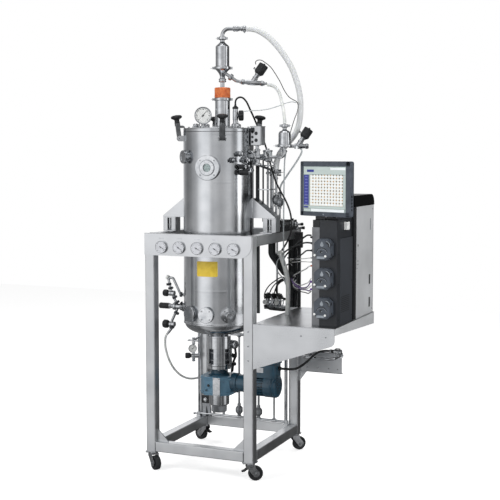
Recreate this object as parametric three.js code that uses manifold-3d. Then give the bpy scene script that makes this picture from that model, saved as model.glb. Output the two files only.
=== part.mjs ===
// Stirred bioreactor on a wheeled tube frame: a jacketed stainless vessel hung in the frame, its bottom
// drive, head fittings and gas lines, a gauge panel in front, and a side shelf that carries the pump tower,
// the controller cabinet and a swivelling monitor. Millimetres, +Z up, -Y is the front.
// Everything is placed from the vessel axis at floor level, and the whole group is moved at the end so that
// its origin is the middle of its footprint on the floor.
import * as THREE from "three";
import { mergeVertices } from "three/addons/utils/BufferGeometryUtils.js";
import Module from "manifold-3d";

const wasm = await Module();
wasm.setup();

// ---- driving dimensions ----
const seat = 0.3; // gap between two pieces that touch
const run = 0.6; // gap around a turning shaft or pin
const tubeSize = 50.8; // square tube of the frame

const sides = { large: 24, medium: 12, small: 8, tiny: 6, cord: 8 };

const caster = {
  height: 94, plate: 4, plateSize: 62, wheelRadius: 37.5, wheelWidth: 30, trail: 27.5,
  pin: 5, cheek: 3, yokeTop: 89.7, pedalWidth: 22, pedalPin: 2.5, pedalX: -6, pedalZ: 64.5,
};
const frame = { width: 585, depth: 658, height: 1103, gusset: 62, gussetThick: 6 };
const stand = { height: 73, width: 70, depth: 56, bolt: 8, slot: 22 };
const vessel = {
  radius: 177.8, wall: 13, frontGap: 16.4, belowBracket: 535, aboveBracket: 430, dish: 54,
  bracketHeight: 100, bracketWidth: 70, bracketPlate: 6,
  flangeRadius: 60, flangeHeight: 16, sealRadius: 32, sealHeight: 66,
};
const head = { thickness: 20, clampPivotDrop: 32, clampPivotOut: 19 };
const clamp = { width: 28, depth: 22, height: 76, foot: 12, lean: 8, pin: 4, ear: 4, nose: 28 };
const lantern = { height: 152, radius: 60, wall: 9, ring: 22, windows: 4, windowAngle: 52 };
const shaft = { radius: 10, top: 760, coupling: 21, impellerRadius: 56, hub: 20, blades: 6, blade: 26 };
const gearbox = { half: 82, chamfer: 38, height: 94, neckRadius: 55, neckHeight: 51, capRadius: 52,
  capHeight: 63 };
const motor = { radius: 59, finRadius: 56, length: 147, fins: 16, cowl: 67, flange: 102, boxHeight: 66,
  boxLength: 140 };
const panel = { thickness: 2, height: 108, corner: 65, gaugePitch: 97.5, gaugeRadius: 31, gaugeDepth: 14,
  drop: 65 };
const shelf = { top: 779, width: 413, thickness: 3, frontDrop: 88, apronRoot: 223, lipFront: 32,
  lipBack: 62 };
const tower = {
  left: 278.5, width: 125, front: 57, depth: 237, sideHeight: 365, plateHeight: 508, stripWidth: 40,
  stripHeight: 468, plate: 8,
};
const pump = { width: 84, height: 99, thickness: 44, split: 22, pitch: 139, low: 89, chamfer: 20,
  pocket: 29 };
const cabinet = { width: 200, depth: 324, height: 553, capHeight: 56, capCorner: 50, front: 306 };
const monitor = { width: 325, height: 260, depth: 60, turn: -20, screenWidth: 300, screenHeight: 222,
  reach: 45 };

// ---- places that follow from them ----
const frameBottom = caster.height;
const frameTop = caster.height + frame.height;
const frontY = -(vessel.radius + vessel.frontGap + tubeSize);
const backY = frontY + frame.depth;
const sideX = frame.width / 2;
const railMid = sideX - tubeSize / 2;
const bracketZ = frameTop + stand.height;
const jacketZ = bracketZ - vessel.belowBracket;
const vesselTop = bracketZ + vessel.aboveBracket;
const dishZ = jacketZ - vessel.dish;
const flangeZ = dishZ - vessel.flangeHeight + 2;
const headZ = vesselTop + head.thickness;
const clampZ = vesselTop - head.clampPivotDrop;
const clampR = vessel.radius + head.clampPivotOut;
const lanternZ = flangeZ - seat - lantern.height;
const neckZ = lanternZ - seat - gearbox.neckHeight;
const gearZ = neckZ - gearbox.height;
const towerX = sideX + tower.left;
const towerY = frontY + tower.front;
const cabinetX = sideX + shelf.width - cabinet.width - 6;
const cabinetY = frontY + cabinet.front;
const deckZ = shelf.top + seat;

const steel = { color: 0xc9ccce, roughness: 0.3, metalness: 1 };
const polished = { color: 0xd9dbdd, roughness: 0.12, metalness: 1 };
const chrome = { color: 0xe2e4e6, roughness: 0.06, metalness: 1 };
const darkPlastic = { color: 0x2c3138, roughness: 0.5, metalness: 0 };
const slate = { color: 0x464d57, roughness: 0.45, metalness: 0 };
const rubber = { color: 0x17181a, roughness: 0.7, metalness: 0 };
const blueEnamel = { color: 0x3d6f97, roughness: 0.4, metalness: 0.1 };
const silicone = { color: 0xd8d9d4, roughness: 0.35, metalness: 0 };
const orange = { color: 0xd06a35, roughness: 0.55, metalness: 0 };
const lightPaint = { color: 0xb9babb, roughness: 0.45, metalness: 0.3 };

const group = new THREE.Group();

// ---- making and joining solids ----
const at = (x, y, z) => new THREE.Vector3(x, y, z);
const radians = (degrees) => (degrees * Math.PI) / 180;

function solidOf(geometry) {
  const bare = geometry.clone();
  for (const extra of ["normal", "uv"]) bare.deleteAttribute(extra);
  const merged = mergeVertices(bare, 1e-3);
  const index = merged.index.array;
  const triangles = [];
  for (let i = 0; i < index.length; i += 3) {
    const [a, b, c] = [index[i], index[i + 1], index[i + 2]];
    if (a !== b && b !== c && c !== a) triangles.push(a, b, c);
  }
  const build = (triVerts) =>
    new wasm.Manifold(new wasm.Mesh({
      numProp: 3, vertProperties: merged.attributes.position.array, triVerts: new Uint32Array(triVerts),
    }));
  const made = build(triangles);
  if (made.volume() > 0) return made;
  for (let i = 0; i < triangles.length; i += 3) {
    [triangles[i + 1], triangles[i + 2]] = [triangles[i + 2], triangles[i + 1]];
  }
  return build(triangles);
}

const join = (...solids) => solids.flat().reduce((sum, next) => sum.add(next));
const cut = (from, ...tools) => tools.flat().reduce((left, tool) => left.subtract(tool), from);

function geometryOf(solid) {
  const mesh = solid.getMesh();
  const made = new THREE.BufferGeometry();
  made.setAttribute("position", new THREE.BufferAttribute(new Float32Array(mesh.vertProperties), 3));
  made.setIndex(new THREE.BufferAttribute(new Uint32Array(mesh.triVerts), 1));
  made.computeVertexNormals();
  return made;
}

function piece(name, solid, look, parent = group) {
  const mesh = new THREE.Mesh(geometryOf(solid), new THREE.MeshStandardMaterial(look));
  mesh.name = name;
  parent.add(mesh);
  return mesh;
}

function place(x, y, z, turn = 0, parent = group) {
  const held = new THREE.Group();
  held.position.set(x, y, z);
  held.rotation.z = radians(turn);
  parent.add(held);
  return held;
}

function box(x0, x1, y0, y1, z0, z1) {
  const made = new THREE.BoxGeometry(x1 - x0, y1 - y0, z1 - z0);
  made.translate((x0 + x1) / 2, (y0 + y1) / 2, (z0 + z1) / 2);
  return solidOf(made);
}

function along(geometry, from, to) {
  const way = to.clone().sub(from).normalize();
  const turn = new THREE.Quaternion().setFromUnitVectors(at(0, 1, 0), way);
  geometry.applyQuaternion(turn);
  geometry.translate((from.x + to.x) / 2, (from.y + to.y) / 2, (from.z + to.z) / 2);
  return solidOf(geometry);
}

// A straight round bar or cone from one point to another.
function rod(from, to, radius, count = sides.small, endRadius = radius) {
  return along(new THREE.CylinderGeometry(endRadius, radius, from.distanceTo(to), count), from, to);
}

// A turned solid about +Z through (x, y): the outline is [radius, height] pairs.
function turned(outline, count, x = 0, y = 0) {
  const made = new THREE.LatheGeometry(outline.map(([r, z]) => new THREE.Vector2(r, z)), count);
  made.rotateX(Math.PI / 2);
  made.translate(x, y, 0);
  return solidOf(made);
}

// A closed outline in the XZ plane, extruded from y0 to y1.
function slabXZ(outline, y0, y1, segments = 6) {
  const shape = outline instanceof THREE.Shape ? outline : outlined(outline);
  const made = new THREE.ExtrudeGeometry(shape, { depth: y1 - y0, bevelEnabled: false,
    curveSegments: segments });
  made.rotateX(Math.PI / 2);
  made.translate(0, y1, 0);
  return solidOf(made);
}

// A closed outline in the YZ plane, extruded from x0 to x1.
function slabYZ(outline, x0, x1, segments = 6) {
  const shape = outline instanceof THREE.Shape ? outline : outlined(outline);
  const made = new THREE.ExtrudeGeometry(shape, { depth: x1 - x0, bevelEnabled: false,
    curveSegments: segments });
  made.rotateX(Math.PI / 2);
  made.rotateZ(Math.PI / 2);
  made.translate(x0, 0, 0);
  return solidOf(made);
}

// A closed outline in the XY plane, extruded from z0 to z1.
function slabXY(outline, z0, z1) {
  const made = new THREE.ExtrudeGeometry(outlined(outline), { depth: z1 - z0, bevelEnabled: false });
  made.translate(0, 0, z0);
  return solidOf(made);
}

const outlined = (points) => new THREE.Shape(points.map(([a, b]) => new THREE.Vector2(a, b)));

// A round tube, hose or cable through a list of points.
function hose(points, radius, count = sides.tiny, stepLength = radius * 5) {
  const path = new THREE.CatmullRomCurve3(points, false, "centripetal");
  const section = new THREE.Shape();
  section.absarc(0, 0, radius, 0, Math.PI * 2);
  const steps = Math.min(80, Math.max(2, Math.round(path.getLength() / stepLength)));
  return solidOf(new THREE.ExtrudeGeometry(section, {
    steps, bevelEnabled: false, extrudePath: path, curveSegments: count / 2,
  }));
}

// The route of a rigid pipe: straight runs, with a bend at every corner that starts `reach` before it.
class PipeRoute extends THREE.Curve {
  constructor(corners, reach, bendSteps = 3) {
    super();
    this.stations = [];
    corners.forEach((corner, i) => {
      const [before, after] = [corners[i - 1], corners[i + 1]];
      const inWay = corner.clone().sub(before ?? corner).normalize();
      const outWay = (after ?? corner).clone().sub(corner).normalize();
      if (!before || !after) {
        this.stations.push({ point: corner, way: before ? inWay : outWay });
        return;
      }
      const bend = new THREE.QuadraticBezierCurve3(
        corner.clone().addScaledVector(inWay, -reach), corner, corner.clone().addScaledVector(outWay,
          reach));
      for (let k = 0; k <= bendSteps; k++) {
        this.stations.push({ point: bend.getPoint(k / bendSteps), way: bend.getTangent(k / bendSteps) });
      }
    });
  }

  station(u) {
    return this.stations[Math.round(u * (this.stations.length - 1))];
  }

  getPointAt(u) {
    return this.station(u).point.clone();
  }

  getTangentAt(u) {
    return this.station(u).way.clone();
  }
}

function bentPipe(corners, radius, reach, count = sides.tiny, bendSteps = 3) {
  const route = new PipeRoute(corners, reach, bendSteps);
  const section = new THREE.Shape();
  section.absarc(0, 0, radius, 0, Math.PI * 2);
  return solidOf(new THREE.ExtrudeGeometry(section, {
    steps: route.stations.length - 1, bevelEnabled: false, extrudePath: route, curveSegments: count / 2,
  }));
}

// The wing nut that closes a clamp ring, standing out of the ring's rim.
function wingNut(centre, way, radius) {
  const out = way.clone().normalize();
  const nut = centre.clone().addScaledVector(out, radius + 12);
  return join(rod(centre.clone().addScaledVector(out, radius - 5), nut, 3, sides.tiny),
    rod(nut.clone().add(at(0, 0, -9)), nut.clone().add(at(0, 0, 9)), 4, sides.tiny));
}

const polar = (radius, degrees, z) => at(radius * Math.sin(radians(degrees)),
  -radius * Math.cos(radians(degrees)), z);
const lateral = at(0.918, 0.396, 0); // the way in which the head's pipework spreads out

// ---- frame and casters ----
const casterPlaces = [
  { name: "front_right", x: 1, y: frontY + tubeSize / 2, turn: 35, pedal: true },
  { name: "front_left", x: -1, y: frontY + tubeSize / 2, turn: -35, pedal: false },
  { name: "rear_right", x: 1, y: backY - tubeSize / 2, turn: 50, pedal: false },
  { name: "rear_left", x: -1, y: backY - tubeSize / 2, turn: 165, pedal: true },
];

function skidFrame() {
  const tubes = [];
  for (const side of [-1, 1]) {
    const inner = side * (sideX - tubeSize), outer = side * sideX;
    const [x0, x1] = [Math.min(inner, outer), Math.max(inner, outer)];
    tubes.push(box(x0, x1, frontY, frontY + tubeSize, frameBottom, frameTop));
    tubes.push(box(x0, x1, backY - tubeSize, backY, frameBottom, frameTop));
    tubes.push(box(x0, x1, frontY, backY, frameBottom, frameBottom + tubeSize));
    tubes.push(box(x0, x1, frontY, backY, frameTop - tubeSize, frameTop));
  }
  for (const y of [frontY, backY - tubeSize]) {
    tubes.push(box(-sideX, sideX, y, y + tubeSize, frameBottom, frameBottom + tubeSize));
    tubes.push(box(-sideX, sideX, y, y + tubeSize, frameTop - tubeSize, frameTop));
  }
  return join(tubes, cornerGussets(), casterMounts(), vesselStands());
}

function cornerGussets() {
  const made = [];
  const low = frameBottom + tubeSize - 1;
  for (const side of [-1, 1]) {
    const x = side * (sideX - tubeSize + 1);
    const corner = [[x, low], [x - side * frame.gusset, low], [x, low + frame.gusset]];
    const y = frontY + tubeSize / 2;
    made.push(slabXZ(side > 0 ? corner.reverse() : corner, y - frame.gussetThick / 2,
      y + frame.gussetThick / 2));
  }
  return made;
}

function casterMounts() {
  const half = caster.plateSize / 2;
  return casterPlaces.map(({ x, y }) => {
    const cx = x * railMid;
    const plate = box(cx - half, cx + half, y - half, y + half, frameBottom - caster.plate,
      frameBottom + 0.5);
    const { pin, yokeTop } = caster;
    const kingpin = turned([[0, yokeTop - 20], [8, yokeTop - 20], [8, yokeTop - 13.5],
      [pin, yokeTop - 13.5],
      [pin, frameBottom - caster.plate + 1], [0, frameBottom - caster.plate + 1]], sides.small, cx, y);
    return join(plate, kingpin);
  });
}

// Folded stands on the side rails that the vessel brackets are bolted to.
function vesselStands() {
  return [-1, 1].map((side) => {
    const x = side * railMid;
    const [hw, hd] = [stand.width / 2, stand.depth / 2];
    const block = box(x - hw, x + hw, -hd, hd, frameTop - 1, bracketZ - seat);
    const slot = box(x - stand.slot / 2, x + stand.slot / 2, -hd - 1, -hd + 14, frameTop, bracketZ);
    const bolt = rod(at(x, -hd + 8, frameTop - 1), at(x, -hd + 8, bracketZ - 1), 5, 8);
    const stud = rod(at(x, 0, bracketZ - 4), at(x, 0, bracketZ + vessel.bracketPlate + 5), stand.bolt, 8);
    return join(cut(block, slot), bolt, stud);
  });
}

piece("skid_frame", skidFrame(), steel);

const axleZ = caster.wheelRadius * Math.cos(Math.PI / sides.medium);

function casterFork(pedal) {
  const { trail, pin, cheek, yokeTop, wheelWidth, pedalPin, pedalX, pedalZ } = caster;
  const inner = wheelWidth / 2 + 2;
  const yokeZ = yokeTop - 7;
  const bearing = turned([[0, yokeZ - 1], [24, yokeZ - 1], [22, yokeTop], [0, yokeTop]], sides.small);
  const outline = [[-20, yokeZ], [-18, yokeZ - 18], [trail - 13, axleZ], [trail, axleZ - 12], [trail + 13,
    axleZ],
    [22, yokeZ]];
  const cheeks = [-inner - cheek, inner].map((y) => slabXZ(outline, y, y + cheek));
  const yoke = box(-20, 22, -inner - cheek, inner + cheek, yokeZ - 3, yokeZ);
  const axle = rod(at(trail, -inner - 1, axleZ), at(trail, inner + 1, axleZ), pin, sides.small);
  const bore = rod(at(0, 0, yokeZ - 6), at(0, 0, yokeTop + 1), pin + run, sides.small);
  const pivot = pedal ? [rod(at(pedalX, -inner - 1, pedalZ), at(pedalX, inner + 1, pedalZ), pedalPin,
    6)] : [];
  return cut(join(cheeks, yoke, bearing, axle, pivot), bore);
}

function casterWheel() {
  const half = caster.wheelWidth / 2;
  const bore = caster.pin + run;
  const flank = [[bore, half + 1.5], [14, half - 1], [29, half], [caster.wheelRadius, half - 5]];
  const outline = [...flank.map(([r, y]) => [r, -y]), ...flank.reverse(), [bore, -half - 1.5]];
  const made = new THREE.LatheGeometry(outline.map(([r, z]) => new THREE.Vector2(r, z)), sides.medium);
  made.rotateY(Math.PI / sides.medium);
  return solidOf(made);
}

function brakePedal() {
  const half = caster.pedalWidth / 2;
  const { pedalX: x, pedalZ: z, pedalPin } = caster;
  const outline = [[x, z - 4], [x, z + 4], [x - 11, z + 1], [x - 32, z - 12], [x - 42, z - 14],
    [x - 42, z - 18],
    [x - 31, z - 17], [x - 8, z - 4]];
  const barrel = rod(at(x, -half, z), at(x, half, z), 4.5, sides.small);
  return cut(join(slabXZ(outline, -half, half), barrel), rod(at(x, -half - 1, z), at(x, half + 1, z),
    pedalPin + run, 6));
}

for (const { name, x, y, turn, pedal } of casterPlaces) {
  const held = place(x * railMid, y, 0, turn);
  piece(`caster_fork_${name}`, casterFork(pedal), chrome, held);
  const wheel = piece(`caster_wheel_${name}`, casterWheel(), rubber, held);
  wheel.position.set(caster.trail, 0, axleZ);
  if (pedal) piece(`brake_pedal_${name}`, brakePedal(), darkPlastic, held);
}

// ---- gauge panel ----
function gaugePanel() {
  const { thickness, height, corner } = panel;
  const top = frameTop + 1, bottom = top - height;
  const [left, right] = [-sideX - 1, sideX - 6];
  const face = new THREE.Shape();
  face.moveTo(left, top);
  face.lineTo(left, bottom);
  face.lineTo(right - corner, bottom);
  face.absarc(right - corner, bottom + corner, corner, -Math.PI / 2, 0);
  face.lineTo(right, top);
  const front = frontY - seat - thickness;
  const sheet = slabXZ(face, front, front + thickness, 8);
  const hem = box(left, right, front, frontY + 14, frameTop + seat, frameTop + seat + thickness);
  return join(sheet, hem, [-2, -1, 0, 1, 2].map((step) => panelGauge(step * panel.gaugePitch - 2, front)));
}

function panelGauge(x, front) {
  const { gaugeRadius: r, gaugeDepth: d } = panel;
  const can = new THREE.LatheGeometry([
    [0, -panel.thickness], [r, -panel.thickness], [r, d - 2], [r - 3, d], [r - 5, d - 3], [0, d - 3],
  ].map(([a, b]) => new THREE.Vector2(a, b)), sides.medium);
  can.rotateX(Math.PI);
  can.translate(x, front, frameTop - panel.drop);
  return solidOf(can);
}

piece("gauge_panel", gaugePanel(), steel);

// ---- shelf ----
function instrumentShelf() {
  const { top, width, thickness, frontDrop, apronRoot, lipFront, lipBack } = shelf;
  const [x0, x1] = [sideX + seat, sideX + width];
  const [y0, y1] = [frontY, backY - 27];
  const deck = box(x0, x1, y0, y1, top - thickness, top);
  const corner = 30;
  const apron = new THREE.Shape();
  apron.moveTo(x0, top);
  apron.lineTo(x0, top - apronRoot);
  apron.lineTo(x1 - corner, top - frontDrop);
  apron.absarc(x1 - corner, top - frontDrop + corner, corner, -Math.PI / 2 + 0.33, 0);
  apron.lineTo(x1, top);
  const front = slabXZ(apron, y0, y0 + thickness, 5);
  const side = slabYZ([[y0, top], [y0, top - lipFront], [y1, top - lipBack], [y1, top]], x1 - thickness,
    x1);
  const root = box(x0, x0 + thickness, y0, y0 + 34, top - apronRoot, top);
  const back = box(x0, x1, y1 - thickness, y1, top - lipBack, top);
  return join(deck, front, side, root, back);
}

piece("instrument_shelf", instrumentShelf(), steel);

// ---- service panel behind the frame's right post, with its hose rail ----
const servicePanel = { length: 240, height: 110, top: 545, railRadius: 8, railReach: 120 };

function utilityPanel() {
  const { length, height, top, railRadius, railReach } = servicePanel;
  const [x0, x1] = [sideX + seat, sideX + length];
  const y = backY - 28;
  const sheet = box(x0, x1, y, y + 3, top - height, top);
  const returns = [top - 3, top - height].map((z) => box(x0, x1, y, y + 22, z, z + 3));
  const foot = box(x0, x0 + 4, y - 18, y + 22, top - height, top);
  const gusset = slabXZ([[x0, top - height - 58], [x0 + 44, top - height + 2], [x0, top - height + 2]], y,
    y + 4);
  const railZ = top - railRadius - 2;
  const rail = bentPipe([at(x0 + 60, y + 1, railZ), at(x0 + 60, y - railReach, railZ),
    at(x1 - 6, y - railReach, railZ),
    at(x1 - 6, y + 1, railZ)], railRadius, 30);
  const valve = join(
    rod(at(x1 - 6, y - 52, railZ), at(x1 - 6, y - 52, railZ + 34), 9, sides.tiny),
    rod(at(x1 - 26, y - 52, railZ + 28), at(x1 + 16, y - 52, railZ + 28), 13, sides.small),
    box(x1 - 50, x1 - 24, y - 62, y - 42, railZ + 22, railZ + 36),
  );
  return join(sheet, returns, foot, gusset, rail, valve);
}

piece("utility_panel", utilityPanel(), steel);

// ---- controller tower with its pump bodies ----
const pumpX = towerX + 67;
const pumpY = towerY;
const pumpZ = [0, 1, 2].map((i) => deckZ + pump.low + i * pump.pitch);

const octagon = (inset = 0) => {
  const [w, h, c] = [pump.width / 2 - inset, pump.height / 2 - inset, pump.chamfer];
  return [[w, h - c], [w - c, h], [c - w, h], [-w, h - c], [-w, c - h], [c - w, -h], [w - c, -h],
    [w, c - h]];
};

function pumpBody() {
  const block = slabXZ(octagon(), -pump.split, 2);
  const pocket = rod(at(0, -pump.split - 1, 0), at(0, -3, 0), pump.pocket, sides.medium);
  const lead = box(-9, 9, -pump.split - 1, -8, -pump.height, 0);
  const pin = rod(at(0, -pump.split + 2, 0), at(0, 0, 0), 5, sides.small);
  return join(cut(block, pocket, lead), pin);
}

function controllerTower() {
  const { width, depth, sideHeight, plateHeight, stripWidth, stripHeight, plate } = tower;
  const [x0, x1, y0] = [towerX, towerX + width, towerY];
  const body = box(x0 + 4, x1 - 3, y0 + plate - 1, y0 + depth, deckZ, deckZ + sideHeight);
  const cheek = box(x1 - 4, x1, y0 + plate, y0 + depth, deckZ, deckZ + sideHeight - 4);
  const upper = box(x0 + 24, x1 - 8, y0 + plate - 1, y0 + 128, deckZ + sideHeight - 1,
    deckZ + plateHeight - 6);
  const front = box(x0 + stripWidth - 1, x1 - 2, y0, y0 + plate, deckZ, deckZ + plateHeight);
  const strip = box(x0, x0 + stripWidth, y0, y0 + 60, deckZ, deckZ + stripHeight);
  const pumps = pumpZ.map((z) => pumpBody().translate([pumpX, pumpY, z]));
  const sockets = [170, 206, 300, 320, 355, 390, 418].map((z) =>
    rod(at(x0 - 12, y0 + 26, deckZ + z), at(x0 + 2, y0 + 26, deckZ + z), 6, sides.tiny));
  const port = box(x1 - 9, x1 + 4, y0 + 34, y0 + 62, deckZ + sideHeight + 12, deckZ + sideHeight + 48);
  return join(body, cheek, upper, front, strip, pumps, sockets, port);
}

piece("controller_tower", controllerTower(), darkPlastic);

function pumpCover() {
  const back = -pump.split - seat, front = -pump.thickness;
  const shell = join(slabXZ(octagon(), front + 5, back), slabXZ(octagon(5), front, front + 6));
  const hollow = rod(at(0, back - 8, 0), at(0, back + 1, 0), pump.pocket - 3, sides.medium);
  const latch = box(pump.width / 2 - 16, pump.width / 2 - 5, front - 2, front + 6, 14, 34);
  const drop = rod(at(0, front - 1.2, 16), at(0, front + 1, 16), 9, sides.small);
  return cut(join(shell, latch, drop), hollow);
}

// Three rollers on a hub: one outline of round lobes, with the bore for the drive pin.
function pumpRotor() {
  const [y0, y1] = [-pump.split + 3, -4];
  const lobes = new THREE.Shape();
  for (const angle of [90, 210, 330]) {
    const [x, z] = [16 * Math.cos(radians(angle)), 16 * Math.sin(radians(angle))];
    lobes.absarc(x, z, 7.5, radians(angle - 105), radians(angle + 105));
  }
  const bore = rod(at(0, y0 - 1, 0), at(0, y1 + 1, 0), 5 + run, sides.small);
  return cut(slabXZ(lobes, y0, y1, 4), bore);
}

pumpZ.forEach((z, i) => {
  const held = place(pumpX, pumpY, z);
  piece(`pump_cover_${i + 1}`, pumpCover(), slate, held);
  piece(`pump_rotor_${i + 1}`, pumpRotor(), lightPaint, held);
});

// ---- controller cabinet and its cap ----
function controllerCabinet() {
  const { width, depth, height } = cabinet;
  const [x0, x1, y0, y1] = [cabinetX, cabinetX + width, cabinetY, cabinetY + depth];
  const shell = box(x0, x1, y0, y1, deckZ, deckZ + height);
  const slots = [40, 128].map((z) => box(x1 - 6, x1 + 1, y1 - 66, y1 - 50, deckZ + z, deckZ + z + 58));
  const seam = box(x1 - 2, x1 + 1, y1 - 14, y1 - 12, deckZ + 6, deckZ + height + 1);
  const vents = [0, 1, 2, 3, 4, 5].map((i) =>
    box(x0 + 30, x1 - 30, y1 - 5, y1 + 1, deckZ + 340 + i * 24, deckZ + 350 + i * 24));
  return cut(shell, slots, seam, vents);
}

function cabinetCap() {
  const { width, depth, height, capHeight, capCorner } = cabinet;
  const [y0, y1] = [cabinetY - 3, cabinetY + depth + 3];
  const [z0, z1] = [deckZ + height + seat, deckZ + height + capHeight];
  const profile = new THREE.Shape();
  profile.moveTo(y0, z0);
  profile.lineTo(y1, z0);
  profile.lineTo(y1, z1 - capCorner);
  profile.absarc(y1 - capCorner, z1 - capCorner, capCorner, 0, Math.PI / 2);
  profile.absarc(y0 + 24, z1 - 24, 24, Math.PI / 2, Math.PI);
  return slabYZ(profile, cabinetX - 2, cabinetX + width + 2, 6);
}

piece("controller_cabinet", controllerCabinet(), lightPaint);
piece("cabinet_cap", cabinetCap(), darkPlastic);

// ---- monitor on its swivel and tilt joint ----
const swivel = { x: towerX + 96, y: towerY + 76, foot: deckZ + tower.plateHeight - 6, height: 119,
  radius: 15 };
const tiltZ = swivel.foot + swivel.height + 26;

function monitorArm() {
  const { x, y, foot, height, radius } = swivel;
  const base = slabXY([[x - 46, y - 40], [x + 18, y - 40], [x + 18, y + 34], [x - 46, y + 34]],
    foot + seat, foot + 12);
  const column = rod(at(x, y, foot + 6), at(x, y, foot + height), radius, sides.medium);
  const brace = slabYZ([[y - 34, foot + 11], [y, foot + 11], [y, foot + 62]], x - 8, x + 8);
  return join(base, column, brace);
}

piece("monitor_arm", monitorArm(), darkPlastic);

const yokeHeld = place(swivel.x, swivel.y, tiltZ, monitor.turn);
const yoke = { width: 36, barrel: 9, pin: 6, pinHalf: 30, reach: 35 };

function monitorYoke() {
  const { width, barrel, pin, pinHalf, reach } = yoke;
  const low = swivel.foot + swivel.height + seat - tiltZ;
  const foot = rod(at(0, 0, low), at(0, 0, low + 12), swivel.radius + 5, sides.medium);
  const neck = box(-width / 2, width / 2, -reach, 6, low + 3, low + 17);
  const riser = box(-width / 2, width / 2, -reach - barrel, -reach + barrel, low + 3, 0);
  const roll = rod(at(-width / 2, -reach, 0), at(width / 2, -reach, 0), barrel, sides.small);
  const axle = rod(at(-pinHalf, -reach, 0), at(pinHalf, -reach, 0), pin, sides.small);
  return join(foot, neck, riser, roll, axle);
}

piece("monitor_yoke", monitorYoke(), darkPlastic, yokeHeld);

const roundedRect = (w, h, r) => {
  const shape = new THREE.Shape();
  const corners = [[w / 2, -h / 2, -90], [w / 2, h / 2, 0], [-w / 2, h / 2, 90], [-w / 2, -h / 2, 180]];
  corners.forEach(([x, z, start]) => {
    shape.absarc(x - Math.sign(x) * r, z - Math.sign(z) * r, r, radians(start), radians(start + 90));
  });
  return shape;
};

function monitorShell() {
  const { width, height, depth, screenWidth, screenHeight, reach } = monitor;
  const back = -yoke.reach - reach + 30, front = back - depth;
  const bezel = slabXZ(roundedRect(width, height, 10), front, front + 34, 2);
  const rear = slabXZ(roundedRect(width - 60, height - 60, 12), front + 33, back, 2);
  const screen = box(-screenWidth / 2, screenWidth / 2, front - 1, front + 2, 6 - screenHeight / 2,
    6 + screenHeight / 2);
  const lugs = [-1, 1].map((side) => {
    const [x0, x1] = side > 0 ? [yoke.width / 2 + seat, 28] : [-28, -yoke.width / 2 - seat];
    const lug = join(
      box(x0, x1, back - 2, -yoke.reach, -10, 10),
      rod(at(x0, -yoke.reach, 0), at(x1, -yoke.reach, 0), 11, sides.small),
    );
    return cut(lug, rod(at(x0 - 1, -yoke.reach, 0), at(x1 + 1, -yoke.reach, 0), yoke.pin + run,
      sides.small));
  });
  return join(cut(bezel, screen), rear, lugs);
}

piece("monitor", monitorShell(), slate, yokeHeld);

// ---- vessel ----
const clampAngles = { left: -60, front: 30, right: 120, rear: 210 };
const lowerPorts = [{ angle: -25 }, { angle: 5 }, { angle: 35, probe: true }];

function vesselShell() {
  const { radius, wall, sealRadius, sealHeight, flangeRadius } = vessel;
  const inner = radius - wall;
  const bore = shaft.radius + run;
  const dish = (span, rim, low) => [0.42, 0.8].map((f) =>
    [flangeRadius + f * (span - flangeRadius), low + (rim - low) * (1 - Math.sqrt(1 - f * f))]);
  const outside = [
    [bore, flangeZ - sealHeight], [sealRadius, flangeZ - sealHeight], [sealRadius, flangeZ],
      [flangeRadius, flangeZ],
    ...dish(radius - 5, jacketZ, dishZ), [radius - 5, jacketZ], [radius + 2, jacketZ],
      [radius, jacketZ + 10],
    [radius, vesselTop],
  ];
  const inside = [
    [inner, vesselTop], [inner, jacketZ + 10],
    ...dish(inner, jacketZ + 10, dishZ + wall).reverse().filter(([r]) => r < inner - 2),
      [bore, dishZ + wall],
  ];
  const shell = turned([...outside, ...inside, outside[0]], sides.large);
  return join(shell, brackets(), clampEars(), sightGlass(), lowerPorts.map(lowerPort), sideNozzles());
}

// Box gussets welded to the wall, bolted down on the frame's stands.
function brackets() {
  const { radius, bracketHeight, bracketWidth, bracketPlate } = vessel;
  return [-1, 1].map((side) => {
    const [root, tip] = [side * (radius - 4), side * (sideX + 8)];
    const half = bracketWidth / 2;
    const foot = box(Math.min(root, tip), Math.max(root, tip), -half, half, bracketZ,
      bracketZ + bracketPlate);
    const face = [[root, bracketZ + 1], [tip, bracketZ + 1], [tip, bracketZ + bracketPlate],
      [side * radius, bracketZ + bracketHeight], [root, bracketZ + bracketHeight]];
    const hollow = [[root, bracketZ + bracketPlate], [tip - side * 12, bracketZ + bracketPlate],
      [side * radius, bracketZ + bracketHeight - 10], [root, bracketZ + bracketHeight - 10]];
    const wind = (points) => (side > 0 ? points : [...points].reverse());
    const wedge = slabXZ(wind(face), -half, half);
    const inside = slabXZ(wind(hollow), -half + bracketPlate, half - bracketPlate);
    const hole = rod(at(side * railMid, 0, bracketZ - 1), at(side * railMid, 0,
      bracketZ + bracketPlate + 1),
      stand.bolt + 2, 10);
    return cut(join(foot, cut(wedge, inside)), hole);
  });
}

function clampEars() {
  const [y0, y1] = [clamp.width / 2 + 0.5, clamp.width / 2 + 0.5 + clamp.ear];
  const [near, far] = [vessel.radius - 4, clampR + 12];
  return Object.values(clampAngles).map((angle) => {
    const ears = [box(near, far, y0, y1, -14, 14), box(near, far, -y1, -y0, -14, 14)];
    const pin = rod(at(clampR, -y0 - 2, 0), at(clampR, y0 + 2, 0), clamp.pin, sides.tiny);
    return join(ears, pin).rotate([0, 0, angle - 90]).translate([0, 0, clampZ]);
  });
}

// A turned flange that stands out of the wall: the outline is [radius,
// distance from the vessel axis] pairs.
function radialFlange(angle, z, outline, count = sides.medium) {
  const made = new THREE.LatheGeometry(outline.map(([r, out]) => new THREE.Vector2(r, out)), count);
  made.rotateX(Math.PI);
  made.rotateZ(radians(angle));
  made.translate(0, 0, z);
  return solidOf(made);
}

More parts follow.
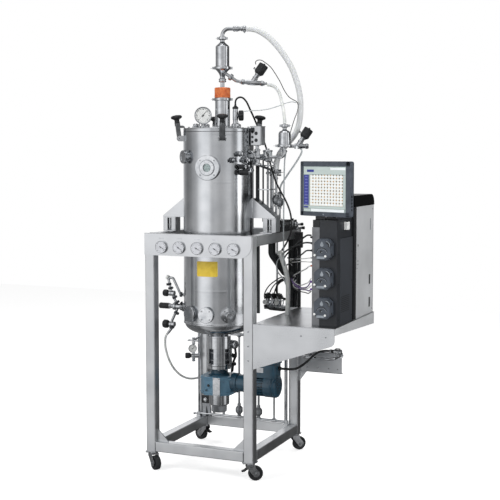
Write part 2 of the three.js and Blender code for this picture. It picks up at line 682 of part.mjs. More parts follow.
function sightGlass() {
  const r = vessel.radius;
  return radialFlange(0, vesselTop - 177, [[0, r - 12], [62, r - 12], [62, r + 20], [37, r + 20],
    [37, r + 26],
    [18, r + 26], [18, r + 12], [0, r + 12]]);
}

function lowerPort({ angle, probe }) {
  const r = vessel.radius, z = jacketZ + 60;
  if (!probe) return radialFlange(angle, z, [[0, r - 12], [30, r - 12], [40, r + 9], [40, r + 21],
    [0, r + 21]], 10);
  return radialFlange(angle, z, [[0, r - 12], [38, r - 12], [38, r + 16], [19, r + 24], [19, r + 38],
    [0, r + 38]], 10);
}

// Side nozzles with a flat face for the left port, the sample valve and the right-hand pipework.
const nozzle = { left: vessel.radius + 26, sample: vessel.radius + 12, right: vessel.radius + 14 };
const leftPortZ = vesselTop - 140, rightPortZ = vesselTop - 125, sampleZ = jacketZ + 71,
  returnZ = jacketZ + 134;

function sideNozzles() {
  const r = vessel.radius - 12;
  return [
    radialFlange(-90, leftPortZ, [[0, r], [25, r], [33, vessel.radius + 12], [33, nozzle.left],
      [0, nozzle.left]],
      sides.small),
    rod(at(-r, -20, sampleZ), at(-nozzle.sample, -20, sampleZ), 18, sides.small),
    rod(at(-r, -20, returnZ), at(-nozzle.sample, -20, returnZ), 11, sides.small),
    rod(at(r, 0, rightPortZ), at(nozzle.right, 0, rightPortZ), 22, sides.small),
  ];
}

piece("vessel", vesselShell(), polished);

// ---- head plate and what stands on it ----
const column = { x: 20, y: 5, radius: 37.5, height: 149 };
const probe = { x: 84, y: 20 };
const headGauge = { x: -71, y: -30, radius: 44, z: headZ + 63, stem: 6 };

function headPlate() {
  const { thickness } = head;
  const r = vessel.radius;
  const plate = turned([[0, vesselTop + seat], [r, vesselTop + seat], [r, vesselTop + thickness - 3],
    [r - 3, headZ], [0, headZ]], sides.large);
  const ports = [[-95, 62], [-20, 105], [62, 104], [-118, -18], [112, -48]].map(([x, y]) =>
    turned([[0, headZ - 2], [15, headZ - 2], [15, headZ + 9], [9, headZ + 11], [9, headZ + 24],
      [0, headZ + 24]],
      sides.tiny, x, y));
  return join(plate, ports);
}

piece("head_plate", headPlate(), polished);

function exhaustColumn() {
  const { x, y, radius, height } = column;
  const base = headZ + seat, top = base + height;
  const body = turned([[0, base], [radius + 6, base], [radius + 6, base + 8], [radius, base + 10],
    [radius, top - 12], [radius + 7, top - 10], [radius + 7, top - 2], [radius + 2, top], [0, top]],
      sides.medium, x, y);
  return join(body, wingNut(at(x, y, top - 6), lateral.clone().negate(), radius + 7));
}

piece("exhaust_column", exhaustColumn(), polished);

const collar = { radius: 40, height: 52, pipe: 10 };
const collarZ = headZ + column.height + seat * 2;

function siliconeCollar() {
  const { radius, height, pipe } = collar;
  const [bore, top] = [pipe + seat, collarZ + height];
  return turned([[bore, collarZ], [radius - 1, collarZ], [radius, collarZ + 2], [radius, top - 2],
    [radius - 2, top],
    [bore, top], [bore, collarZ]], sides.medium, column.x, column.y);
}

piece("silicone_collar", siliconeCollar(), orange);

// ---- exhaust filter, its elbow and side branch ----
const bowl = { radius: 34.5, bottom: collarZ + 149, height: 106, cone: 24, clampRadius: 43 };

function exhaustFilter() {
  const { x, y } = column;
  const { radius, bottom, height, cone, clampRadius } = bowl;
  const pipe = collar.pipe, top = bottom + height + cone;
  const body = turned([[0, collarZ], [pipe, collarZ], [pipe, bottom - 70], [19, bottom - 69],
    [19, bottom - 52],
    [13, bottom - 50], [radius, bottom - 8], [clampRadius, bottom - 7], [clampRadius, bottom + 9],
    [radius, bottom + 10], [radius, bottom + height], [11, top], [19, top + 10], [19, top + 26],
    [11, top + 28], [0, top + 28]], sides.medium, x, y);
  const elbow = bentPipe([at(x, y, top + 27), at(x, y, top + 64), at(x + 60, y + 25.9, top + 64)], 10, 28,
    sides.small);
  const tipStart = at(x + 50, y + 21.6, top + 64);
  const tip = rod(tipStart, tipStart.clone().addScaledVector(lateral, 34), 14, sides.small);
  const nut = rod(tipStart.clone().addScaledVector(lateral, 46), tipStart.clone().addScaledVector(lateral,
    62), 17, 6);
  const stem = rod(tipStart.clone().addScaledVector(lateral, 30),
    tipStart.clone().addScaledVector(lateral, 64), 9, sides.tiny);
  const wings = [wingNut(at(x, y, bottom + 1), lateral.clone().negate(), clampRadius),
    wingNut(at(x, y, top + 18), lateral.clone().negate(), 19)];
  const branch = rod(at(x + 8, y + 3, bottom - 22), at(x + 42, y + 16, bottom - 47), 9, sides.small);
  const branchEnd = rod(at(x + 36, y + 13.6, bottom - 42.6), at(x + 42, y + 16, bottom - 47), 16,
    sides.small);
  return join(body, elbow, tip, nut, stem, wings, branch, branchEnd);
}

piece("exhaust_filter", exhaustFilter(), chrome);

// An angle seat valve: a straight body with a hex nut at each end and a slanted round actuator.
function angleValve(from, to, spread, hub, actuatorRadius, actuatorLength) {
  const way = to.clone().sub(from).normalize();
  const body = rod(from, to, 11, sides.small);
  const nuts = [0.1, 0.86].map((f) => {
    const start = from.clone().lerp(to, f);
    return rod(start, start.clone().addScaledVector(way, 14), 16, 6);
  });
  const start = from.clone().lerp(to, hub);
  const neckEnd = start.clone().addScaledVector(spread, 52);
  const capEnd = neckEnd.clone().addScaledVector(spread, actuatorLength);
  const rim = neckEnd.clone().addScaledVector(spread, 8);
  return join(body, nuts, rod(start, neckEnd.clone().addScaledVector(spread, 2), 12, sides.small),
    rod(neckEnd, rim, actuatorRadius * 0.75, sides.medium, actuatorRadius),
    rod(rim, capEnd, actuatorRadius, sides.medium));
}

const slant = lateral.clone().multiplyScalar(0.56).add(at(0, 0, 0.828)).normalize();

function upperAirValve() {
  const start = at(column.x + 42.3, column.y + 16.2, bowl.bottom - 47.3);
  const bend = bentPipe([start, start.clone().add(at(23, 9.2, -16.9)), start.clone().add(at(46, 18,
    -19))], 9, 12);
  const from = start.clone().add(at(38, 15, -20));
  const to = from.clone().add(at(118, 44, -10));
  const barb = rod(to.clone().addScaledVector(lateral, -2), to.clone().addScaledVector(lateral, 12), 6.5,
    sides.small);
  return join(bend, angleValve(from, to, slant, 0.5, 25, 56), barb);
}

piece("upper_air_valve", upperAirValve(), chrome);

// ---- inlet filter and its angle valve on the right ----
const inlet = { x: 333, y: 62, base: rightPortZ + 42, radius: 31 };

function inletFilter() {
  const { x, y, base, radius } = inlet;
  const body = turned([[0, base], [13, base], [13, base + 6], [radius + 7, base + 8], [radius + 7,
    base + 20],
    [radius, base + 24], [radius, base + 74], [radius - 6, base + 86], [12, base + 92], [10, base + 104],
    [18, base + 106], [18, base + 120], [7, base + 122], [7, base + 124], [0, base + 124]], sides.medium,
      x, y);
  const wing = wingNut(at(x, y, base + 14), lateral.clone().negate(), radius + 7);
  const topWing = wingNut(at(x, y, base + 113), lateral, 18);
  const outlet = rod(at(x + 20, y + 8, base + 12), at(x + 44, y + 18, base + 12), 9, sides.small);
  return join(body, wing, topWing, outlet);
}

piece("inlet_filter", inletFilter(), chrome);

function sideAirValve() {
  const from = at(inlet.x + 44.3, inlet.y + 18.1, inlet.base + 12);
  const to = from.clone().addScaledVector(lateral, 66);
  return angleValve(from, to, slant, 0.25, 24, 52);
}

piece("side_air_valve", sideAirValve(), chrome);

// ---- head gauge and electrode ----
function pressureGauge() {
  const { x, y, radius, z, stem } = headGauge;
  const turnAngle = 23;
  const can = new THREE.LatheGeometry([[0, -14], [radius - 3, -14], [radius, -11], [radius, 14],
    [radius - 6, 14],
    [radius - 7, 11], [0, 11]].map(([a, b]) => new THREE.Vector2(a, b)), sides.medium);
  can.rotateX(Math.PI);
  can.rotateZ(radians(turnAngle));
  can.translate(x, y, z);
  const base = headZ + seat;
  const neck = turned([[0, base], [16, base], [16, base + 6], [stem, base + 8], [stem, z - radius + 4],
    [0, z - radius + 4]], sides.small, x, y);
  return join(solidOf(can), neck);
}

piece("head_pressure_gauge", pressureGauge(), chrome);

function headElectrode() {
  const { x, y } = probe;
  const base = headZ + seat;
  const body = turned([[0, base], [17, base], [17, base + 8], [12.5, base + 10], [12.5, base + 96],
    [15, base + 97],
    [15, base + 105], [8, base + 108], [5, base + 117], [0, base + 117]], sides.small, x, y);
  const hub = at(x, y, base + 62);
  const near = hub.clone().addScaledVector(lateral, 14), far = hub.clone().addScaledVector(lateral, 42);
  return join(body, rod(hub, near, 8, sides.tiny), rod(near.clone().addScaledVector(lateral, -1), far, 27,
    sides.medium));
}

piece("head_electrode", headElectrode(), chrome);

// ---- swing clamps that hold the head plate down ----
function headClamp() {
  const { width, depth, height, foot, lean, pin, nose } = clamp;
  const [hw, hd] = [width / 2, depth / 2];
  const body = join(
    slabXZ([[-hd, 0], [-hd * 0.7, -foot], [hd * 0.7, -foot], [hd, 0], [hd, height - 8],
      [-hd, height - 8]], -hw, hw),
    rod(at(0, 0, height - 9), at(0, 0, height), 14, sides.tiny),
  ).rotate([0, lean, 0]);
  const noseZ = head.clampPivotDrop + head.thickness + seat;
  const jaw = box(-nose, 2, -hw + 3, hw - 3, noseZ, noseZ + 12);
  return cut(join(body, jaw), rod(at(0, -hw - 1, 0), at(0, hw + 1, 0), pin + run, sides.small));
}

function clampKnob() {
  const z = clamp.height + seat;
  return turned([[0, z], [14, z], [14.5, z + 20], [28, z + 26], [28, z + 33], [20, z + 39], [0, z + 41]],
    sides.small);
}

for (const [name, angle] of Object.entries(clampAngles)) {
  const foot = polar(clampR, angle, clampZ);
  const held = place(foot.x, foot.y, foot.z, angle - 90);
  piece(`head_clamp_${name}`, headClamp(), lightPaint, held);
  const knob = piece(`clamp_knob_${name}`, clampKnob(), darkPlastic, held);
  knob.rotation.y = radians(clamp.lean);
}

// ---- drive below the vessel ----
function driveLantern() {
  const { height, radius, wall, ring, windows, windowAngle } = lantern;
  const inner = radius - wall, top = lanternZ + height;
  const sleeve = turned([[inner, lanternZ], [radius, lanternZ], [radius, top], [inner, top],
    [inner, lanternZ]], sides.medium);
  const tools = [];
  for (let i = 0; i < windows; i++) {
    const middle = 23 + (i * 360) / windows, half = windowAngle / 2;
    const [a, b] = [polar(radius * 2, middle - half, 0), polar(radius * 2, middle + half, 0)];
    tools.push(slabXY([[0, 0], [a.x, a.y], [b.x, b.y]], lanternZ + ring, top - ring));
  }
  return cut(sleeve, tools);
}

piece("drive_lantern", driveLantern(), polished);

function gearHousing() {
  const { half, chamfer: c, height, neckRadius, neckHeight, capRadius, capHeight } = gearbox;
  const plan = [[half, c - half], [half, half - c], [half - c, half], [c - half, half], [-half, half - c],
    [-half, c - half], [c - half, -half], [half - c, -half]];
  const block = slabXY(plan, gearZ, neckZ);
  const ribs = [gearZ + 8, neckZ - 16].map((z) => slabXY(plan.map(([x, y]) => [x * 1.035, y * 1.035]), z,
    z + 8));
  const neck = turned([[0, neckZ - 1], [neckRadius, neckZ - 1], [neckRadius, neckZ + 8], [neckRadius - 10,
    neckZ + 12],
    [neckRadius - 10, neckZ + neckHeight - 18], [lantern.radius, neckZ + neckHeight - 16],
    [lantern.radius, neckZ + neckHeight], [0, neckZ + neckHeight]], sides.medium);
  const output = rod(at(0, 0, neckZ + neckHeight - 1), at(0, 0, lanternZ + 16), shaft.coupling - 4,
    sides.small);
  const low = gearZ - capHeight;
  const cap = turned([[0, low - 35], [34, low - 35], [40, low - 31], [40, low], [capRadius, low + 3],
    [capRadius, gearZ + 1], [0, gearZ + 1]], sides.medium);
  const drain = [-26, 30].map((x) => rod(at(x, -8, low - 46), at(x, -8, low - 30), 7, sides.tiny));
  const face = half - 2;
  const flange = rod(at(face, 0, motorZ), at(half + 14, 0, motorZ), 50, sides.medium);
  return join(block, ribs, neck, output, cap, drain, flange);
}

const motorZ = gearZ + 60;
piece("gearbox", gearHousing(), blueEnamel);

// Motor along +X: bell, finned body, fan cowl and terminal box.
function driveMotor() {
  const { radius, finRadius, length, cowl, flange, boxHeight, boxLength } = motor;
  const x0 = gearbox.half + 14 + seat, x1 = gearbox.half + flange, x2 = x1 + length;
  const core = finRadius - 9;
  const fins = [];
  for (let i = 0; i < motor.fins; i++) {
    const angle = (i * 360) / motor.fins;
    if (angle < 40 || angle > 320) continue;
    const fin = box(x1 - 1, x2 - cowl + 1, -2, 2, finRadius - 12, finRadius).rotate([angle, 0, 0]);
    fins.push(fin.translate([0, 0, motorZ]));
  }
  const casing = new THREE.LatheGeometry([[0, x0], [50, x0], [50, x0 + 14], [44, x0 + 16], [44, x1 - 12],
    [radius, x1 - 10], [radius, x1], [core, x1], [core, x2 - cowl], [radius, x2 - cowl], [radius, x2 - 12],
    [radius - 14, x2], [0, x2]].map(([a, b]) => new THREE.Vector2(a, b)), sides.medium);
  casing.rotateZ(-Math.PI / 2);
  casing.translate(0, 0, motorZ);
  const boxTop = motorZ + radius + boxHeight;
  const terminal = box(x1 + 4, x1 + 4 + boxLength, -42, 42, motorZ + finRadius - 16, boxTop - 6);
  const lid = box(x1, x1 + 8 + boxLength, -46, 46, boxTop - 12, boxTop);
  const gland = rod(at(x1 + 3 + boxLength, 8, boxTop - 36), at(x1 + 16 + boxLength, 8, boxTop - 36), 10,
    sides.tiny);
  return join(solidOf(casing), fins, terminal, lid, gland);
}

piece("drive_motor", driveMotor(), blueEnamel);

// ---- agitator: coupling in the lantern, shaft through the seal, two disc impellers ----
function agitator() {
  const low = lanternZ + 16 + seat;
  const { radius, coupling, top, impellerRadius, hub, blades, blade } = shaft;
  const tip = dishZ + top;
  const stem = turned([[0, low], [coupling, low], [coupling, low + 44], [radius + 2, low + 50],
    [radius, low + 54],
    [radius, tip], [0, tip]], sides.small);
  const impellers = [170, 520].map((rise) => {
    const z = dishZ + rise;
    const outline = [];
    for (let i = 0; i < blades; i++) {
      const middle = (i * 360) / blades, gap = 180 / blades;
      const root = polar(hub, middle + gap, 0);
      const [a, b] = [polar(impellerRadius, middle - 2, 0), polar(impellerRadius, middle + 2, 0)];
      const [c, d] = [polar(hub, middle - 8, 0), polar(hub, middle + 8, 0)];
      outline.push([c.x, c.y], [a.x, a.y], [b.x, b.y], [d.x, d.y], [root.x, root.y]);
    }
    return slabXY(outline, z - blade / 2, z + blade / 2);
  });
  return join(stem, impellers);
}

piece("agitator", agitator(), polished);

// ---- sample valve on the left, with its steam loop ----
const sampleY = -20;
const sampleStart = -nozzle.sample - seat;
const steamValve = { x: sampleStart - 70, z: sampleZ + 67 };
const drainValve = { x: sampleStart - 70, z: sampleZ - 95 };

function sampleValve() {
  const [x0, y] = [sampleStart, sampleY];
  const point = (x, z) => at(x, y, z);
  const turnedBody = new THREE.LatheGeometry([[0, 0], [20, 0], [20, 18], [14, 22], [14, 42], [19, 46],
    [19, 58],
    [14, 62], [0, 62]].map(([a, b]) => new THREE.Vector2(a, b)), sides.small);
  turnedBody.rotateZ(Math.PI / 2);
  turnedBody.translate(x0, y, sampleZ);
  const body = solidOf(turnedBody);
  const upper = rod(point(x0 - 32, sampleZ), point(steamValve.x, steamValve.z), 6.5, sides.tiny);
  const loop = bentPipe([point(steamValve.x, steamValve.z), point(x0 - 90, sampleZ + 146), point(x0 - 62,
    sampleZ + 148),
    point(x0 - 18, returnZ), point(x0, returnZ)], 6.5, 13, sides.tiny, 2);
  const lower = bentPipe([point(x0 - 32, sampleZ), point(x0 - 70, sampleZ - 78), point(x0 - 72,
    sampleZ - 118),
    point(x0 - 92, sampleZ - 141)], 7, 14, sides.tiny, 2);
  const bodies = [steamValve, drainValve].map(({ x, z }) => rod(point(x + 18, z), point(x - 14, z), 14,
    sides.small));
  const clamps = [
    rod(point(x0 - 20, returnZ + 1), point(x0 - 12, returnZ), 15, sides.small),
    rod(point(x0 - 40, sampleZ - 28), point(x0 - 46, sampleZ - 42), 16, sides.small),
    rod(point(x0 - 86, sampleZ + 108), point(x0 - 87, sampleZ + 118), 15, sides.small),
  ];
  return join(body, upper, loop, lower, bodies, clamps);
}

piece("sample_valve", sampleValve(), chrome);

function roundKnob(radius, length) {
  const made = new THREE.LatheGeometry([[0, 0], [radius * 0.6, 0], [radius, length * 0.28],
    [radius, length * 0.85],
    [radius * 0.8, length], [0, length]].map(([a, b]) => new THREE.Vector2(a, b)), sides.small);
  made.rotateZ(Math.PI / 2);
  return solidOf(made);
}

const handleHeld = place(sampleStart - 62 - seat, sampleY, sampleZ);
piece("sample_handle", roundKnob(15.5, 78), darkPlastic, handleHeld);
const steamHeld = place(steamValve.x - 14 - seat, sampleY, steamValve.z);
piece("steam_knob", roundKnob(18, 34), darkPlastic, steamHeld);
const drainHeld = place(drainValve.x - 14 - seat, sampleY, drainValve.z);
piece("drain_knob", roundKnob(22, 36), darkPlastic, drainHeld);

// ---- pipework at the rear: condensate line, traps, riser and pressure regulator ----
const service = { y: backY - tubeSize - 18, x: -sideX + 10, pipeZ: frameBottom + tubeSize + 16,
  gaugeZ: 526 };

function trap(x, y, z) {
  return turned([[0, z - 34], [8, z - 34], [8, z - 24], [20, z - 10], [20, z + 10], [8, z + 24],
    [8, z + 36],
    [0, z + 36]], sides.small, x, y);
}

function servicePipework() {
  const { x, y, pipeZ, gaugeZ } = service;
  const foot = join(box(x - 14, x + 14, y - 12, y + 12, frameBottom + tubeSize + seat, pipeZ + 8),
    rod(at(x - 34, y, pipeZ - 4), at(x - 8, y, pipeZ - 4), 5, 6));
  const farX = sideX - tubeSize - 8;
  const riser = rod(at(x, y, pipeZ), at(x, y, gaugeZ + 96), 6, sides.tiny);
  const line = rod(at(x, y, pipeZ), at(farX, y, pipeZ), 7, sides.tiny);
  const farFoot = box(farX - 12, farX + 16, y - 12, y + 12, frameBottom + tubeSize + seat, pipeZ + 8);
  const header = rod(at(x, y, gaugeZ + 90), at(farX, y, gaugeZ + 90), 8, sides.tiny);
  const drops = [-40, 75, 165].map((dx) => rod(at(dx, y, pipeZ), at(dx, y, gaugeZ + 90), dx > 100 ? 5 : 6,
    sides.tiny));
  const traps = [-40, 75].map((dx) => trap(dx, y, pipeZ + 40));
  const farRiser = rod(at(farX, y, pipeZ), at(farX, y, gaugeZ + 90), 9, sides.tiny);
  const dial = new THREE.LatheGeometry([[0, -8], [23, -8], [23, 6], [21, 8], [19, 6], [0, 6]]
    .map(([a, b]) => new THREE.Vector2(a, b)), sides.medium);
  dial.rotateX(Math.PI);
  dial.rotateZ(radians(23));
  dial.translate(x - 22, y - 34, gaugeZ);
  const body = join(
    rod(at(x - 34, y - 24, gaugeZ - 42), at(x + 6, y - 6, gaugeZ - 42), 13, sides.small),
    rod(at(x - 22, y - 22, gaugeZ - 74), at(x - 22, y - 22, gaugeZ + 60), 7, sides.tiny),
    rod(at(x - 22, y - 22, gaugeZ + 44), at(x + 2, y, gaugeZ + 60), 6, sides.tiny),
    rod(at(x - 52, y - 22, gaugeZ + 42), at(x + 8, y - 22, gaugeZ + 42), 5, 6),
    rod(at(x - 52, y - 32, gaugeZ + 42), at(x - 52, y - 12, gaugeZ + 42), 4, 6),
  );
  return join(foot, riser, line, farFoot, header, drops, traps, farRiser, solidOf(dial), body);
}

piece("service_pipework", servicePipework(), chrome);

const regulatorHeld = place(service.x - 34.3, service.y - 24.1, service.gaugeZ - 42, 24);
piece("regulator_knob", roundKnob(16, 34), darkPlastic, regulatorHeld);

// ---- pipe rack between the vessel's right port, the top rail and the valve bank ----
const rack = { blockX: sideX - tubeSize - 26, blockY: 122, blockZ: frameTop + 58, bankZ: shelf.top + 21,
  trapAboveBlock: 105, tieBelowPort: 67, tiePitch: 24 };

function pipeRack() {
  const x0 = nozzle.right + seat;
  const port = join(
    rod(at(x0, 0, rightPortZ), at(x0 + 16, 0, rightPortZ), 27, sides.small),
    rod(at(x0 + 10, 0, rightPortZ), at(x0 + 44, 0, rightPortZ), 15, sides.small),
    rod(at(x0 + 20, 0, rightPortZ - 42), at(x0 + 20, 0, rightPortZ + 40), 13, sides.small),
    rod(at(x0 + 20, 0, rightPortZ - 30), at(x0 + 20, 0, rightPortZ - 42), 21, sides.small),
  );
  const header = bentPipe([at(x0 + 42, 0, rightPortZ), at(inlet.x, inlet.y, rightPortZ),
    at(inlet.x, inlet.y, inlet.base - seat)], 8, 22);
  const block = box(rack.blockX, sideX + 6, rack.blockY - 12, rack.blockY + 110, frameTop + seat,
    rack.blockZ);
  const risers = [[214, 134], [226, 150], [240, 134], [254, 150]].map(([x, y], i) =>
    rod(at(x + (rack.blockX - 216), y, rack.blockZ - 2), at(x + (rack.blockX - 216), y,
      rightPortZ - 64 + i * 8), 6,
      sides.tiny));
  const tieZ = rightPortZ - rack.tieBelowPort, lowTieZ = tieZ - rack.tiePitch;
  const tie = [tieZ, lowTieZ].map((z) => rod(at(rack.blockX + 6, 142, z), at(rack.blockX + 66, 142, z), 5,
    6));
  const bridge = rod(at(x0 + 20, 0, rightPortZ - 38), at(rack.blockX + 20, 142, tieZ), 6, sides.tiny);
  const trapX = 268, trapY = 112;
  const trapLine = join(trap(trapX, trapY, rack.blockZ + rack.trapAboveBlock),
    rod(at(trapX, trapY, rack.blockZ - 2), at(trapX, trapY, tieZ - 8), 6, 8),
    rod(at(trapX - 8, trapY + 2, lowTieZ), at(trapX - 8, trapY + 30, lowTieZ), 5, 6),
    rod(at(trapX, trapY, tieZ - 17), at(trapX, trapY, tieZ - 3), 18, sides.small),
    wingNut(at(trapX, trapY, tieZ - 10), lateral, 18),
    rod(at(trapX, trapY, tieZ - 4), at(trapX, trapY, tieZ + 4), 12, sides.small));
  const lower = [0, 1].map((i) => {
    const x = rack.blockX + 12;
    const y = 140 + i * 34;
    return bentPipe([at(x, y, frameTop + 4), at(x, y, frameTop - 118), at(x + 52, y + 56,
      frameTop - 220)], 13, 44);
  });
  const dropX = rack.blockX + 16, dropY = 218;
  const drop = rod(at(dropX, dropY, frameTop + 4), at(dropX, dropY, rack.bankZ), 5, sides.tiny);
  const bank = join(
    box(dropX - 66, dropX + 50, dropY - 20, dropY + 20, rack.bankZ - 14, rack.bankZ + 6),
    [-52, -20, 12].map((dx) => rod(at(dropX + dx, dropY, rack.bankZ), at(dropX + dx, dropY,
      rack.bankZ + 44), 12, 8)),
    rod(at(dropX + 40, dropY, rack.bankZ - 4), at(sideX - 4, dropY, rack.bankZ - 4), 6, 6),
  );
  return join(port, header, block, risers, tie, bridge, trapLine, lower, drop, bank);
}

piece("pipe_rack", pipeRack(), chrome);

// ---- hoses and cables ----
const exhaustRoute = [
  [129.5, 52.3, 2213.9], [148, 60.3, 2213.9], [174, 71.5, 2208], [203, 84, 2193], [234, 97.3, 2169],
  [264, 110, 2137], [291, 122, 2101], [316, 132.5, 2062], [338, 142, 2020], [355, 149, 1974], [368, 154.7,
    1928],
  [377, 158.6, 1881], [379.8, 160, 1834], [378.7, 159.6, 1785], [371.3, 156.4, 1735], [354.8, 149.3, 1690],
  [328.2, 137.8, 1652], [300.7, 125.9, 1619], [280.5, 117.2, 1584], [271, 113.1, 1552], [268, 112, 1526],
    [268, 112, 1512.6],
];
piece("exhaust_hose", hose(exhaustRoute.map((p) => at(...p)), 14.5, sides.cord, 72), silicone);

const inletRoute = [
  [229.5, 84.9, 1936], [240, 89.4, 1935], [251, 93.6, 1932.5], [262, 97, 1927], [272, 99, 1918.5],
    [281, 99.5, 1907],
  [290, 98, 1892], [297, 95.6, 1875], [304, 92, 1856], [311, 87.5, 1834], [318, 81.5, 1812],
    [324, 75, 1791],
  [329, 68, 1773], [332.4, 63.1, 1758], [333, 62, 1748], [333, 62, 1741.4],
];
piece("inlet_hose", hose(inletRoute.map((p) => at(...p)), 8, sides.cord, 40), silicone);

const electrodeRoute = [
  [84, 20, 1837.6], [84, 20, 1847], [85.8, 21.7, 1858.4], [90.9, 26.6, 1867.7], [98.5, 33.8, 1873.1],
  [106.9, 41.9, 1873.6], [114.8, 49.3, 1869.1], [121.1, 55.6, 1861], [127.6, 63.5, 1849], [137, 84, 1814], [147, 112, 1771], [160, 139, 1718], [183, 150, 1660], [211, 133, 1602],
  [238, 102, 1550], [262, 80, 1500], [283, 74, 1448], [306, 78, 1404], [332, 81, 1358], [357, 77, 1302],
    [367, 73, 1246],
  [357, 82, 1190], [328, 103, 1142], [294, 130, 1104], [262, 158, 1070],
];
piece("electrode_cable", hose(electrodeRoute.map((p) => at(...p)), 4.5, sides.cord, 27), rubber);

const motorCableRoute = [
  [340.4, 8, 518.4], [350, 8, 518.4], [362.9, 9.7, 518], [375, 14.7, 517.3], [385.4, 22.6, 516.5],
  [393.3, 33, 515.7], [398.3, 45.1, 515.2], [400.6, 60, 515], [404.3, 94, 516.4], [408.5, 131, 521],
  [412.8, 170, 528.5], [417, 208, 538], [421.2, 246, 548.5], [425, 281, 555.5], [431.7, 306, 559.6],
  [439.6, 318.4, 561.5], [450, 326.3, 562.9], [462, 331.2, 563.7], [473, 332.9, 564], [482.1, 333, 564],
];
piece("motor_cable", hose(motorCableRoute.map((p) => at(...p)), 6, sides.cord, 34), rubber);

const sampleRoute = [
  [-282.4, -20, 664.6], [-288.4, -20, 657.7], [-294.2, -20, 649], [-299.3, -19.3, 637], [-303.2, -16, 618],
  [-305.4, -7, 582], [-304.6, 14, 536], [-301.6, 46, 488], [-297.6, 88, 446], [-293.8, 138, 412],
    [-290.6, 190, 388],
  [-288, 240, 373], [-286, 284, 365], [-284, 318, 361.6], [-282.5, 336, 361],
];
piece("sample_hose", hose(sampleRoute.map((p) => at(...p)), 6, sides.cord, 34), silicone);

// The footprint's middle becomes the origin.
const bounds = new THREE.Box3().setFromObject(group, true);
const middle = bounds.getCenter(new THREE.Vector3());
group.position.set(-middle.x, -middle.y, -bounds.min.z);

export default group;
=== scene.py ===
# Pilot bioreactor on a wheeled frame: surfaces, fine parts and studio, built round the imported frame.
import math

import bpy
from mathutils import Matrix, Vector


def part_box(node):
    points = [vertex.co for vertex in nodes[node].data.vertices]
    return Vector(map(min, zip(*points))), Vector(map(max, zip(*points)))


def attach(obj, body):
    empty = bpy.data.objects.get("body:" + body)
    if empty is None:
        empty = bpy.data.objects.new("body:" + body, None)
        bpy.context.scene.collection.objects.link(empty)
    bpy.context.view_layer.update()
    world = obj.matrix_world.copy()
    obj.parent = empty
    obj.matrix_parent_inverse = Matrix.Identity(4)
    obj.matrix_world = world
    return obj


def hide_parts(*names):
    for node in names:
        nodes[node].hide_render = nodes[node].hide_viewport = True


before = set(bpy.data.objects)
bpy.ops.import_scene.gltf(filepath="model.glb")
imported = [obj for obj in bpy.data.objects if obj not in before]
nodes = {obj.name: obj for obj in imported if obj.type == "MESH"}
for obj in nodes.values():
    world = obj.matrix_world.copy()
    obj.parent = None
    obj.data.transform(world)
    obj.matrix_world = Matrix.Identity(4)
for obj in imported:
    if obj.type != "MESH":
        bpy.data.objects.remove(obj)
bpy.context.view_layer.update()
scene = bpy.context.scene
print("frame loaded:", len(nodes), "nodes")

# All places below are millimetres from the vessel axis at floor level, as the maker's drawing would give them.
headLow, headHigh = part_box("head_plate")
vesselAxis = (headLow + headHigh) / 2


def mm(x, y, z):
    return Vector((vesselAxis.x + x / 1000, vesselAxis.y + y / 1000, z / 1000))


def radial(radius, degrees, z):
    # 0 degrees is the front, 90 the right-hand side
    a = math.radians(degrees)
    return Vector((radius * math.sin(a), -radius * math.cos(a), z))


# Colours are written as they look on a screen and turned linear here.
def linear(hexColour):
    channels = [int(hexColour[i:i + 2], 16) / 255 for i in (1, 3, 5)]
    return [c / 12.92 if c <= 0.04045 else ((c + 0.055) / 1.055) ** 2.4 for c in channels] + [1.0]


def emptied(owner):
    owner.use_nodes = True
    owner.node_tree.nodes.clear()
    return owner


def addNode(owner, kind, settings=None, links=None):
    tree = owner.node_tree
    node = tree.nodes.new(kind)
    for key, value in (settings or {}).items():
        if isinstance(key, str) and hasattr(node, key):
            setattr(node, key, value)
        else:
            node.inputs[key].default_value = value
    for key, source in (links or {}).items():
        tree.links.new(source, node.inputs[key])
    return node


# How noise is read: its middle makes the whole span from dark to light (tone) and smooth to rough (gloss).
noiseSpan = {"tone": (0.32, 0.68), "gloss": (0.3, 0.7), "roughness": 0.55}


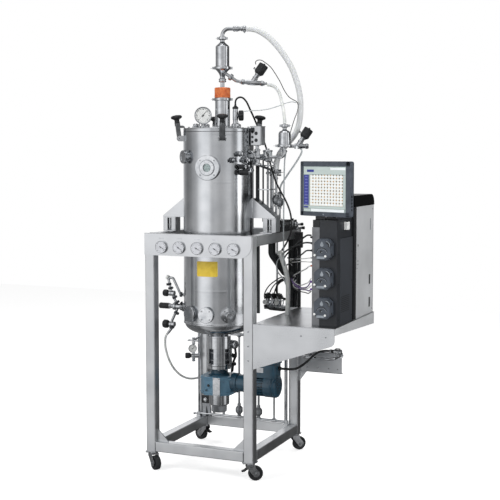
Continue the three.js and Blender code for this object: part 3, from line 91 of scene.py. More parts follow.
# A finish from noise sized in millimetres: tone is (sizes, detail), relief is (sizes, detail, depth, strength).
def newFinish(name, colours, roughness, tone, relief=None, **shader):
    material = emptied(bpy.data.materials.new(name))
    place, noises, links = addNode(material, "ShaderNodeTexCoord"), [], {}
    for sizes, detail in ((tone, relief[:2]) if relief else (tone,)):
        grid = addNode(material, "ShaderNodeMapping", {"Scale": [1000 / size for size in sizes]},
                {"Vector": place.outputs["Object"]})
        noise = addNode(material, "ShaderNodeTexNoise", {"Scale": 1.0, "Detail": detail,
                "Roughness": noiseSpan["roughness"]}, {"Vector": grid.outputs[0]})
        noises.append(noise.outputs["Fac"])
    if len(colours) == 2:
        ramp = addNode(material, "ShaderNodeValToRGB", links={"Fac": noises[0]})
        for element, position, colour in zip(ramp.color_ramp.elements, noiseSpan["tone"], colours):
            element.position, element.color = position, linear(colour)
        links["Base Color"] = ramp.outputs[0]
        if "Emission_Strength" in shader:
            links["Emission Color"] = ramp.outputs[0]
    gloss = noises[0]
    if shader.get("Metallic") == 1.0:  # steel: the grain and the clouds share in the gloss
        both = addNode(material, "ShaderNodeMath", {"operation": "ADD"}, {0: noises[1], 1: noises[0]})
        gloss = addNode(material, "ShaderNodeMath", {"operation": "MULTIPLY", 1: 0.5},
                {0: both.outputs[0]}).outputs[0]
    if len(roughness) == 2:
        low, high = noiseSpan["gloss"]
        spread = addNode(material, "ShaderNodeMapRange", {"From Min": low, "From Max": high,
                "To Min": roughness[0], "To Max": roughness[1]}, {"Value": gloss})
        links["Roughness"] = spread.outputs[0]
    if relief:
        bump = addNode(material, "ShaderNodeBump", {"Strength": relief[3], "Distance": relief[2] / 1000},
                {"Height": noises[1]})
        links["Normal"] = bump.outputs[0]
    surface = addNode(material, "ShaderNodeBsdfPrincipled", {"Base Color": linear(colours[-1]),
            "Roughness": roughness[0], **{key.replace("_", " "): value for key, value in shader.items()}},
            links)
    addNode(material, "ShaderNodeOutputMaterial", links={"Surface": surface.outputs[0]})
    return material


# Bare metal: grain is the size of the tool marks along each axis, cloud that of the slow patches, depth in mm.
def steelFinish(name, dark, light, smooth, rough, grain, cloud, depth):
    return newFinish(name, (dark, light), (smooth, rough), ((cloud,) * 3, 2.0), (grain, 3.0, depth, 0.5),
            Metallic=1.0)


# Paint, plastic and rubber: peel is the size of the skin's texture, patch that of its slow changes of tone.
def paintFinish(name, dark, light, roughness, peel, depth, patch=60, **shader):
    return newFinish(name, (dark, light), (roughness - 0.05, roughness + 0.07), ((patch,) * 3, 3.0),
            ((peel,) * 3, 1.0, depth, 0.35), **shader)


# Electropolished stainless plate: mirror-like, softened by the rolling, with broad slow clouds
electropolishedSteel = steelFinish("electropolished_steel", "#b8bbbe", "#d2d4d6", 0.13, 0.24, (30, 30, 2), 140,
        0.04)
# Bright polished sanitary fittings: turned and buffed, so nearly a mirror
buffedFitting = steelFinish("buffed_fitting", "#b4b7ba", "#d3d5d7", 0.08, 0.17, (3, 3, 3), 30, 0.02)
# Satin square tube: belt-ground along its length, so the light smears across it
groundTubeUpright = steelFinish("ground_tube_upright", "#c6c8ca", "#dcdedf", 0.28, 0.42, (1.2, 1.2, 60), 160,
        0.05)
groundTubeAcross = steelFinish("ground_tube_across", "#c6c8ca", "#dcdedf", 0.28, 0.42, (60, 1.2, 1.2), 160,
        0.05)
groundTubeDeep = steelFinish("ground_tube_deep", "#c6c8ca", "#dcdedf", 0.28, 0.42, (1.2, 60, 1.2), 160, 0.05)
# Folded stainless sheet with a fine horizontal brush, which draws its highlights out upright
brushedSheet = steelFinish("brushed_sheet", "#bfc1c3", "#d5d7d9", 0.28, 0.40, (80, 80, 1.0), 200, 0.03)
# Fine-ground sheet of the front panels: paler and smoother than the tube, its belt marks running across
groundSheet = steelFinish("fine_ground_sheet", "#c3c5c7", "#d7d9db", 0.24, 0.36, (60, 1.2, 1.2), 160, 0.04)
# Side strip of the tower: the same steel drawn much darker, a neutral mid grey
darkSteelStrip = steelFinish("dark_steel_strip", "#6c6d6f", "#86888b", 0.26, 0.40, (40, 40, 1.5), 60, 0.04)
# Investment-cast clamp bodies, tumbled: grey, grainy, soft highlights
tumbledCasting = steelFinish("tumbled_casting", "#8b8e91", "#a9acaf", 0.30, 0.46, (2.5, 2.5, 2.5), 25, 0.10)
# Zinc-plated pressings of the casters: cool grey with a soft, slightly clouded sheen
zincPlate = steelFinish("zinc_plate", "#a7a9ab", "#c6c8ca", 0.22, 0.36, (4, 4, 4), 30, 0.04)

# Blue machine enamel sprayed over castings: glossy, with an orange-peel skin
gearEnamel = paintFinish("gearbox_enamel", "#456b82", "#5c8299", 0.34, 5, 0.15, Coat_Weight=0.3,
        Coat_Roughness=0.15)
# The same blue enamel drawn much darker as painted shade, on the motor and the gearbox's neck and flange; a little
# glossier
shadedBlueEnamel = paintFinish("blue_enamel_painted_shade", "#143242", "#1f4558", 0.30, 5, 0.15, Coat_Weight=0.4,
        Coat_Roughness=0.15)
# Dark cast clamp and pump parts, blackened by heat and handling
darkCasting = steelFinish("blackened_casting", "#4a4c4f", "#63666a", 0.30, 0.46, (2.5, 2.5, 2.5), 25, 0.10)
# Dark powder coat of the pump tower: an even satin with a very fine texture
darkPowderCoat = paintFinish("dark_powder_coat", "#1d2024", "#292c31", 0.42, 2.5, 0.08)
# Bead-blasted aluminium wrap of the cabinet: pale and even, it hardly mirrors anything
blastedWrap = paintFinish("blasted_aluminium", "#c8cacc", "#dadcde", 0.46, 2.0, 0.05, patch=240, Metallic=0.3)
# Sand-cast steel of the swing clamps, sealed dark: rough, with broad dull highlights
clampCasting = steelFinish("sealed_sand_casting", "#6f7173", "#8b8e90", 0.36, 0.50, (2.5, 2.5, 2.5), 25, 0.14)
# Slate powder coat of the tower's cheek, a little glossier than its body
slatePowderCoat = paintFinish("slate_powder_coat", "#2c3035", "#3b3f45", 0.36, 2.5, 0.06, patch=260)
# Light powder coat of the cabinet: an even grey satin
greyPowderCoat = paintFinish("grey_powder_coat", "#8f9396", "#a4a8ab", 0.40, 2.5, 0.06, patch=220)
# Glass-filled nylon of knobs, pedals and caps: near black, slightly grainy from the mould
blackNylon = paintFinish("black_nylon", "#141517", "#232527", 0.46, 1.6, 0.10, patch=25)
# Slate ABS of the pump heads and the display shell: spark-eroded mould texture
slateAbs = paintFinish("slate_abs", "#3d434b", "#4d535c", 0.40, 1.8, 0.06, patch=40)
# Solid rubber tread: nearly black and quite dull, scuffed in small patches
treadRubber = paintFinish("tread_rubber", "#17181a", "#27292b", 0.68, 2.5, 0.20, patch=15)
# Cast silicone collar: orange, waxy, scuffed lighter where it is gripped
orangeSilicone = paintFinish("orange_silicone", "#b5562a", "#d97f4c", 0.48, 4, 0.25, patch=18,
        Subsurface_Weight=0.15, Subsurface_Radius=(0.004, 0.002, 0.001))
# Platinum-cured silicone hose: milky, light goes into the wall
milkySilicone = paintFinish("milky_silicone", "#c9cccb", "#e2e4e2", 0.30, 6, 0.10, patch=40,
        Subsurface_Weight=0.3, Subsurface_Radius=(0.006, 0.006, 0.005), Coat_Weight=0.2)
# Clear PVC tube for gas and pump lines, drawn a little bluer and greyer than the silicone
clearPvc = paintFinish("clear_pvc", "#b9c0c4", "#d5dadc", 0.18, 8, 0.03, patch=30, Coat_Weight=0.4,
        Transmission_Weight=0.35)
# Black jackets of cables and insulated lines
cableJacket = paintFinish("cable_jacket", "#121314", "#1e2021", 0.50, 3, 0.05, patch=20)
# Closed-cell insulation sleeve on the rear pipes: dull, soft and dark
foamSleeve = paintFinish("foam_sleeve", "#1d1f21", "#2c2f31", 0.72, 3, 0.40, patch=15)
# Soft PVC jackets of the bus cable and of the sensor leads: coloured through, with a dull sheen
purpleJacket = paintFinish("purple_jacket", "#5b3a86", "#77519f", 0.45, 3, 0.05, patch=20)
whiteJacket = paintFinish("white_jacket", "#dcdddc", "#f0f1ef", 0.42, 3, 0.05, patch=20)
# Moulded polyethylene protection cap: bright orange, its skin a little waxy
orangeCap = paintFinish("orange_cap", "#b9501c", "#d9672c", 0.42, 3, 0.05, patch=12)
# Vinyl patch on the vessel, without any print: flat warm yellow under a clear skin
yellowVinyl = paintFinish("yellow_vinyl", "#d6b52c", "#e8ca43", 0.36, 6, 0.02, patch=25, Coat_Weight=0.3)
# Baked dial enamel under a clear lacquer, white on the gauges and grey on the panel dials
dialEnamel = paintFinish("dial_enamel", "#d8dad9", "#e9eae8", 0.38, 8, 0.01, patch=20, Coat_Weight=0.6,
        Coat_Roughness=0.03)
dialGrey = paintFinish("dial_grey_enamel", "#bdbfc4", "#cfd1d6", 0.38, 8, 0.01, patch=20, Coat_Weight=0.6)
# Printed ticks and needles: flat, nearly black
dialInk = paintFinish("dial_ink", "#1d1f22", "#2b2d31", 0.50, 8, 0.01, patch=10)
# Light moulded ABS inlays of the pump heads: mid grey, evenly matt
pumpFace = paintFinish("pump_face_grey", "#7f868e", "#989fa6", 0.40, 4, 0.02, patch=15)
# Glossy moulded ABS of the cabinet's cap: black and piano-like, with a slow ripple from the mould
capGloss = paintFinish("gloss_black_abs", "#060708", "#0b0c0d", 0.30, 40, 0.10, patch=90,
        Specular_IOR_Level=0.02)

# Liquid crystal panel under glossy glass: each field glows a little in one printed colour, faintly ruled across
screens = {}
for name, colour, glow in (("glass", "#8f9c9c", 0.15), ("header", "#b4c0bd", 0.25), ("cream", "#ddd9cf", 0.30),
        ("blue", "#2c3582", 0.25), ("pale", "#dfe4e6", 0.30), ("amber", "#a5793f", 0.20),
        ("violet", "#5a5fa3", 0.25), ("text", "#39373b", 0.15)):
    darker = "#" + "".join("%02x" % int(int(colour[i:i + 2], 16) * 0.93) for i in (1, 3, 5))
    screens[name] = newFinish("lcd_" + name, (darker, colour), (0.22,), ((90, 90, 1.5), 1.0), Coat_Weight=0.5,
            Coat_Roughness=0.05, Emission_Strength=glow)

# Borosilicate disc of the sight glass: clear, with faint smears in the gloss
sightGlass = newFinish("borosilicate_glass", ("#dfe8e6",), (0.02, 0.06), ((18,) * 3, 2.0),
        Transmission_Weight=1.0, IOR=1.47)
print("materials made:", len(bpy.data.materials))


# A shape is a growing list of corners, faces, each face's material number and its texture corners.
def newShape():
    return {"corners": [], "faces": [], "slots": [], "uvs": []}


def addRings(shape, rings, slot=0, capped=True, lengths=None):
    first, count = len(shape["corners"]), len(rings[0])
    for ring in rings:
        shape["corners"].extend(ring)
    for k in range(len(rings) - 1):
        v0, v1 = (lengths[k], lengths[k + 1]) if lengths else (k, k + 1)
        a, b = first + k * count, first + (k + 1) * count
        for i in range(count):
            j = (i + 1) % count
            shape["faces"].append((a + i, a + j, b + j, b + i))
            shape["uvs"].append(((i / count, v0), ((i + 1) / count, v0), ((i + 1) / count, v1),
                    (i / count, v1)))
            shape["slots"].append(slot)
    for start, way in ((first, -1), (first + (len(rings) - 1) * count, 1)) if capped else ():
        shape["faces"].append(tuple(range(start, start + count))[::way])
        shape["uvs"].append(((0.5, 0.5),) * count)
        shape["slots"].append(slot)


def circle(centre, across, up, radius, count):
    turns = [2 * math.pi * i / count for i in range(count)]
    return [centre + (across * math.cos(a) + up * math.sin(a)) * radius for a in turns]


def basis(way):
    way = way.normalized()
    side = Vector((0, 0, 1)) if abs(way.z) < 0.9 else Vector((1, 0, 0))
    across = side.cross(way).normalized()
    return across, way.cross(across).normalized()


# Turned corners are never sharp: each is eased by a small arc, at most a third of its neighbours' length.
def easedProfile(profile, ease):
    points, made = [Vector(p) for p in profile], [Vector(profile[0])]
    for before, corner, after in zip(points, points[1:], points[2:]):
        a, b = before - corner, after - corner
        reach = min(ease, a.length / 3, b.length / 3)
        if reach < 0.05 or a.length < 1e-6 or b.length < 1e-6 or a.angle(b) > math.radians(155):
            made.append(corner)
            continue
        p, q = corner + a.normalized() * reach, corner + b.normalized() * reach
        made += [p, p.lerp(corner, 0.5).lerp(corner.lerp(q, 0.5), 0.5), q]
    return made + [points[-1]]


# A turned form: profile is (radius, distance along the way) pairs, from one end to the other.
def addTurned(shape, profile, start=(0, 0, 0), way=(0, 0, 1), count=40, slot=0, capped=True, ease=0.9):
    start, way = Vector(start), Vector(way).normalized()
    profile = easedProfile(profile, ease) if ease and len(profile) > 2 else profile
    across, up = basis(way)
    rings = [circle(start + way * distance, across, up, max(radius, 0.02), count) for radius,
            distance in profile]
    addRings(shape, rings, slot, capped)


# The same profile set higher: every distance in it is measured from a level.
def raised(level, profile):
    return [(radius, level + distance) for radius, distance in profile]


def addRod(shape, a, b, radius, count=24, slot=0):
    a, b = Vector(a), Vector(b)
    addTurned(shape, [(radius, 0), (radius, (b - a).length)], a, b - a, count, slot, ease=0)


# A round-edged disc or short bar, its rims eased by `ease` millimetres.
def addPuck(shape, a, b, radius, ease=1.0, count=32, slot=0):
    a, b = Vector(a), Vector(b)
    length = (b - a).length
    ease = min(ease, length * 0.45, radius * 0.45)
    steps = [(math.pi / 2) * k / 2 for k in range(3)]
    profile = [(radius - ease + ease * math.sin(t), ease - ease * math.cos(t)) for t in steps]
    profile += [(radius - ease + ease * math.cos(t), length - ease + ease * math.sin(t)) for t in steps]
    addTurned(shape, profile, a, b - a, count, slot, ease=0)


# Hexagon nut on an axis, its corners turned off as a real nut's are.
def addNut(shape, a, b, acrossFlats, slot=0):
    a, b = Vector(a), Vector(b)
    length, corner = (b - a).length, acrossFlats / math.sqrt(3)
    ease = min(length * 0.2, acrossFlats * 0.07)
    addTurned(shape, [(corner - ease, 0), (corner, ease), (corner, length - ease), (corner - ease, length)], a,
            b - a, 6, slot, ease=0)


def catmullRom(points, spacing):
    # centripetal, as the routes were drawn, sampled evenly
    points = [Vector(p) for p in points]
    ends = [points[0] * 2 - points[1]] + points + [points[-1] * 2 - points[-2]]
    dense = []
    for k in range(len(points) - 1):
        p0, p1, p2, p3 = ends[k:k + 4]
        d0, d1, d2 = ((p1 - p0).length ** 0.5, (p2 - p1).length ** 0.5, (p3 - p2).length ** 0.5)
        m1 = ((p1 - p0) / d0 - (p2 - p0) / (d0 + d1) + (p2 - p1) / d1) * d1
        m2 = ((p2 - p1) / d1 - (p3 - p1) / (d1 + d2) + (p3 - p2) / d2) * d1
        for i in range(24):
            t = i / 24
            dense.append(p1 * (2 * t ** 3 - 3 * t * t + 1) + m1 * (t ** 3 - 2 * t * t + t) + p2
                    * (3 * t * t - 2 * t ** 3) + m2 * (t ** 3 - t * t))
    dense.append(points[-1])
    total = sum((b - a).length for a, b in zip(dense, dense[1:]))
    wanted, walked, path = total / max(2, round(total / spacing)), 0.0, [dense[0]]
    for a, b in zip(dense, dense[1:]):
        step = (b - a).length
        while walked + step >= wanted * len(path) - 1e-9 and len(path) * wanted < total - 1e-6:
            path.append(a.lerp(b, (wanted * len(path) - walked) / step))
        walked += step
    return path + [dense[-1]]


# Straight runs with a true arc of the bend radius at each corner.
def bentPath(corners, bend, steps=8):
    corners = [Vector(c) for c in corners]
    path = [corners[0]]
    for before, corner, after in zip(corners, corners[1:], corners[2:]):
        a, b = (before - corner).normalized(), (after - corner).normalized()
        half = a.angle(b) / 2
        if half > math.radians(88):
            continue
        reach = min(bend / math.tan(half), (before - corner).length * (0.98 if before is corners[0] else 0.49),
                (after - corner).length * (0.98 if after is corners[-1] else 0.49))
        radius = reach * math.tan(half)
        centre = corner + (a + b).normalized() * (radius / math.sin(half))
        start, end = corner + a * reach - centre, corner + b * reach - centre
        for k in range(steps + 1):
            t = k / steps
            path.append(centre + start.slerp(end, t).normalized() * radius if start.length > 1e-6 else corner)
    return path + [corners[-1]]


def addTube(shape, path, radius, count=16, slot=0):
    path = [Vector(p) for p in path]
    ways = [(path[min(i + 1, len(path) - 1)] - path[max(i - 1, 0)]).normalized() for i in range(len(path))]
    across, up = basis(ways[0])
    rings, lengths, walked = [], [], 0.0
    for i, (point, way) in enumerate(zip(path, ways)):
        if i:
            walked += (path[i] - path[i - 1]).length
            across = (across - way * across.dot(way)).normalized()
            up = way.cross(across).normalized()
        rings.append(circle(point, across, up, radius, count))
        lengths.append(walked / 1000)
    addRings(shape, rings, slot, lengths=lengths)


def arcPoints(cx, cy, radius, start, end, steps):
    return [(cx + radius * math.cos(math.radians(start + (end - start) * k / steps)),
            cy + radius * math.sin(math.radians(start + (end - start) * k / steps))) for k in range(steps + 1)]


def roundedOutline(x0, x1, y0, y1, radius, steps=5):
    return (arcPoints(x1 - radius, y1 - radius, radius, 0, 90, steps) + arcPoints(x0 + radius, y1 - radius,
            radius, 90, 180, steps) + arcPoints(x0 + radius, y0 + radius, radius, 180, 270,
            steps) + arcPoints(x1 - radius, y0 + radius, radius, 270, 360, steps))


planes = {
    "XY": (Vector((1, 0, 0)), Vector((0, 1, 0)), Vector((0, 0, 1))),
    "XZ": (Vector((1, 0, 0)), Vector((0, 0, 1)), Vector((0, -1, 0))),
    "YZ": (Vector((0, 1, 0)), Vector((0, 0, 1)), Vector((1, 0, 0))),
}


# An outline in a plane, pulled along the plane's normal. XZ pulls towards the front, so its depths are -Y.
def addPrism(shape, outline, plane, low, high, slot=0, ease=0.0):
    u, v, n = planes[plane]
    area = sum(a[0] * b[1] - b[0] * a[1] for a, b in zip(outline, outline[1:] + outline[:1]))
    if area < 0:
        outline = outline[::-1]

    def ring(depth, inset):
        middle = (sum(p[0] for p in outline) / len(outline), sum(p[1] for p in outline) / len(outline))
        made = []
        for p in outline:
            out = Vector((p[0] - middle[0], p[1] - middle[1]))
            pull = 1 - inset / max(out.length, 0.01)
            made.append(u * (middle[0] + out.x * pull) + v * (middle[1] + out.y * pull) + n * depth)
        return made
    if ease:
        rings = [ring(low, ease), ring(low + ease * 0.3, ease * 0.3), ring(low + ease, 0), ring(high - ease, 0),
                ring(high - ease * 0.3, ease * 0.3), ring(high, ease)]
    else:
        rings = [ring(low, 0), ring(high, 0)]
    addRings(shape, rings, slot)


def addBox(shape, x0, x1, y0, y1, z0, z1, slot=0, radius=0.0):
    if radius:
        addPrism(shape, roundedOutline(x0, x1, y0, y1, radius, 4), "XY", z0, z1, slot, min(radius, 1.5))
    else:
        addPrism(shape, [(x0, y0), (x1, y0), (x1, y1), (x0, y1)], "XY", z0, z1, slot)


def moved(shape, matrix):
    shape["corners"] = [matrix @ Vector(c) for c in shape["corners"]]
    return shape


def addShape(shape, other, matrix=None):
    first = len(shape["corners"])
    shape["corners"].extend(matrix @ Vector(c) if matrix else c for c in other["corners"])
    shape["faces"].extend(tuple(first + i for i in face) for face in other["faces"])
    shape["slots"].extend(other["slots"])
    shape["uvs"].extend(other["uvs"])


# Sets a small part in place: its +X looks out, its +Z is as near up as it can be.
def setPart(shape, part, origin, out, up=(0, 0, 1), scale=None):
    place = facing(origin, out, up)
    addShape(shape, part, place @ Matrix.Scale(scale, 4) if scale else place)


def turnZ(degrees, x=0, y=0, z=0):
    return Matrix.Translation((x, y, z)) @ Matrix.Rotation(math.radians(degrees), 4, "Z")


# A place whose local +X looks out and whose local +Z is as near up as it can be.
def facing(origin, out, up=(0, 0, 1)):
    x = Vector(out).normalized()
    z = (Vector(up) - x * x.dot(Vector(up))).normalized()
    y = z.cross(x)
    return Matrix(((x.x, y.x, z.x, origin[0]), (x.y, y.y, z.y, origin[1]), (x.z, y.z, z.z, origin[2]),
            (0, 0, 0, 1)))


# Makes the object: corners in millimetres from the vessel axis, standing for CAD nodes and riding on a body. A piece
# that rides on a body of its own stands for the node of that name.
def finishPiece(shape, name, materials, body="skid", replaces=(), sharp=38):
    mesh = bpy.data.meshes.new(name)
    mesh.from_pydata([mm(*c) for c in shape["corners"]], [], shape["faces"])
    layer = mesh.uv_layers.new(name="along")
    for polygon, uvs, slot in zip(mesh.polygons, shape["uvs"], shape["slots"]):
        polygon.material_index = slot
        for loop, uv in zip(polygon.loop_indices, uvs):
            layer.data[loop].uv = uv
    for material in (materials if isinstance(materials, (list, tuple)) else [materials]):
        mesh.materials.append(material)
    piece = bpy.data.objects.new(name, mesh)
    scene.collection.objects.link(piece)
    mesh.shade_smooth()
    mesh.set_sharp_from_angle(angle=math.radians(sharp))
    faced = piece.modifiers.new("large_faces_rule_the_shading", "WEIGHTED_NORMAL")
    faced.keep_sharp = True
    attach(piece, body)
    if body != "skid":
        replaces = body
    if replaces:
        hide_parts(replaces)
    return piece


# Small parts that repeat are drawn along their own +X and set in place by setPart. The first is a bolt head on its
# washer, with the stud's end if it has one.
def hexBolt(acrossFlats, height, slot=0, stud=0.0):
    shape = newShape()
    addPuck(shape, (0, 0, 0), (acrossFlats * 0.12, 0, 0), acrossFlats * 0.62, 0.4, 24, slot)
    addNut(shape, (acrossFlats * 0.12, 0, 0), (height, 0, 0), acrossFlats, slot)
    if stud:
        addPuck(shape, (height, 0, 0), (height + stud, 0, 0), acrossFlats * 0.3, 0.5, 16, slot)
    return shape


def socketScrew(width, height, slot=0, darkSlot=0):
    shape, r = newShape(), width / 2
    addTurned(shape, [(r, 0), (r, height), (r * 0.55, height), (r * 0.5, height - 1.4)], (0, 0, 0), (1, 0, 0),
            20, slot, ease=0.5)
    addPuck(shape, (height - 2.0, 0, 0), (height - 1.4, 0, 0), r * 0.5, 0.1, 6, darkSlot)
    return shape


# Wing nut of a sanitary clamp: hub, bolt end and two flat ears
def wingNut(size, slot=0):
    shape = newShape()
    addPuck(shape, (-size * 1.3, 0, 0), (size * 1.15, 0, 0), size * 0.27, 0.5, 14, slot)
    addTurned(shape, [(size * 0.6, 0), (size * 0.5, size * 0.6), (size * 0.36, size * 0.9)], (0, 0, 0),
            (1, 0, 0), 20, slot)
    for side in (-1, 1):
        ear = [(0.1, 0.3), (0.55, 0.45), (1.05, 1.15), (1.0, 1.75), (0.55, 2.0), (0.2, 1.5)]
        outline = [(x * size, side * z * size) for x, z in ear]
        addPrism(shape, outline, "XZ", -size * 0.16, size * 0.16, slot, size * 0.1)
    return shape


# Two-piece clamp ring round a pair of ferrules; drawn about its own +Z, the wing nut on +X
def clampRing(radius, slot=0, wing=7.0):
    shape = newShape()
    addTurned(shape, [(radius - 6, -6.5), (radius - 1.5, -7.5), (radius, -4.5), (radius, 4.5),
            (radius - 1.5, 7.5), (radius - 6, 6.5)], count=40, slot=slot)
    for side in (1, -1):
        for half in (-1, 1):
            addPrism(shape, [(side * (radius - 3), half * 2.2), (side * (radius + 8), half * 2.2),
                    (side * (radius + 8), half * 7.5), (side * (radius - 3), half * 9)], "XY", -6, 6, slot, 1.0)
    addPuck(shape, (radius + 4, -13, 0), (radius + 4, 13, 0), 3, 0.6, 14, slot)
    addPuck(shape, (-radius - 4, -9, 0), (-radius - 4, 9, 0), 2.6, 0.6, 14, slot)
    setPart(shape, wingNut(wing, slot), (radius + 4, -10, 0), (0, -1, 0), (1, 0, 0))
    return shape


# Round instrument facing its own +X. Slots: 0 case, 1 dial, 2 ink
def dialGauge(radius, depth, ring, sweep=270, marks=25, needle=40, case=0, dial=1, ink=2):
    shape, face = newShape(), depth - ring * 0.62
    inner = radius - ring
    addTurned(shape, [(radius * 0.5, 0), (radius - 1, 0), (radius, 1.5), (radius, depth - 1.5),
            (radius - 1.2, depth), (inner + 0.6, depth - 0.6), (inner, face)], (0, 0, 0), (1, 0, 0), 64, case)
    addTurned(shape, [(inner + 0.2, face - 0.5), (inner + 0.2, face + 0.01), (0.1, face)], (0, 0, 0), (1, 0, 0),
            64, dial, ease=0)
    for k in range(marks):
        major = k % 4 == 0
        angle = math.radians(-sweep / 2 + sweep * k / (marks - 1))
        mark, wide = newShape(), inner * (0.035 if major else 0.018)
        addPrism(mark, [(-wide, inner * (0.74 if major else 0.82)), (wide, inner * (0.74 if major else 0.82)),
                (wide, inner * 0.92), (-wide, inner * 0.92)], "YZ", face, face + 0.25, ink)
        addShape(shape, mark, Matrix.Rotation(angle, 4, "X"))
    pointer = newShape()
    addPrism(pointer, [(-inner * 0.05, -inner * 0.28), (inner * 0.05, -inner * 0.28),
            (inner * 0.014, inner * 0.78), (-inner * 0.014, inner * 0.78)], "YZ", face + 0.8, face + 1.4, ink)
    addPuck(pointer, (face, 0, 0), (face + 1.9, 0, 0), inner * 0.1, 0.3, 20, ink)
    addShape(shape, pointer, Matrix.Rotation(math.radians(needle), 4, "X"))
    return shape


# The same screw or bolt all round a flange; first is the angle of the first one, in degrees.
def setRing(shape, part, centre, out, radius, count, first):
    for k in range(count):
        turned = facing(centre, out) @ Matrix.Rotation(math.radians(first + 360 / count * k), 4, "X")
        addShape(shape, part, turned @ Matrix.Translation((0, 0, radius)))


# Moulded grip along its own +X, with shallow flutes round its rim
def flutedGrip(profile, flutes=12, depth=0.06, count=72, slot=0):
    shape = newShape()
    addTurned(shape, profile, (0, 0, 0), (1, 0, 0), count, slot, ease=1.2)
    widest = max(p[0] for p in profile)
    for k, corner in enumerate(shape["corners"]):
        angle, r = math.atan2(corner.z, corner.y), math.hypot(corner.y, corner.z)
        wave = 1 - depth * (0.5 - 0.5 * math.cos(flutes * angle)) * (r / widest) ** 3
        shape["corners"][k] = Vector((corner.x, corner.y * wave, corner.z * wave))
    return shape


# The camera: a long lens standing to the right of the front. Place, lens and film in mm, angles in degrees, far in m.
view = {"place": (2326.2, -5001.0, 1584.8), "turn": 23.3, "down": 4.98, "lens": 78.4, "film": 36, "far": 60}
camera = bpy.data.objects.new("camera", bpy.data.cameras.new("camera"))
scene.collection.objects.link(camera)
camera.data.sensor_width, camera.data.lens, camera.data.clip_end = view["film"], view["lens"], view["far"]
camera.location = mm(*view["place"])
camera.rotation_euler = (math.radians(90 - view["down"]), 0, math.radians(view["turn"]))
scene.camera = camera

# Hoses and cables that hang free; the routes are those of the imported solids.
lateral = Vector((0.918, 0.396, 0))  # the way in which the head's pipework spreads out

exhaustRoute = [
    (129.5, 52.3, 2213.9), (148, 60.3, 2213.9), (174, 71.5, 2208), (203, 84, 2193), (234, 97.3, 2169),
    (264, 110, 2137), (291, 122, 2101), (316, 132.5, 2062), (338, 142, 2020), (355, 149, 1974), (368, 154.7, 1928),
    (377, 158.6, 1881), (379.8, 160, 1834), (378.7, 159.6, 1785), (371.3, 156.4, 1735), (354.8, 149.3, 1690),
    (328.2, 137.8, 1652), (300.7, 125.9, 1619), (280.5, 117.2, 1584), (271, 113.1, 1552), (268, 112, 1526),
    (268, 112, 1512.6)]
inletRoute = [
    (229.5, 84.9, 1936), (240, 89.4, 1935), (251, 93.6, 1932.5), (262, 97, 1927), (272, 99, 1918.5), (281, 99.5, 1907),
    (290, 98, 1892), (297, 95.6, 1875), (304, 92, 1856), (311, 87.5, 1834), (318, 81.5, 1812), (324, 75, 1791),
    (329, 68, 1773), (332.4, 63.1, 1758), (333, 62, 1748), (333, 62, 1741.4)]
electrodeRoute = [
    (84, 20, 1837.6), (84, 20, 1847), (85.8, 21.7, 1858.4), (90.9, 26.6, 1867.7), (98.5, 33.8, 1873.1),
    (106.9, 41.9, 1873.6), (114.8, 49.3, 1869.1), (121.1, 55.6, 1861), (127.6, 63.5, 1849), (137, 84, 1814),
    (147, 112, 1771), (160, 139, 1718), (183, 150, 1660), (211, 133, 1602), (238, 102, 1550), (262, 80, 1500),
    (283, 74, 1448), (306, 78, 1404), (332, 81, 1358), (357, 77, 1302), (367, 73, 1246), (357, 82, 1190),
    (328, 103, 1142), (294, 130, 1104), (262, 158, 1070)]
motorCableRoute = [
    (340.4, 8, 518.4), (350, 8, 518.4), (362.9, 9.7, 518), (375, 14.7, 517.3), (385.4, 22.6, 516.5),
    (393.3, 33, 515.7), (398.3, 45.1, 515.2), (400.6, 60, 515), (404.3, 94, 516.4), (408.5, 131, 521),
    (412.8, 170, 528.5), (417, 208, 538), (421.2, 246, 548.5), (425, 281, 555.5), (431.7, 306, 559.6),
    (439.6, 318.4, 561.5), (450, 326.3, 562.9), (462, 331.2, 563.7), (473, 332.9, 564), (482.1, 333, 564)]
sampleRoute = [
    (-282.4, -20, 664.6), (-288.4, -20, 657.7), (-294.2, -20, 649), (-299.3, -19.3, 637), (-303.2, -16, 618),
    (-305.4, -7, 582), (-304.6, 14, 536), (-301.6, 46, 488), (-297.6, 88, 446), (-293.8, 138, 412),
    (-290.6, 190, 388), (-288, 240, 373), (-286, 284, 365), (-284, 318, 361.6), (-282.5, 336, 361)]

# Reinforced silicone of the large exhaust hose: milky and waxy, its spiral showing as faint raised turns
spiral = {"pitch": 7, "relief": 0.2, "strength": 0.2, "colours": ("#d3d5d6", "#dfe1e2")}
reinforcedSilicone = emptied(bpy.data.materials.new("reinforced_silicone"))
along = addNode(reinforcedSilicone, "ShaderNodeUVMap", {"uv_map": "along"})
parts = addNode(reinforcedSilicone, "ShaderNodeSeparateXYZ", links={0: along.outputs[0]})
turns = addNode(reinforcedSilicone, "ShaderNodeMath", {"operation": "MULTIPLY", 1: 1000 / spiral["pitch"]},
        {0: parts.outputs[1]})
slope = addNode(reinforcedSilicone, "ShaderNodeMath", {"operation": "ADD"},
        {0: turns.outputs[0], 1: parts.outputs[0]})
wave = addNode(reinforcedSilicone, "ShaderNodeMath", {"operation": "PINGPONG", 1: 0.5}, {0: slope.outputs[0]})
ramp = addNode(reinforcedSilicone, "ShaderNodeValToRGB", links={"Fac": wave.outputs[0]})
for element, position, colour in zip(ramp.color_ramp.elements, noiseSpan["tone"], spiral["colours"]):
    element.position, element.color = position, linear(colour)
ridge = addNode(reinforcedSilicone, "ShaderNodeBump", {"Strength": spiral["strength"],
        "Distance": spiral["relief"] / 1000}, {"Height": wave.outputs[0]})
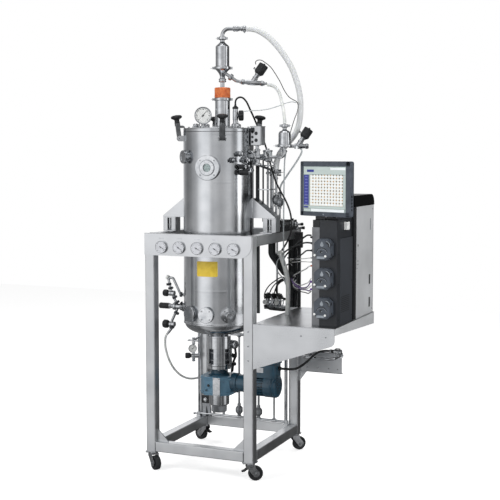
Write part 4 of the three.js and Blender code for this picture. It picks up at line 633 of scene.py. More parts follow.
surface = addNode(reinforcedSilicone, "ShaderNodeBsdfPrincipled", {"Base Color": linear("#dcdedc"),
        "Roughness": 0.32, "Coat Weight": 0.2, "Subsurface Weight": 0.3,
        "Subsurface Radius": (0.006, 0.006, 0.005)}, {"Base Color": ramp.outputs[0],
        "Normal": ridge.outputs[0]})
addNode(reinforcedSilicone, "ShaderNodeOutputMaterial", links={"Surface": surface.outputs[0]})

cords = [
    {"name": "exhaust_hose", "route": exhaustRoute, "width": 29, "finish": reinforcedSilicone, "length": 0.862,
     "stiffness": "stiff", "sides": 28},
    {"name": "inlet_hose", "route": inletRoute, "width": 16, "finish": milkySilicone, "length": 0.244,
     "stiffness": "medium", "sides": 20},
    {"name": "electrode_cable", "route": electrodeRoute, "width": 9, "finish": cableJacket, "length": 1.016,
     "stiffness": "limp", "sides": 14},
    {"name": "motor_cable", "route": motorCableRoute, "width": 12, "finish": cableJacket, "length": 0.405,
     "stiffness": "medium", "sides": 16},
    {"name": "sample_hose", "route": sampleRoute, "width": 12, "finish": milkySilicone, "length": 0.525,
     "stiffness": "medium", "sides": 16},
]
for cord in cords:
    shape, path = newShape(), catmullRom(cord["route"], cord["width"] * 0.35)
    addTube(shape, path, cord["width"] / 2, cord["sides"])
    piece = finishPiece(shape, cord["name"] + "_skin", cord["finish"], replaces=cord["name"], sharp=60)
print("camera and cords made")

# The vessel: jacketed shell, its welded flanges and its brackets; jacketLow to top is the straight wall.
vessel = {"radius": 177.8, "top": 1700.0, "jacketLow": 735.0, "dishLow": 681.0, "outlet": 60.0, "seal": 32.0,
          "sealLow": 601.0, "bracketLow": 1270.0, "bracketTip": 300.5, "bracketBack": 52}
clampAngles = {"left": -60, "front": 30, "right": 120, "rear": 210}
hinge = {"radius": 196.8, "z": 1668}
fittings = {"glassTurn": 8.2, "glassZ": 1523, "footZ": 795,
            "footTurns": ((-25, False), (5, False), (39.5, True)), "nozzleTurn": -36, "nozzleZ": 1576}


def makeVessel():
    r, shell = vessel["radius"], newShape()
    dish = [(vessel["outlet"] + f * (r - 5 - vessel["outlet"]), vessel["dishLow"]
            + (vessel["jacketLow"] - vessel["dishLow"]) * (1 - math.sqrt(max(0, 1 - f * f)))) for f in (0.1,
            0.2, 0.3, 0.4, 0.5, 0.6, 0.68, 0.76, 0.83, 0.89, 0.94, 0.98)]
    wall = [(12.6, vessel["sealLow"]), (vessel["seal"], vessel["sealLow"]), (vessel["seal"], 611), (28, 614),
            (28, 652), (vessel["outlet"], 655), (vessel["outlet"], 665), (46, 668), (48, 679),
            (vessel["outlet"], 682), *dish, (r - 5, 735), (r + 0.4, 736), (r + 1.8, 738), (r + 1.8, 744),
            (r + 0.4, 746), (r, 747), (r, 755)]
    # the jacket's courses meet in two faint ground welds
    for seam in (912, 1452):
        wall += [(r, seam - 9), (r, seam - 3), (r + 0.22, seam), (r, seam + 3), (r, seam + 9)]
    wall += [(r, 1676), (r, 1684), (r + 0.5, 1685.5), (r + 0.5, 1699), (r - 0.8, 1700), (164.8, 1700),
            (164.8, 1690)]
    addTurned(shell, wall, count=160, capped=False, ease=0.6)
    addTurned(shell, [(r + 0.45, 1699.95), (r - 2, 1700.28), (164, 1700.28)], count=96, slot=2, capped=False,
            ease=0)
    finishPiece(shell, "vessel_shell", [electropolishedSteel, buffedFitting, treadRubber], replaces="vessel",
            sharp=30)


def addRadialFlange(shape, degrees, z, profile, count=48, slot=0):
    addTurned(shape, profile, (0, 0, z), radial(1, degrees, 0), count, slot)


def makeVesselFittings():
    r, made = vessel["radius"], newShape()
    glass, glassZ, footZ, footTurns, nozzle, nozzleZ = fittings.values()
    # sight glass: heavy bolted flange with a clear disc
    addRadialFlange(made, glass, glassZ, [(62, r - 12), (62, r + 19), (60, r + 20), (39, r + 20),
            (38.5, r + 17.5), (36.5, r + 17.5), (36, r + 26), (20, r + 26), (18.5, r + 24), (18.5, r + 14)], 80,
            1)
    addRadialFlange(made, glass, glassZ, [(18.8, r + 13), (0.1, r + 13)], 40, 3)
    addRadialFlange(made, glass, glassZ, [(18.6, r + 21), (12, r + 21.6), (0.1, r + 21.8)], 40, 2)
    setRing(made, socketScrew(9, 2.6, 1, 3), radial(r + 20, glass, glassZ), radial(1, glass, 0), 50, 4, 45)
    setRing(made, socketScrew(4.4, 0.8, 1, 3), radial(r + 26, glass, glassZ), radial(1, glass, 0), 30.5, 8,
            22.5)
    # two blanked ports and one with a probe, round the foot of the jacket
    for degrees, probed in footTurns:
        if probed:
            addRadialFlange(made, degrees, footZ, [(38, r - 12), (38, r + 15), (20, r + 16), (19, r + 24),
                    (19, r + 36), (17, r + 38), (11, r + 38), (10, r + 35), (0.1, r + 35)], 56, 1)
        else:
            addRadialFlange(made, degrees, footZ, [(31, r - 12), (31, r + 6), (40, r + 9), (40, r + 19.5),
                    (38.5, r + 21), (0.1, r + 21)], 56, 1)
        circle, out = (30, r + 16) if probed else (29, r + 21)
        setRing(made, socketScrew(8, 3.2, 1, 3), radial(out, degrees, footZ), radial(1, degrees, 0), circle, 4,
                45)
    # nozzles on the left and the right
    addRadialFlange(made, nozzle, nozzleZ, [(25, r - 12), (25, r + 9), (33, r + 12), (33, r + 17),
            (29, r + 18.5), (29, r + 20), (33, r + 21.5), (33, r + 26), (22, r + 26), (20, r + 23),
            (0.1, r + 23)], 48, 1)
    setRing(made, hexBolt(8, 17, 1), radial(r + 11, nozzle, nozzleZ), radial(1, nozzle, 0), 27, 4, 45)
    for y, z, radius, out in ((-20, 806, 18, 189.8), (-20, 869, 11, 189.8)):
        addTurned(made, [(radius * 0.8, 160), (radius * 0.8, out - 9), (radius, out - 8), (radius, out - 1),
                (radius * 0.8, out)], (0, y, z), (-1, 0, 0), 32, 1)
    addTurned(made, [(19, 160), (19, 182), (22, 184), (22, 191), (17, 191.8)], (0, 0, 1575), (1, 0, 0), 40, 1)
    finishPiece(made, "vessel_fittings", [electropolishedSteel, buffedFitting, sightGlass, blackNylon],
            replaces="vessel", sharp=32)


# Folded gussets that carry the vessel: two cheeks, a sloping back and a foot with its stud hole.
def makeBrackets():
    low, tip, r, half, sheet = vessel["bracketLow"], vessel["bracketTip"], vessel["radius"], 35, 6
    made = newShape()
    for side in (-1, 1):
        outline = [(side * (r - 3), low), (side * tip, low), (side * tip, low + sheet),
                (side * (r + 1), low + 100), (side * (r - 3), low + 100)]
        back = vessel["bracketBack"] if side > 0 else 0  # the right-hand bracket sits further back
        for y in (back - half, back + half - sheet):
            addPrism(made, outline, "XZ", -(y + sheet), -y, 0, 0.8)
        addBox(made, *sorted((side * (r - 3), side * tip)), back - half + 5, back + half - 5, low, low + sheet,
                0)
        slope = [(side * (tip - 1), low + 0.5), (side * tip, low + sheet), (side * (r + 1), low + 100),
                (side * (r - 1), low + 93)]
        addPrism(made, slope, "XZ", -back - half + 5.5, -back + half - 5.5, 0, 0.4)
        # fillet weld down the wall
        for y in (back - half - 1, back + half + 1):
            edge = math.sqrt(r * r - y * y)
            addTube(made, [(side * edge, y, low + 2), (side * edge, y, low + 98)], 2.4, 10, 1)
    # hinge ears and pins of the four head clamps come with the shell
    for degrees in clampAngles.values():
        place = turnZ(degrees - 90, 0, 0, hinge["z"])
        for y0 in (-18.5, 14.5):
            ear = newShape()
            outline = [(173, -14), (199, -14)] + arcPoints(197, 0, 13, -60, 60, 8) + [(199, 14), (173, 14)]
            addPrism(ear, outline, "XZ", -(y0 + 4), -y0, 0, 0.8)
            addShape(made, ear, place)
        pin, out = newShape(), hinge["radius"]
        addPuck(pin, (out, -20.5, 0), (out, 20.5, 0), 4, 0.7, 20, 1)
        for end in (-20.5, 18.7):
            addPuck(pin, (out, end, 0), (out, end + 1.8, 0), 6, 0.5, 20, 1)
        addShape(made, pin, place)
    finishPiece(made, "vessel_brackets", [groundSheet, buffedFitting], replaces="vessel", sharp=35)


# Plain yellow vinyl patch curved round the jacket, without any print, its corners rounded
blankPatch = {"low": 986, "high": 1062, "start": -12.5, "end": 23, "corner": 4, "columns": 24}


def makePatch():
    patch, r, rings = newShape(), vessel["radius"] + 0.25, []
    low, high, start, end, corner, columns = blankPatch.values()
    for i in range(columns + 1):
        degrees = start + (end - start) * i / columns
        edge = min(i, columns - i) * math.radians(end - start) / columns * r
        pull = corner - math.sqrt(max(0, corner ** 2 - (corner - min(edge, corner)) ** 2))
        rings.append([radial(r, degrees, low + pull), radial(r + 0.25, degrees, low + pull),
                radial(r + 0.25, degrees, high - pull), radial(r, degrees, high - pull)])
    addRings(patch, rings)
    finishPiece(patch, "blank_patch", yellowVinyl, sharp=50)


makeVessel()
makeVesselFittings()
makeBrackets()
makePatch()
print("vessel made")


# The head plate with its small ports, bolted blanks and lifting eyes
def makeHead():
    r, plate = vessel["radius"], newShape()
    addTurned(plate, [(r - 14, 1700.3), (r - 1, 1700.3), (r, 1701.2), (r, 1715), (r - 1.2, 1717.5),
            (r - 4, 1719.4), (r - 8, 1720), (0.1, 1720)], count=160, capped=False, ease=0.5)
    for x, y in ((-95, 62), (-20, 105), (62, 104), (-118, -18), (112, -48)):
        addTurned(plate, [(14, 1719), (14, 1726), (15, 1727.5), (15, 1731), (12, 1732.5), (12, 1734),
                (15, 1735.5), (15, 1739), (13, 1741), (9, 1742), (8, 1744), (0.1, 1744)], (x, y, 0), (0, 0, 1),
                28, 1)
        addShape(plate, clampRing(19, 1, 4.5), turnZ(40 + x, x, y, 1733) @ Matrix.Scale(0.72, 4))
    for k in range(8):  # cap screws of the bolted blanks on the head
        at = radial(152, 15 + 45 * k, 1720)
        setPart(plate, socketScrew(11, 7, 1, 2), at, (0, 0, 1), (1, 0, 0))
    for degrees in (75, 255):  # lifting eyes
        at = radial(118, degrees, 1720)
        addPuck(plate, at, at + Vector((0, 0, 9)), 9, 1, 24, 1)
        ring = [at + Vector((9 * math.cos(a), 0, 18 + 9 * math.sin(a)))
                for a in [2 * math.pi * k / 24 for k in range(25)]]
        addTube(plate, ring, 3.2, 12, 1)
    finishPiece(plate, "head_plate_detail", [electropolishedSteel, buffedFitting, blackNylon],
            replaces="head_plate", sharp=32)


# The exhaust column on the head, closed by the first large clamp
column = {"x": 20.0, "y": 5.0, "radius": 37.5, "low": 1720.3, "high": 1869.3}


def makeColumn():
    x, y, r, low, high = column["x"], column["y"], column["radius"], column["low"], column["high"]
    made = newShape()
    addTurned(made, [(r + 2, low), (r + 6, low), (r + 6, low + 3), (r + 5, low + 7), (r, low + 10),
            (r, high - 13), (r + 3, high - 11.5), (r + 3, high - 7), (r + 3, high - 2), (r + 1, high),
            (0.1, high)], (x, y, 0), (0, 0, 1), 72, 0)
    ring = clampRing(r + 7, 0, 6)
    setPart(made, ring, (x, y, high - 6), -lateral, (0, 0, 1), scale=0.985)
    finishPiece(made, "exhaust_column_detail", buffedFitting, replaces="exhaust_column", sharp=32)


# Cast silicone collar round the stem above the column
collar = {"low": 1869.6, "high": 1921.6, "radius": 40}


def makeCollar():
    made, (low, high, r) = newShape(), collar.values()
    addTurned(made, [(10.5, low), (r - 2, low), (r, low + 3), (r, low + 14), (r - 0.6, low + 25), (r, low + 38),
            (r - 0.4, high - 3), (r - 3, high), (16, high), (13, high - 2), (10.5, high - 2)],
            (column["x"], column["y"], 0), (0, 0, 1), 72, 0, False, 1.6)
    finishPiece(made, "silicone_collar_cast", orangeSilicone, replaces="silicone_collar", sharp=40)


# Exhaust filter bowl on its stem, with the elbow that carries the large hose
bowl = {"radius": 34.5, "low": 2018.6, "top": 2148.6, "clamp": 43.0}


def makeExhaustFilter():
    x, y, low, top, r = column["x"], column["y"], bowl["low"], bowl["top"], bowl["radius"]
    made = newShape()
    addTurned(made, [(10, 1869.7), (10, low - 71), (17, low - 70), (19, low - 67), (19, low - 63.5),
            (17, low - 62.5), (17, low - 59.5), (19, low - 58.5), (19, low - 54), (16, low - 51.5),
            (13, low - 50), (13.5, low - 38), (18, low - 27), (27, low - 15), (r, low - 8), (r + 5, low - 4),
            (r + 5, low - 1), (r + 3.4, low), (r + 5, low + 1), (r + 5, low + 5), (r + 1, low + 8),
            (r, low + 10), (r, top - 24), (r - 3, top - 19), (15, top - 5), (11, top), (11, top + 8),
            (18, top + 10), (18, top + 16), (16.8, top + 17), (18, top + 18), (18, top + 25), (12, top + 27.5),
            (9.6, top + 28)], (x, y, 0), (0, 0, 1), 64, 0)
    setPart(made, clampRing(bowl["clamp"], 0, 7.5), (x, y, low), -lateral)
    setPart(made, clampRing(20.5, 0, 5.5), (x, y, top + 17), -lateral, scale=0.95)
    path = bentPath([(x, y, top + 27), (x, y, top + 64.5), (x + 70, y + 30.2, top + 64.5)], 34, 12)
    addTube(made, path, 9.6, 28, 0)
    tip = Vector((x + 50, y + 21.6, top + 64.5))
    addTurned(made, [(9.6, -2), (12.5, 0), (14, 2), (14, 9), (12.6, 10), (12.6, 13), (14, 14), (14, 22),
            (12, 24), (12, 30), (9, 32), (9, 36), (12, 38)], tip, lateral, 36, 0)
    addNut(made, tip + lateral * 37, tip + lateral * 47, 24, 0)
    addTurned(made, [(9, 46), (14.8, 48), (14.8, 51), (15.6, 52), (15.6, 61), (14.8, 62), (12, 64.3)], tip,
            lateral, 36, 0)
    setPart(made, hexBolt(6, 6, 0), tip + lateral * 56 + Vector((0, 0, -15)), (0, 0, -1), (1, 0, 0))
    # side branch towards the upper air valve, closed by its own small clamp
    a, b = Vector((x + 8, y + 3, low - 22)), Vector((x + 42, y + 16, low - 47))
    way = (b - a).normalized()
    addRod(made, a, b, 8, 28)
    addTurned(made, [(9, -10), (15, -8.5), (15, -5), (13.8, -4), (15, -3), (15, -0.2), (9, 0)], b, way, 36, 0)
    setPart(made, clampRing(17, 0, 4.6), b - way * 4.5, (0.39, -0.918, 0), way)
    finishPiece(made, "exhaust_filter_detail", buffedFitting, replaces="exhaust_filter", sharp=32)


# Angle-seat valve: welded body, a union nut at each end and a slanted bonnet with a moulded actuator
slant = (lateral * 0.56 + Vector((0, 0, 0.828))).normalized()


def angleValve(shape, a, b, hub, capRadius, capLength):
    a, b = Vector(a), Vector(b)
    way, length = (b - a).normalized(), (b - a).length
    addTurned(shape, [(8.5, 0), (9.5, 2), (9.5, length * 0.2), (12.6, length * hub - 16), (13.6, length * hub),
            (12.6, length * hub + 16), (10, length * 0.86), (9, length)], a, way, 32, 0)
    for f in (0.08, 0.84):
        start = a + way * length * f
        addNut(shape, start, start + way * 13, 27, 0)
        addPuck(shape, start - way * 3, start + way * 16, 11.2, 0.8, 28, 0)
    seat = a + way * length * hub
    addTurned(shape, [(12.5, 0), (12.2, 22), (14.5, 25), (14.5, 29), (11.4, 31), (11.4, 44), (15, 46),
            (15, 54)], seat, slant, 36, 0)
    addNut(shape, seat + slant * 31, seat + slant * 40, 25, 0)
    cap = flutedGrip([(capRadius * 0.66, 50), (capRadius * 0.8, 53), (capRadius * 0.98, 59), (capRadius, 62),
            (capRadius, 70), (capRadius * 0.96, 71.5), (capRadius, 73), (capRadius, 50 + capLength - 7),
            (capRadius * 0.93, 50 + capLength - 1.5), (capRadius * 0.6, 50 + capLength), (0.1, 50 + capLength)],
            16, 0.05, 96, 1)
    setPart(shape, cap, seat, slant)
    addTurned(shape, [(5, 0), (5, 3), (3.5, 5.5), (0.1, 6)], seat + slant * (50 + capLength - 1), slant, 20, 2)
    side = facing(seat, slant) @ Matrix.Translation((66, 0, 0))
    elbow = newShape()  # push-in fitting for the control air
    addPuck(elbow, (0, 0, capRadius - 3), (0, 0, capRadius + 7), 4.4, 0.8, 18, 0)
    addPuck(elbow, (0, 0, capRadius + 6), (0, 0, capRadius + 11), 5.2, 0.8, 18, 1)
    addShape(shape, elbow, side @ Matrix.Rotation(math.radians(-20), 4, "X"))


# The upper air valve hangs on the filter's side branch, the side one behind the inlet filter.
def makeAirValves():
    made = newShape()
    start = Vector((62.3, 21.2, 1971.3))
    addTube(made, bentPath([start, start + Vector((23, 9.2, -16.9)), start + Vector((46, 18, -19))], 30, 8), 8,
            28, 0)
    addTurned(made, [(9, 0.2), (15, 0.4), (15, 4), (9.5, 6)], start, (23, 9.2, -16.9), 32, 0)
    a = start + Vector((38, 15, -20))
    b = a + Vector((118, 44, -10))
    angleValve(made, a, b, 0.5, 25, 58)
    addTurned(made, [(8, -4), (8, 1), (5.6, 2), (5.6, 6), (6.6, 7), (5.6, 9), (6.4, 11), (5, 12)], b, lateral,
            24, 0)
    finishPiece(made, "upper_air_valve_detail", [buffedFitting, blackNylon, blackNylon],
            replaces="upper_air_valve", sharp=32)
    made = newShape()
    a = Vector((377.3, 80.1, 1629))
    angleValve(made, a, a + lateral * 66, 0.25, 24, 54)
    finishPiece(made, "side_air_valve_detail", [buffedFitting, blackNylon, blackNylon],
            replaces="side_air_valve", sharp=32)


# Inlet filter on the rack, with its bonnet clamp and the short pipe to the side air valve
inlet = {"x": 333.0, "y": 62.0, "base": 1617.0, "radius": 31.0}


def makeInletFilter():
    x, y, base, r = inlet["x"], inlet["y"], inlet["base"], inlet["radius"]
    made = newShape()
    addTurned(made, raised(base, [(10, 0), (13, 0.5), (13, 5), (r + 1, 8), (r + 3.5, 10), (r + 3.5, 13),
            (r + 2.2, 14), (r + 3.5, 15), (r + 3.5, 18), (r, 22), (r, 72), (r - 1.5, 79), (r - 7, 86), (14, 91),
            (10, 95), (10, 103), (16, 105), (16, 112), (14.8, 113), (16, 114), (16, 119), (7, 121.5), (7, 124),
            (0.1, 124)]), (x, y, 0), (0, 0, 1), 64, 0)
    setPart(made, clampRing(r + 7, 0, 6.5), (x, y, base + 14), -lateral)
    setPart(made, clampRing(18, 0, 5), (x, y, base + 113), lateral)
    addRod(made, (x + 20, y + 8, base + 12), (x + 44, y + 18, base + 12), 8.4, 28)
    finishPiece(made, "inlet_filter_detail", buffedFitting, replaces="inlet_filter", sharp=32)


# Pressure gauge on the head, turned a little to the right
headGauge = {"x": -71, "y": -30, "z": 1783, "radius": 44, "depth": 28, "rim": 6.5, "needle": -38}


def makeHeadGauge():
    x, y, z, r, depth, rim, needle = headGauge.values()
    made = newShape()
    out = radial(1, 23, 0)
    setPart(made, dialGauge(r, depth, rim, needle=needle), Vector((x, y, z)) - out * 14, out)
    addTurned(made, [(13, 1720.3), (16, 1720.5), (16, 1726), (9, 1728), (7, 1730), (7, 1738), (9, 1739)],
            (x, y, 0), (0, 0, 1), 32, 0)
    addNut(made, (x, y, 1730), (x, y, 1741), 17, 0)
    setPart(made, clampRing(18, 0, 4.6), (x, y, 1724.5), -lateral, scale=0.9)
    finishPiece(made, "head_pressure_gauge_detail", [buffedFitting, dialEnamel, dialInk],
            replaces="head_pressure_gauge", sharp=32)


# Retractable electrode: steel housing, moulded top and the fluted knob on its side
electrode = {"x": 84, "y": 20, "base": 1720.3}


def makeElectrode():
    x, y, base = electrode.values()
    made = newShape()
    addTurned(made, raised(base, [(14, 0), (17, 0.5), (17, 6), (13, 9), (12.5, 12), (12.5, 40), (13.5, 41.5),
            (13.5, 82), (12.5, 84), (12.5, 95)]), (x, y, 0), (0, 0, 1), 36, 0)
    addTurned(made, raised(base, [(12, 94), (15, 96), (15, 104), (9, 107.5), (6, 110), (5.2, 117),
            (4.6, 117.2)]), (x, y, 0), (0, 0, 1), 32, 1)
    hub = Vector((x, y, base + 62))
    addTurned(made, [(9, 6), (9, 13), (7.4, 15), (7.4, 19)], hub, lateral, 28, 0)
    knob = flutedGrip([(10, 14), (20, 16), (26.5, 19), (27, 24), (27, 34), (25, 40), (18, 42), (0.1, 42)], 10,
            0.10, 80, 1)
    setPart(made, knob, hub, lateral)
    setPart(made, clampRing(18.5, 0, 4.6), (x, y, base + 5), lateral, scale=0.9)
    finishPiece(made, "head_electrode_detail", [buffedFitting, blackNylon], replaces="head_electrode", sharp=32)


# Swing clamps: a cast body on the vessel's ears, a nose over the head plate, and a threaded knob
def makeHeadClamps():
    for name, degrees in clampAngles.items():
        foot = radial(hinge["radius"], degrees, hinge["z"])
        place = turnZ(degrees - 90, foot.x, foot.y, foot.z)
        lean = place @ Matrix.Rotation(math.radians(8), 4, "Y")
        body, cast = newShape(), newShape()
        outline = [(-11, 0), (-10, -6)] + arcPoints(0, -1.5, 10.6, 200, 340, 10) + [(10, -6), (11, 0),
                (11.5, 30), (11, 58), (9, 66), (-9, 66), (-11, 58)]
        addPrism(cast, outline, "XZ", -14, 14, 0, 2.2)
        addPuck(cast, (0, 0, 62), (0, 0, 76), 13.8, 1.5, 36, 0)
        for y in (-14.4, 13.2):
            addPuck(cast, (0, y, 0), (0, y + 1.2, 0), 8.5, 0.4, 28, 0)
        addShape(body, cast, lean)
        jaw = newShape()
        addPrism(jaw, [(-28, 53), (-26, 52.4), (2, 52.4), (3, 64), (-18, 64), (-26, 59)], "XZ", -10.5, 10.5, 0,
                1.0)
        addShape(body, jaw, place)
        finishPiece(body, "head_clamp_" + name + "_cast", clampCasting, "head_clamp_" + name, sharp=40)
        knob = newShape()
        addTurned(knob, [(13, 76.3), (13.8, 78), (13.8, 81), (12.6, 82), (12.6, 93), (13.4, 95)], count=40)
        top = flutedGrip([(13, 93), (15, 95), (26, 101), (28, 104), (28, 108.5), (25, 113), (17, 116),
                (0.1, 117.2)], 12, 0.07, 96, 0)
        addShape(knob, top, Matrix.Rotation(math.radians(-90), 4, "Y"))
        setPart(knob, socketScrew(9, 1.2, 1, 0), (0, 0, 116.4), (0, 0, 1), (1, 0, 0))
        finishPiece(moved(knob, lean), "clamp_knob_" + name + "_moulded", [blackNylon, zincPlate],
                "clamp_knob_" + name, sharp=40)


makeHead()
makeColumn()
makeCollar()
makeExhaustFilter()
makeAirValves()
makeInletFilter()
makeHeadGauge()
makeElectrode()
makeHeadClamps()
print("head made")


# The frame: square tube, belt-ground along its length and butt-welded
tube = {"size": 50.8, "corner": 5.0, "halfWide": 292.5, "front": -245.0, "back": 413.0, "low": 94.0,
        "high": 1197.0, "post": 267.1, "standTop": 1269.7}


def addBar(shape, x0, x1, y0, y1, z0, z1, run, slot, corner=None):
    corner = tube["corner"] if corner is None else corner
    if run == "Z":
        addPrism(shape, roundedOutline(x0, x1, y0, y1, corner), "XY", z0, z1, slot)
    elif run == "X":
        addPrism(shape, roundedOutline(y0, y1, z0, z1, corner), "YZ", x0, x1, slot)
    else:
        addPrism(shape, roundedOutline(x0, x1, z0, z1, corner), "XZ", -y1, -y0, slot)


# Bead round the end of a rail where it meets a post
def addWeld(shape, plane, u0, u1, v0, v1, depth, slot):
    outline = roundedOutline(u0, u1, v0, v1, tube["corner"])
    u, v, n = planes[plane]
    addTube(shape, [u * p[0] + v * p[1] + n * depth for p in outline + outline[:2]], 2.2, 8, slot)


def makeFrame():
    s, side, front, back = tube["size"], tube["halfWide"], tube["front"], tube["back"]
    low, high, made = tube["low"], tube["high"], newShape()
    for sign in (-1, 1):
        x0, x1 = sorted((sign * (side - s), sign * side))
        for y0 in (front, back - s):
            addBar(made, x0, x1, y0, y0 + s, low, high, "Z", 0)
        for z0 in (low, high - s):
            addBar(made, x0, x1, front + s, back - s, z0, z0 + s, "Y", 2)
            for y in (front + s, back - s):
                addWeld(made, "XZ", x0, x1, z0, z0 + s, -y, 3)
    for y0 in (front, back - s):
        for z0 in (low, high - s):
            addBar(made, s - side, side - s, y0, y0 + s, z0, z0 + s, "X", 1)
            for x in (s - side, side - s):
                addWeld(made, "YZ", y0, y0 + s, z0, z0 + s, x, 3)
    # corner gussets above the front rail, with their beads
    for sign in (-1, 1):
        x, y, z, reach = sign * (side - s), front + s / 2, low + s, 62
        addPrism(made, [(x, z - 1), (x - sign * reach, z - 1), (x - sign * reach, z + 3),
                (x - sign * 3, z + reach), (x, z + reach)], "XZ", -y - 3, -y + 3, 1, 0.8)
        addTube(made, [(x - sign * (reach - 2), y, z), (x - sign * 2, y, z)], 3.6, 8, 3)
        addTube(made, [(x, y, z + 2), (x, y, z + reach - 2)], 3.6, 8, 3)
    # stands for the vessel brackets: folded channels, open in front, with a jack bolt
    for sign in (-1, 1):
        x, z0, z1 = sign * tube["post"], high, tube["standTop"]
        addPrism(made, [(x - 35, z0), (x + 35, z0), (x + 35, z0 + 4), (x - 35, z0 + 4)], "XZ", -28, 28, 4, 0.6)
        y = vessel["bracketBack"] if x > 0 else 0
        addPrism(made, [(x - 35, z1 - 5), (x + 35, z1 - 5), (x + 35, z1), (x - 35, z1)], "XZ", -y - 28, 28 - y,
                4, 0.6)
        for u0 in (-35, 31):
            addBox(made, x + u0, x + u0 + 4, y - 28, y + 28, z0 + 4, z1 - 5, 4, 0.8)
        for u0 in (-31.5, 11):
            addBox(made, x + u0, x + u0 + 20.5, y - 28, y - 24, z0 + 4, z1 - 5, 4, 0.8)
        addBox(made, x - 31, x + 31, y + 24, y + 28, z0 + 4, z1 - 5, 4, 0.8)
        addPuck(made, (x, y - 20, z0 + 4), (x, y - 20, z1 - 4), 5, 0.5, 20, 3)
        addNut(made, (x, y - 20, z0 + 4), (x, y - 20, z0 + 13), 16, 3)
        addNut(made, (x, y - 20, z0 + 30), (x, y - 20, z0 + 38), 16, 3)
        # stud, washer and nut that hold the bracket down
        addPuck(made, (x, y, z1 - 6), (x, y, 1281), 8, 0.8, 24, 3)
        addPuck(made, (x, y, 1276.2), (x, y, 1278.4), 14, 0.5, 28, 3)
        addNut(made, (x, y, 1278.4), (x, y, 1286), 22, 3)
    # screws through the right front post that hold the shelf's apron
    for z in (738, 667, 597):
        setPart(made, socketScrew(9.5, 2.6, 3, 5), (268, front, z), (0, -1, 0))
    for sign, y in ((1, front + s / 2), (-1, front + s / 2), (1, back - s / 2), (-1, back - s / 2)):
        x = sign * tube["post"]
        addBar(made, x - 31, x + 31, y - 31, y + 31, low - 4, low - 0.2, "Z", 6, 6)
        for dx in (-23, 23):
            for dy in (-23, 23):
                setPart(made, hexBolt(10, 5, 6), (x + dx, y + dy, low - 4), (0, 0, -1), (1, 0, 0))
        addPuck(made, (x, y, 74), (x, y, 90.5), 4.9, 0.4, 24, 6)
        addNut(made, (x, y, 69.8), (x, y, 76), 14, 6)
    finishPiece(made, "skid_frame_ground", [groundTubeUpright, groundTubeAcross, groundTubeDeep, buffedFitting,
            brushedSheet, blackNylon, zincPlate], replaces="skid_frame", sharp=35)


# Swivel casters: pressed fork and raceway, solid rubber wheel on a pressed rim, pedal brakes on two of them
# Each place is its name, its side, its Y, the angle it stands at and whether it has a brake.
casters = {"axle": 36.222, "trail": 27.5, "places": (
    ("front_right", 1, -219.6, 35, True), ("front_left", -1, -219.6, -35, False),
    ("rear_right", 1, 387.6, 50, False), ("rear_left", -1, 387.6, 165, True))}


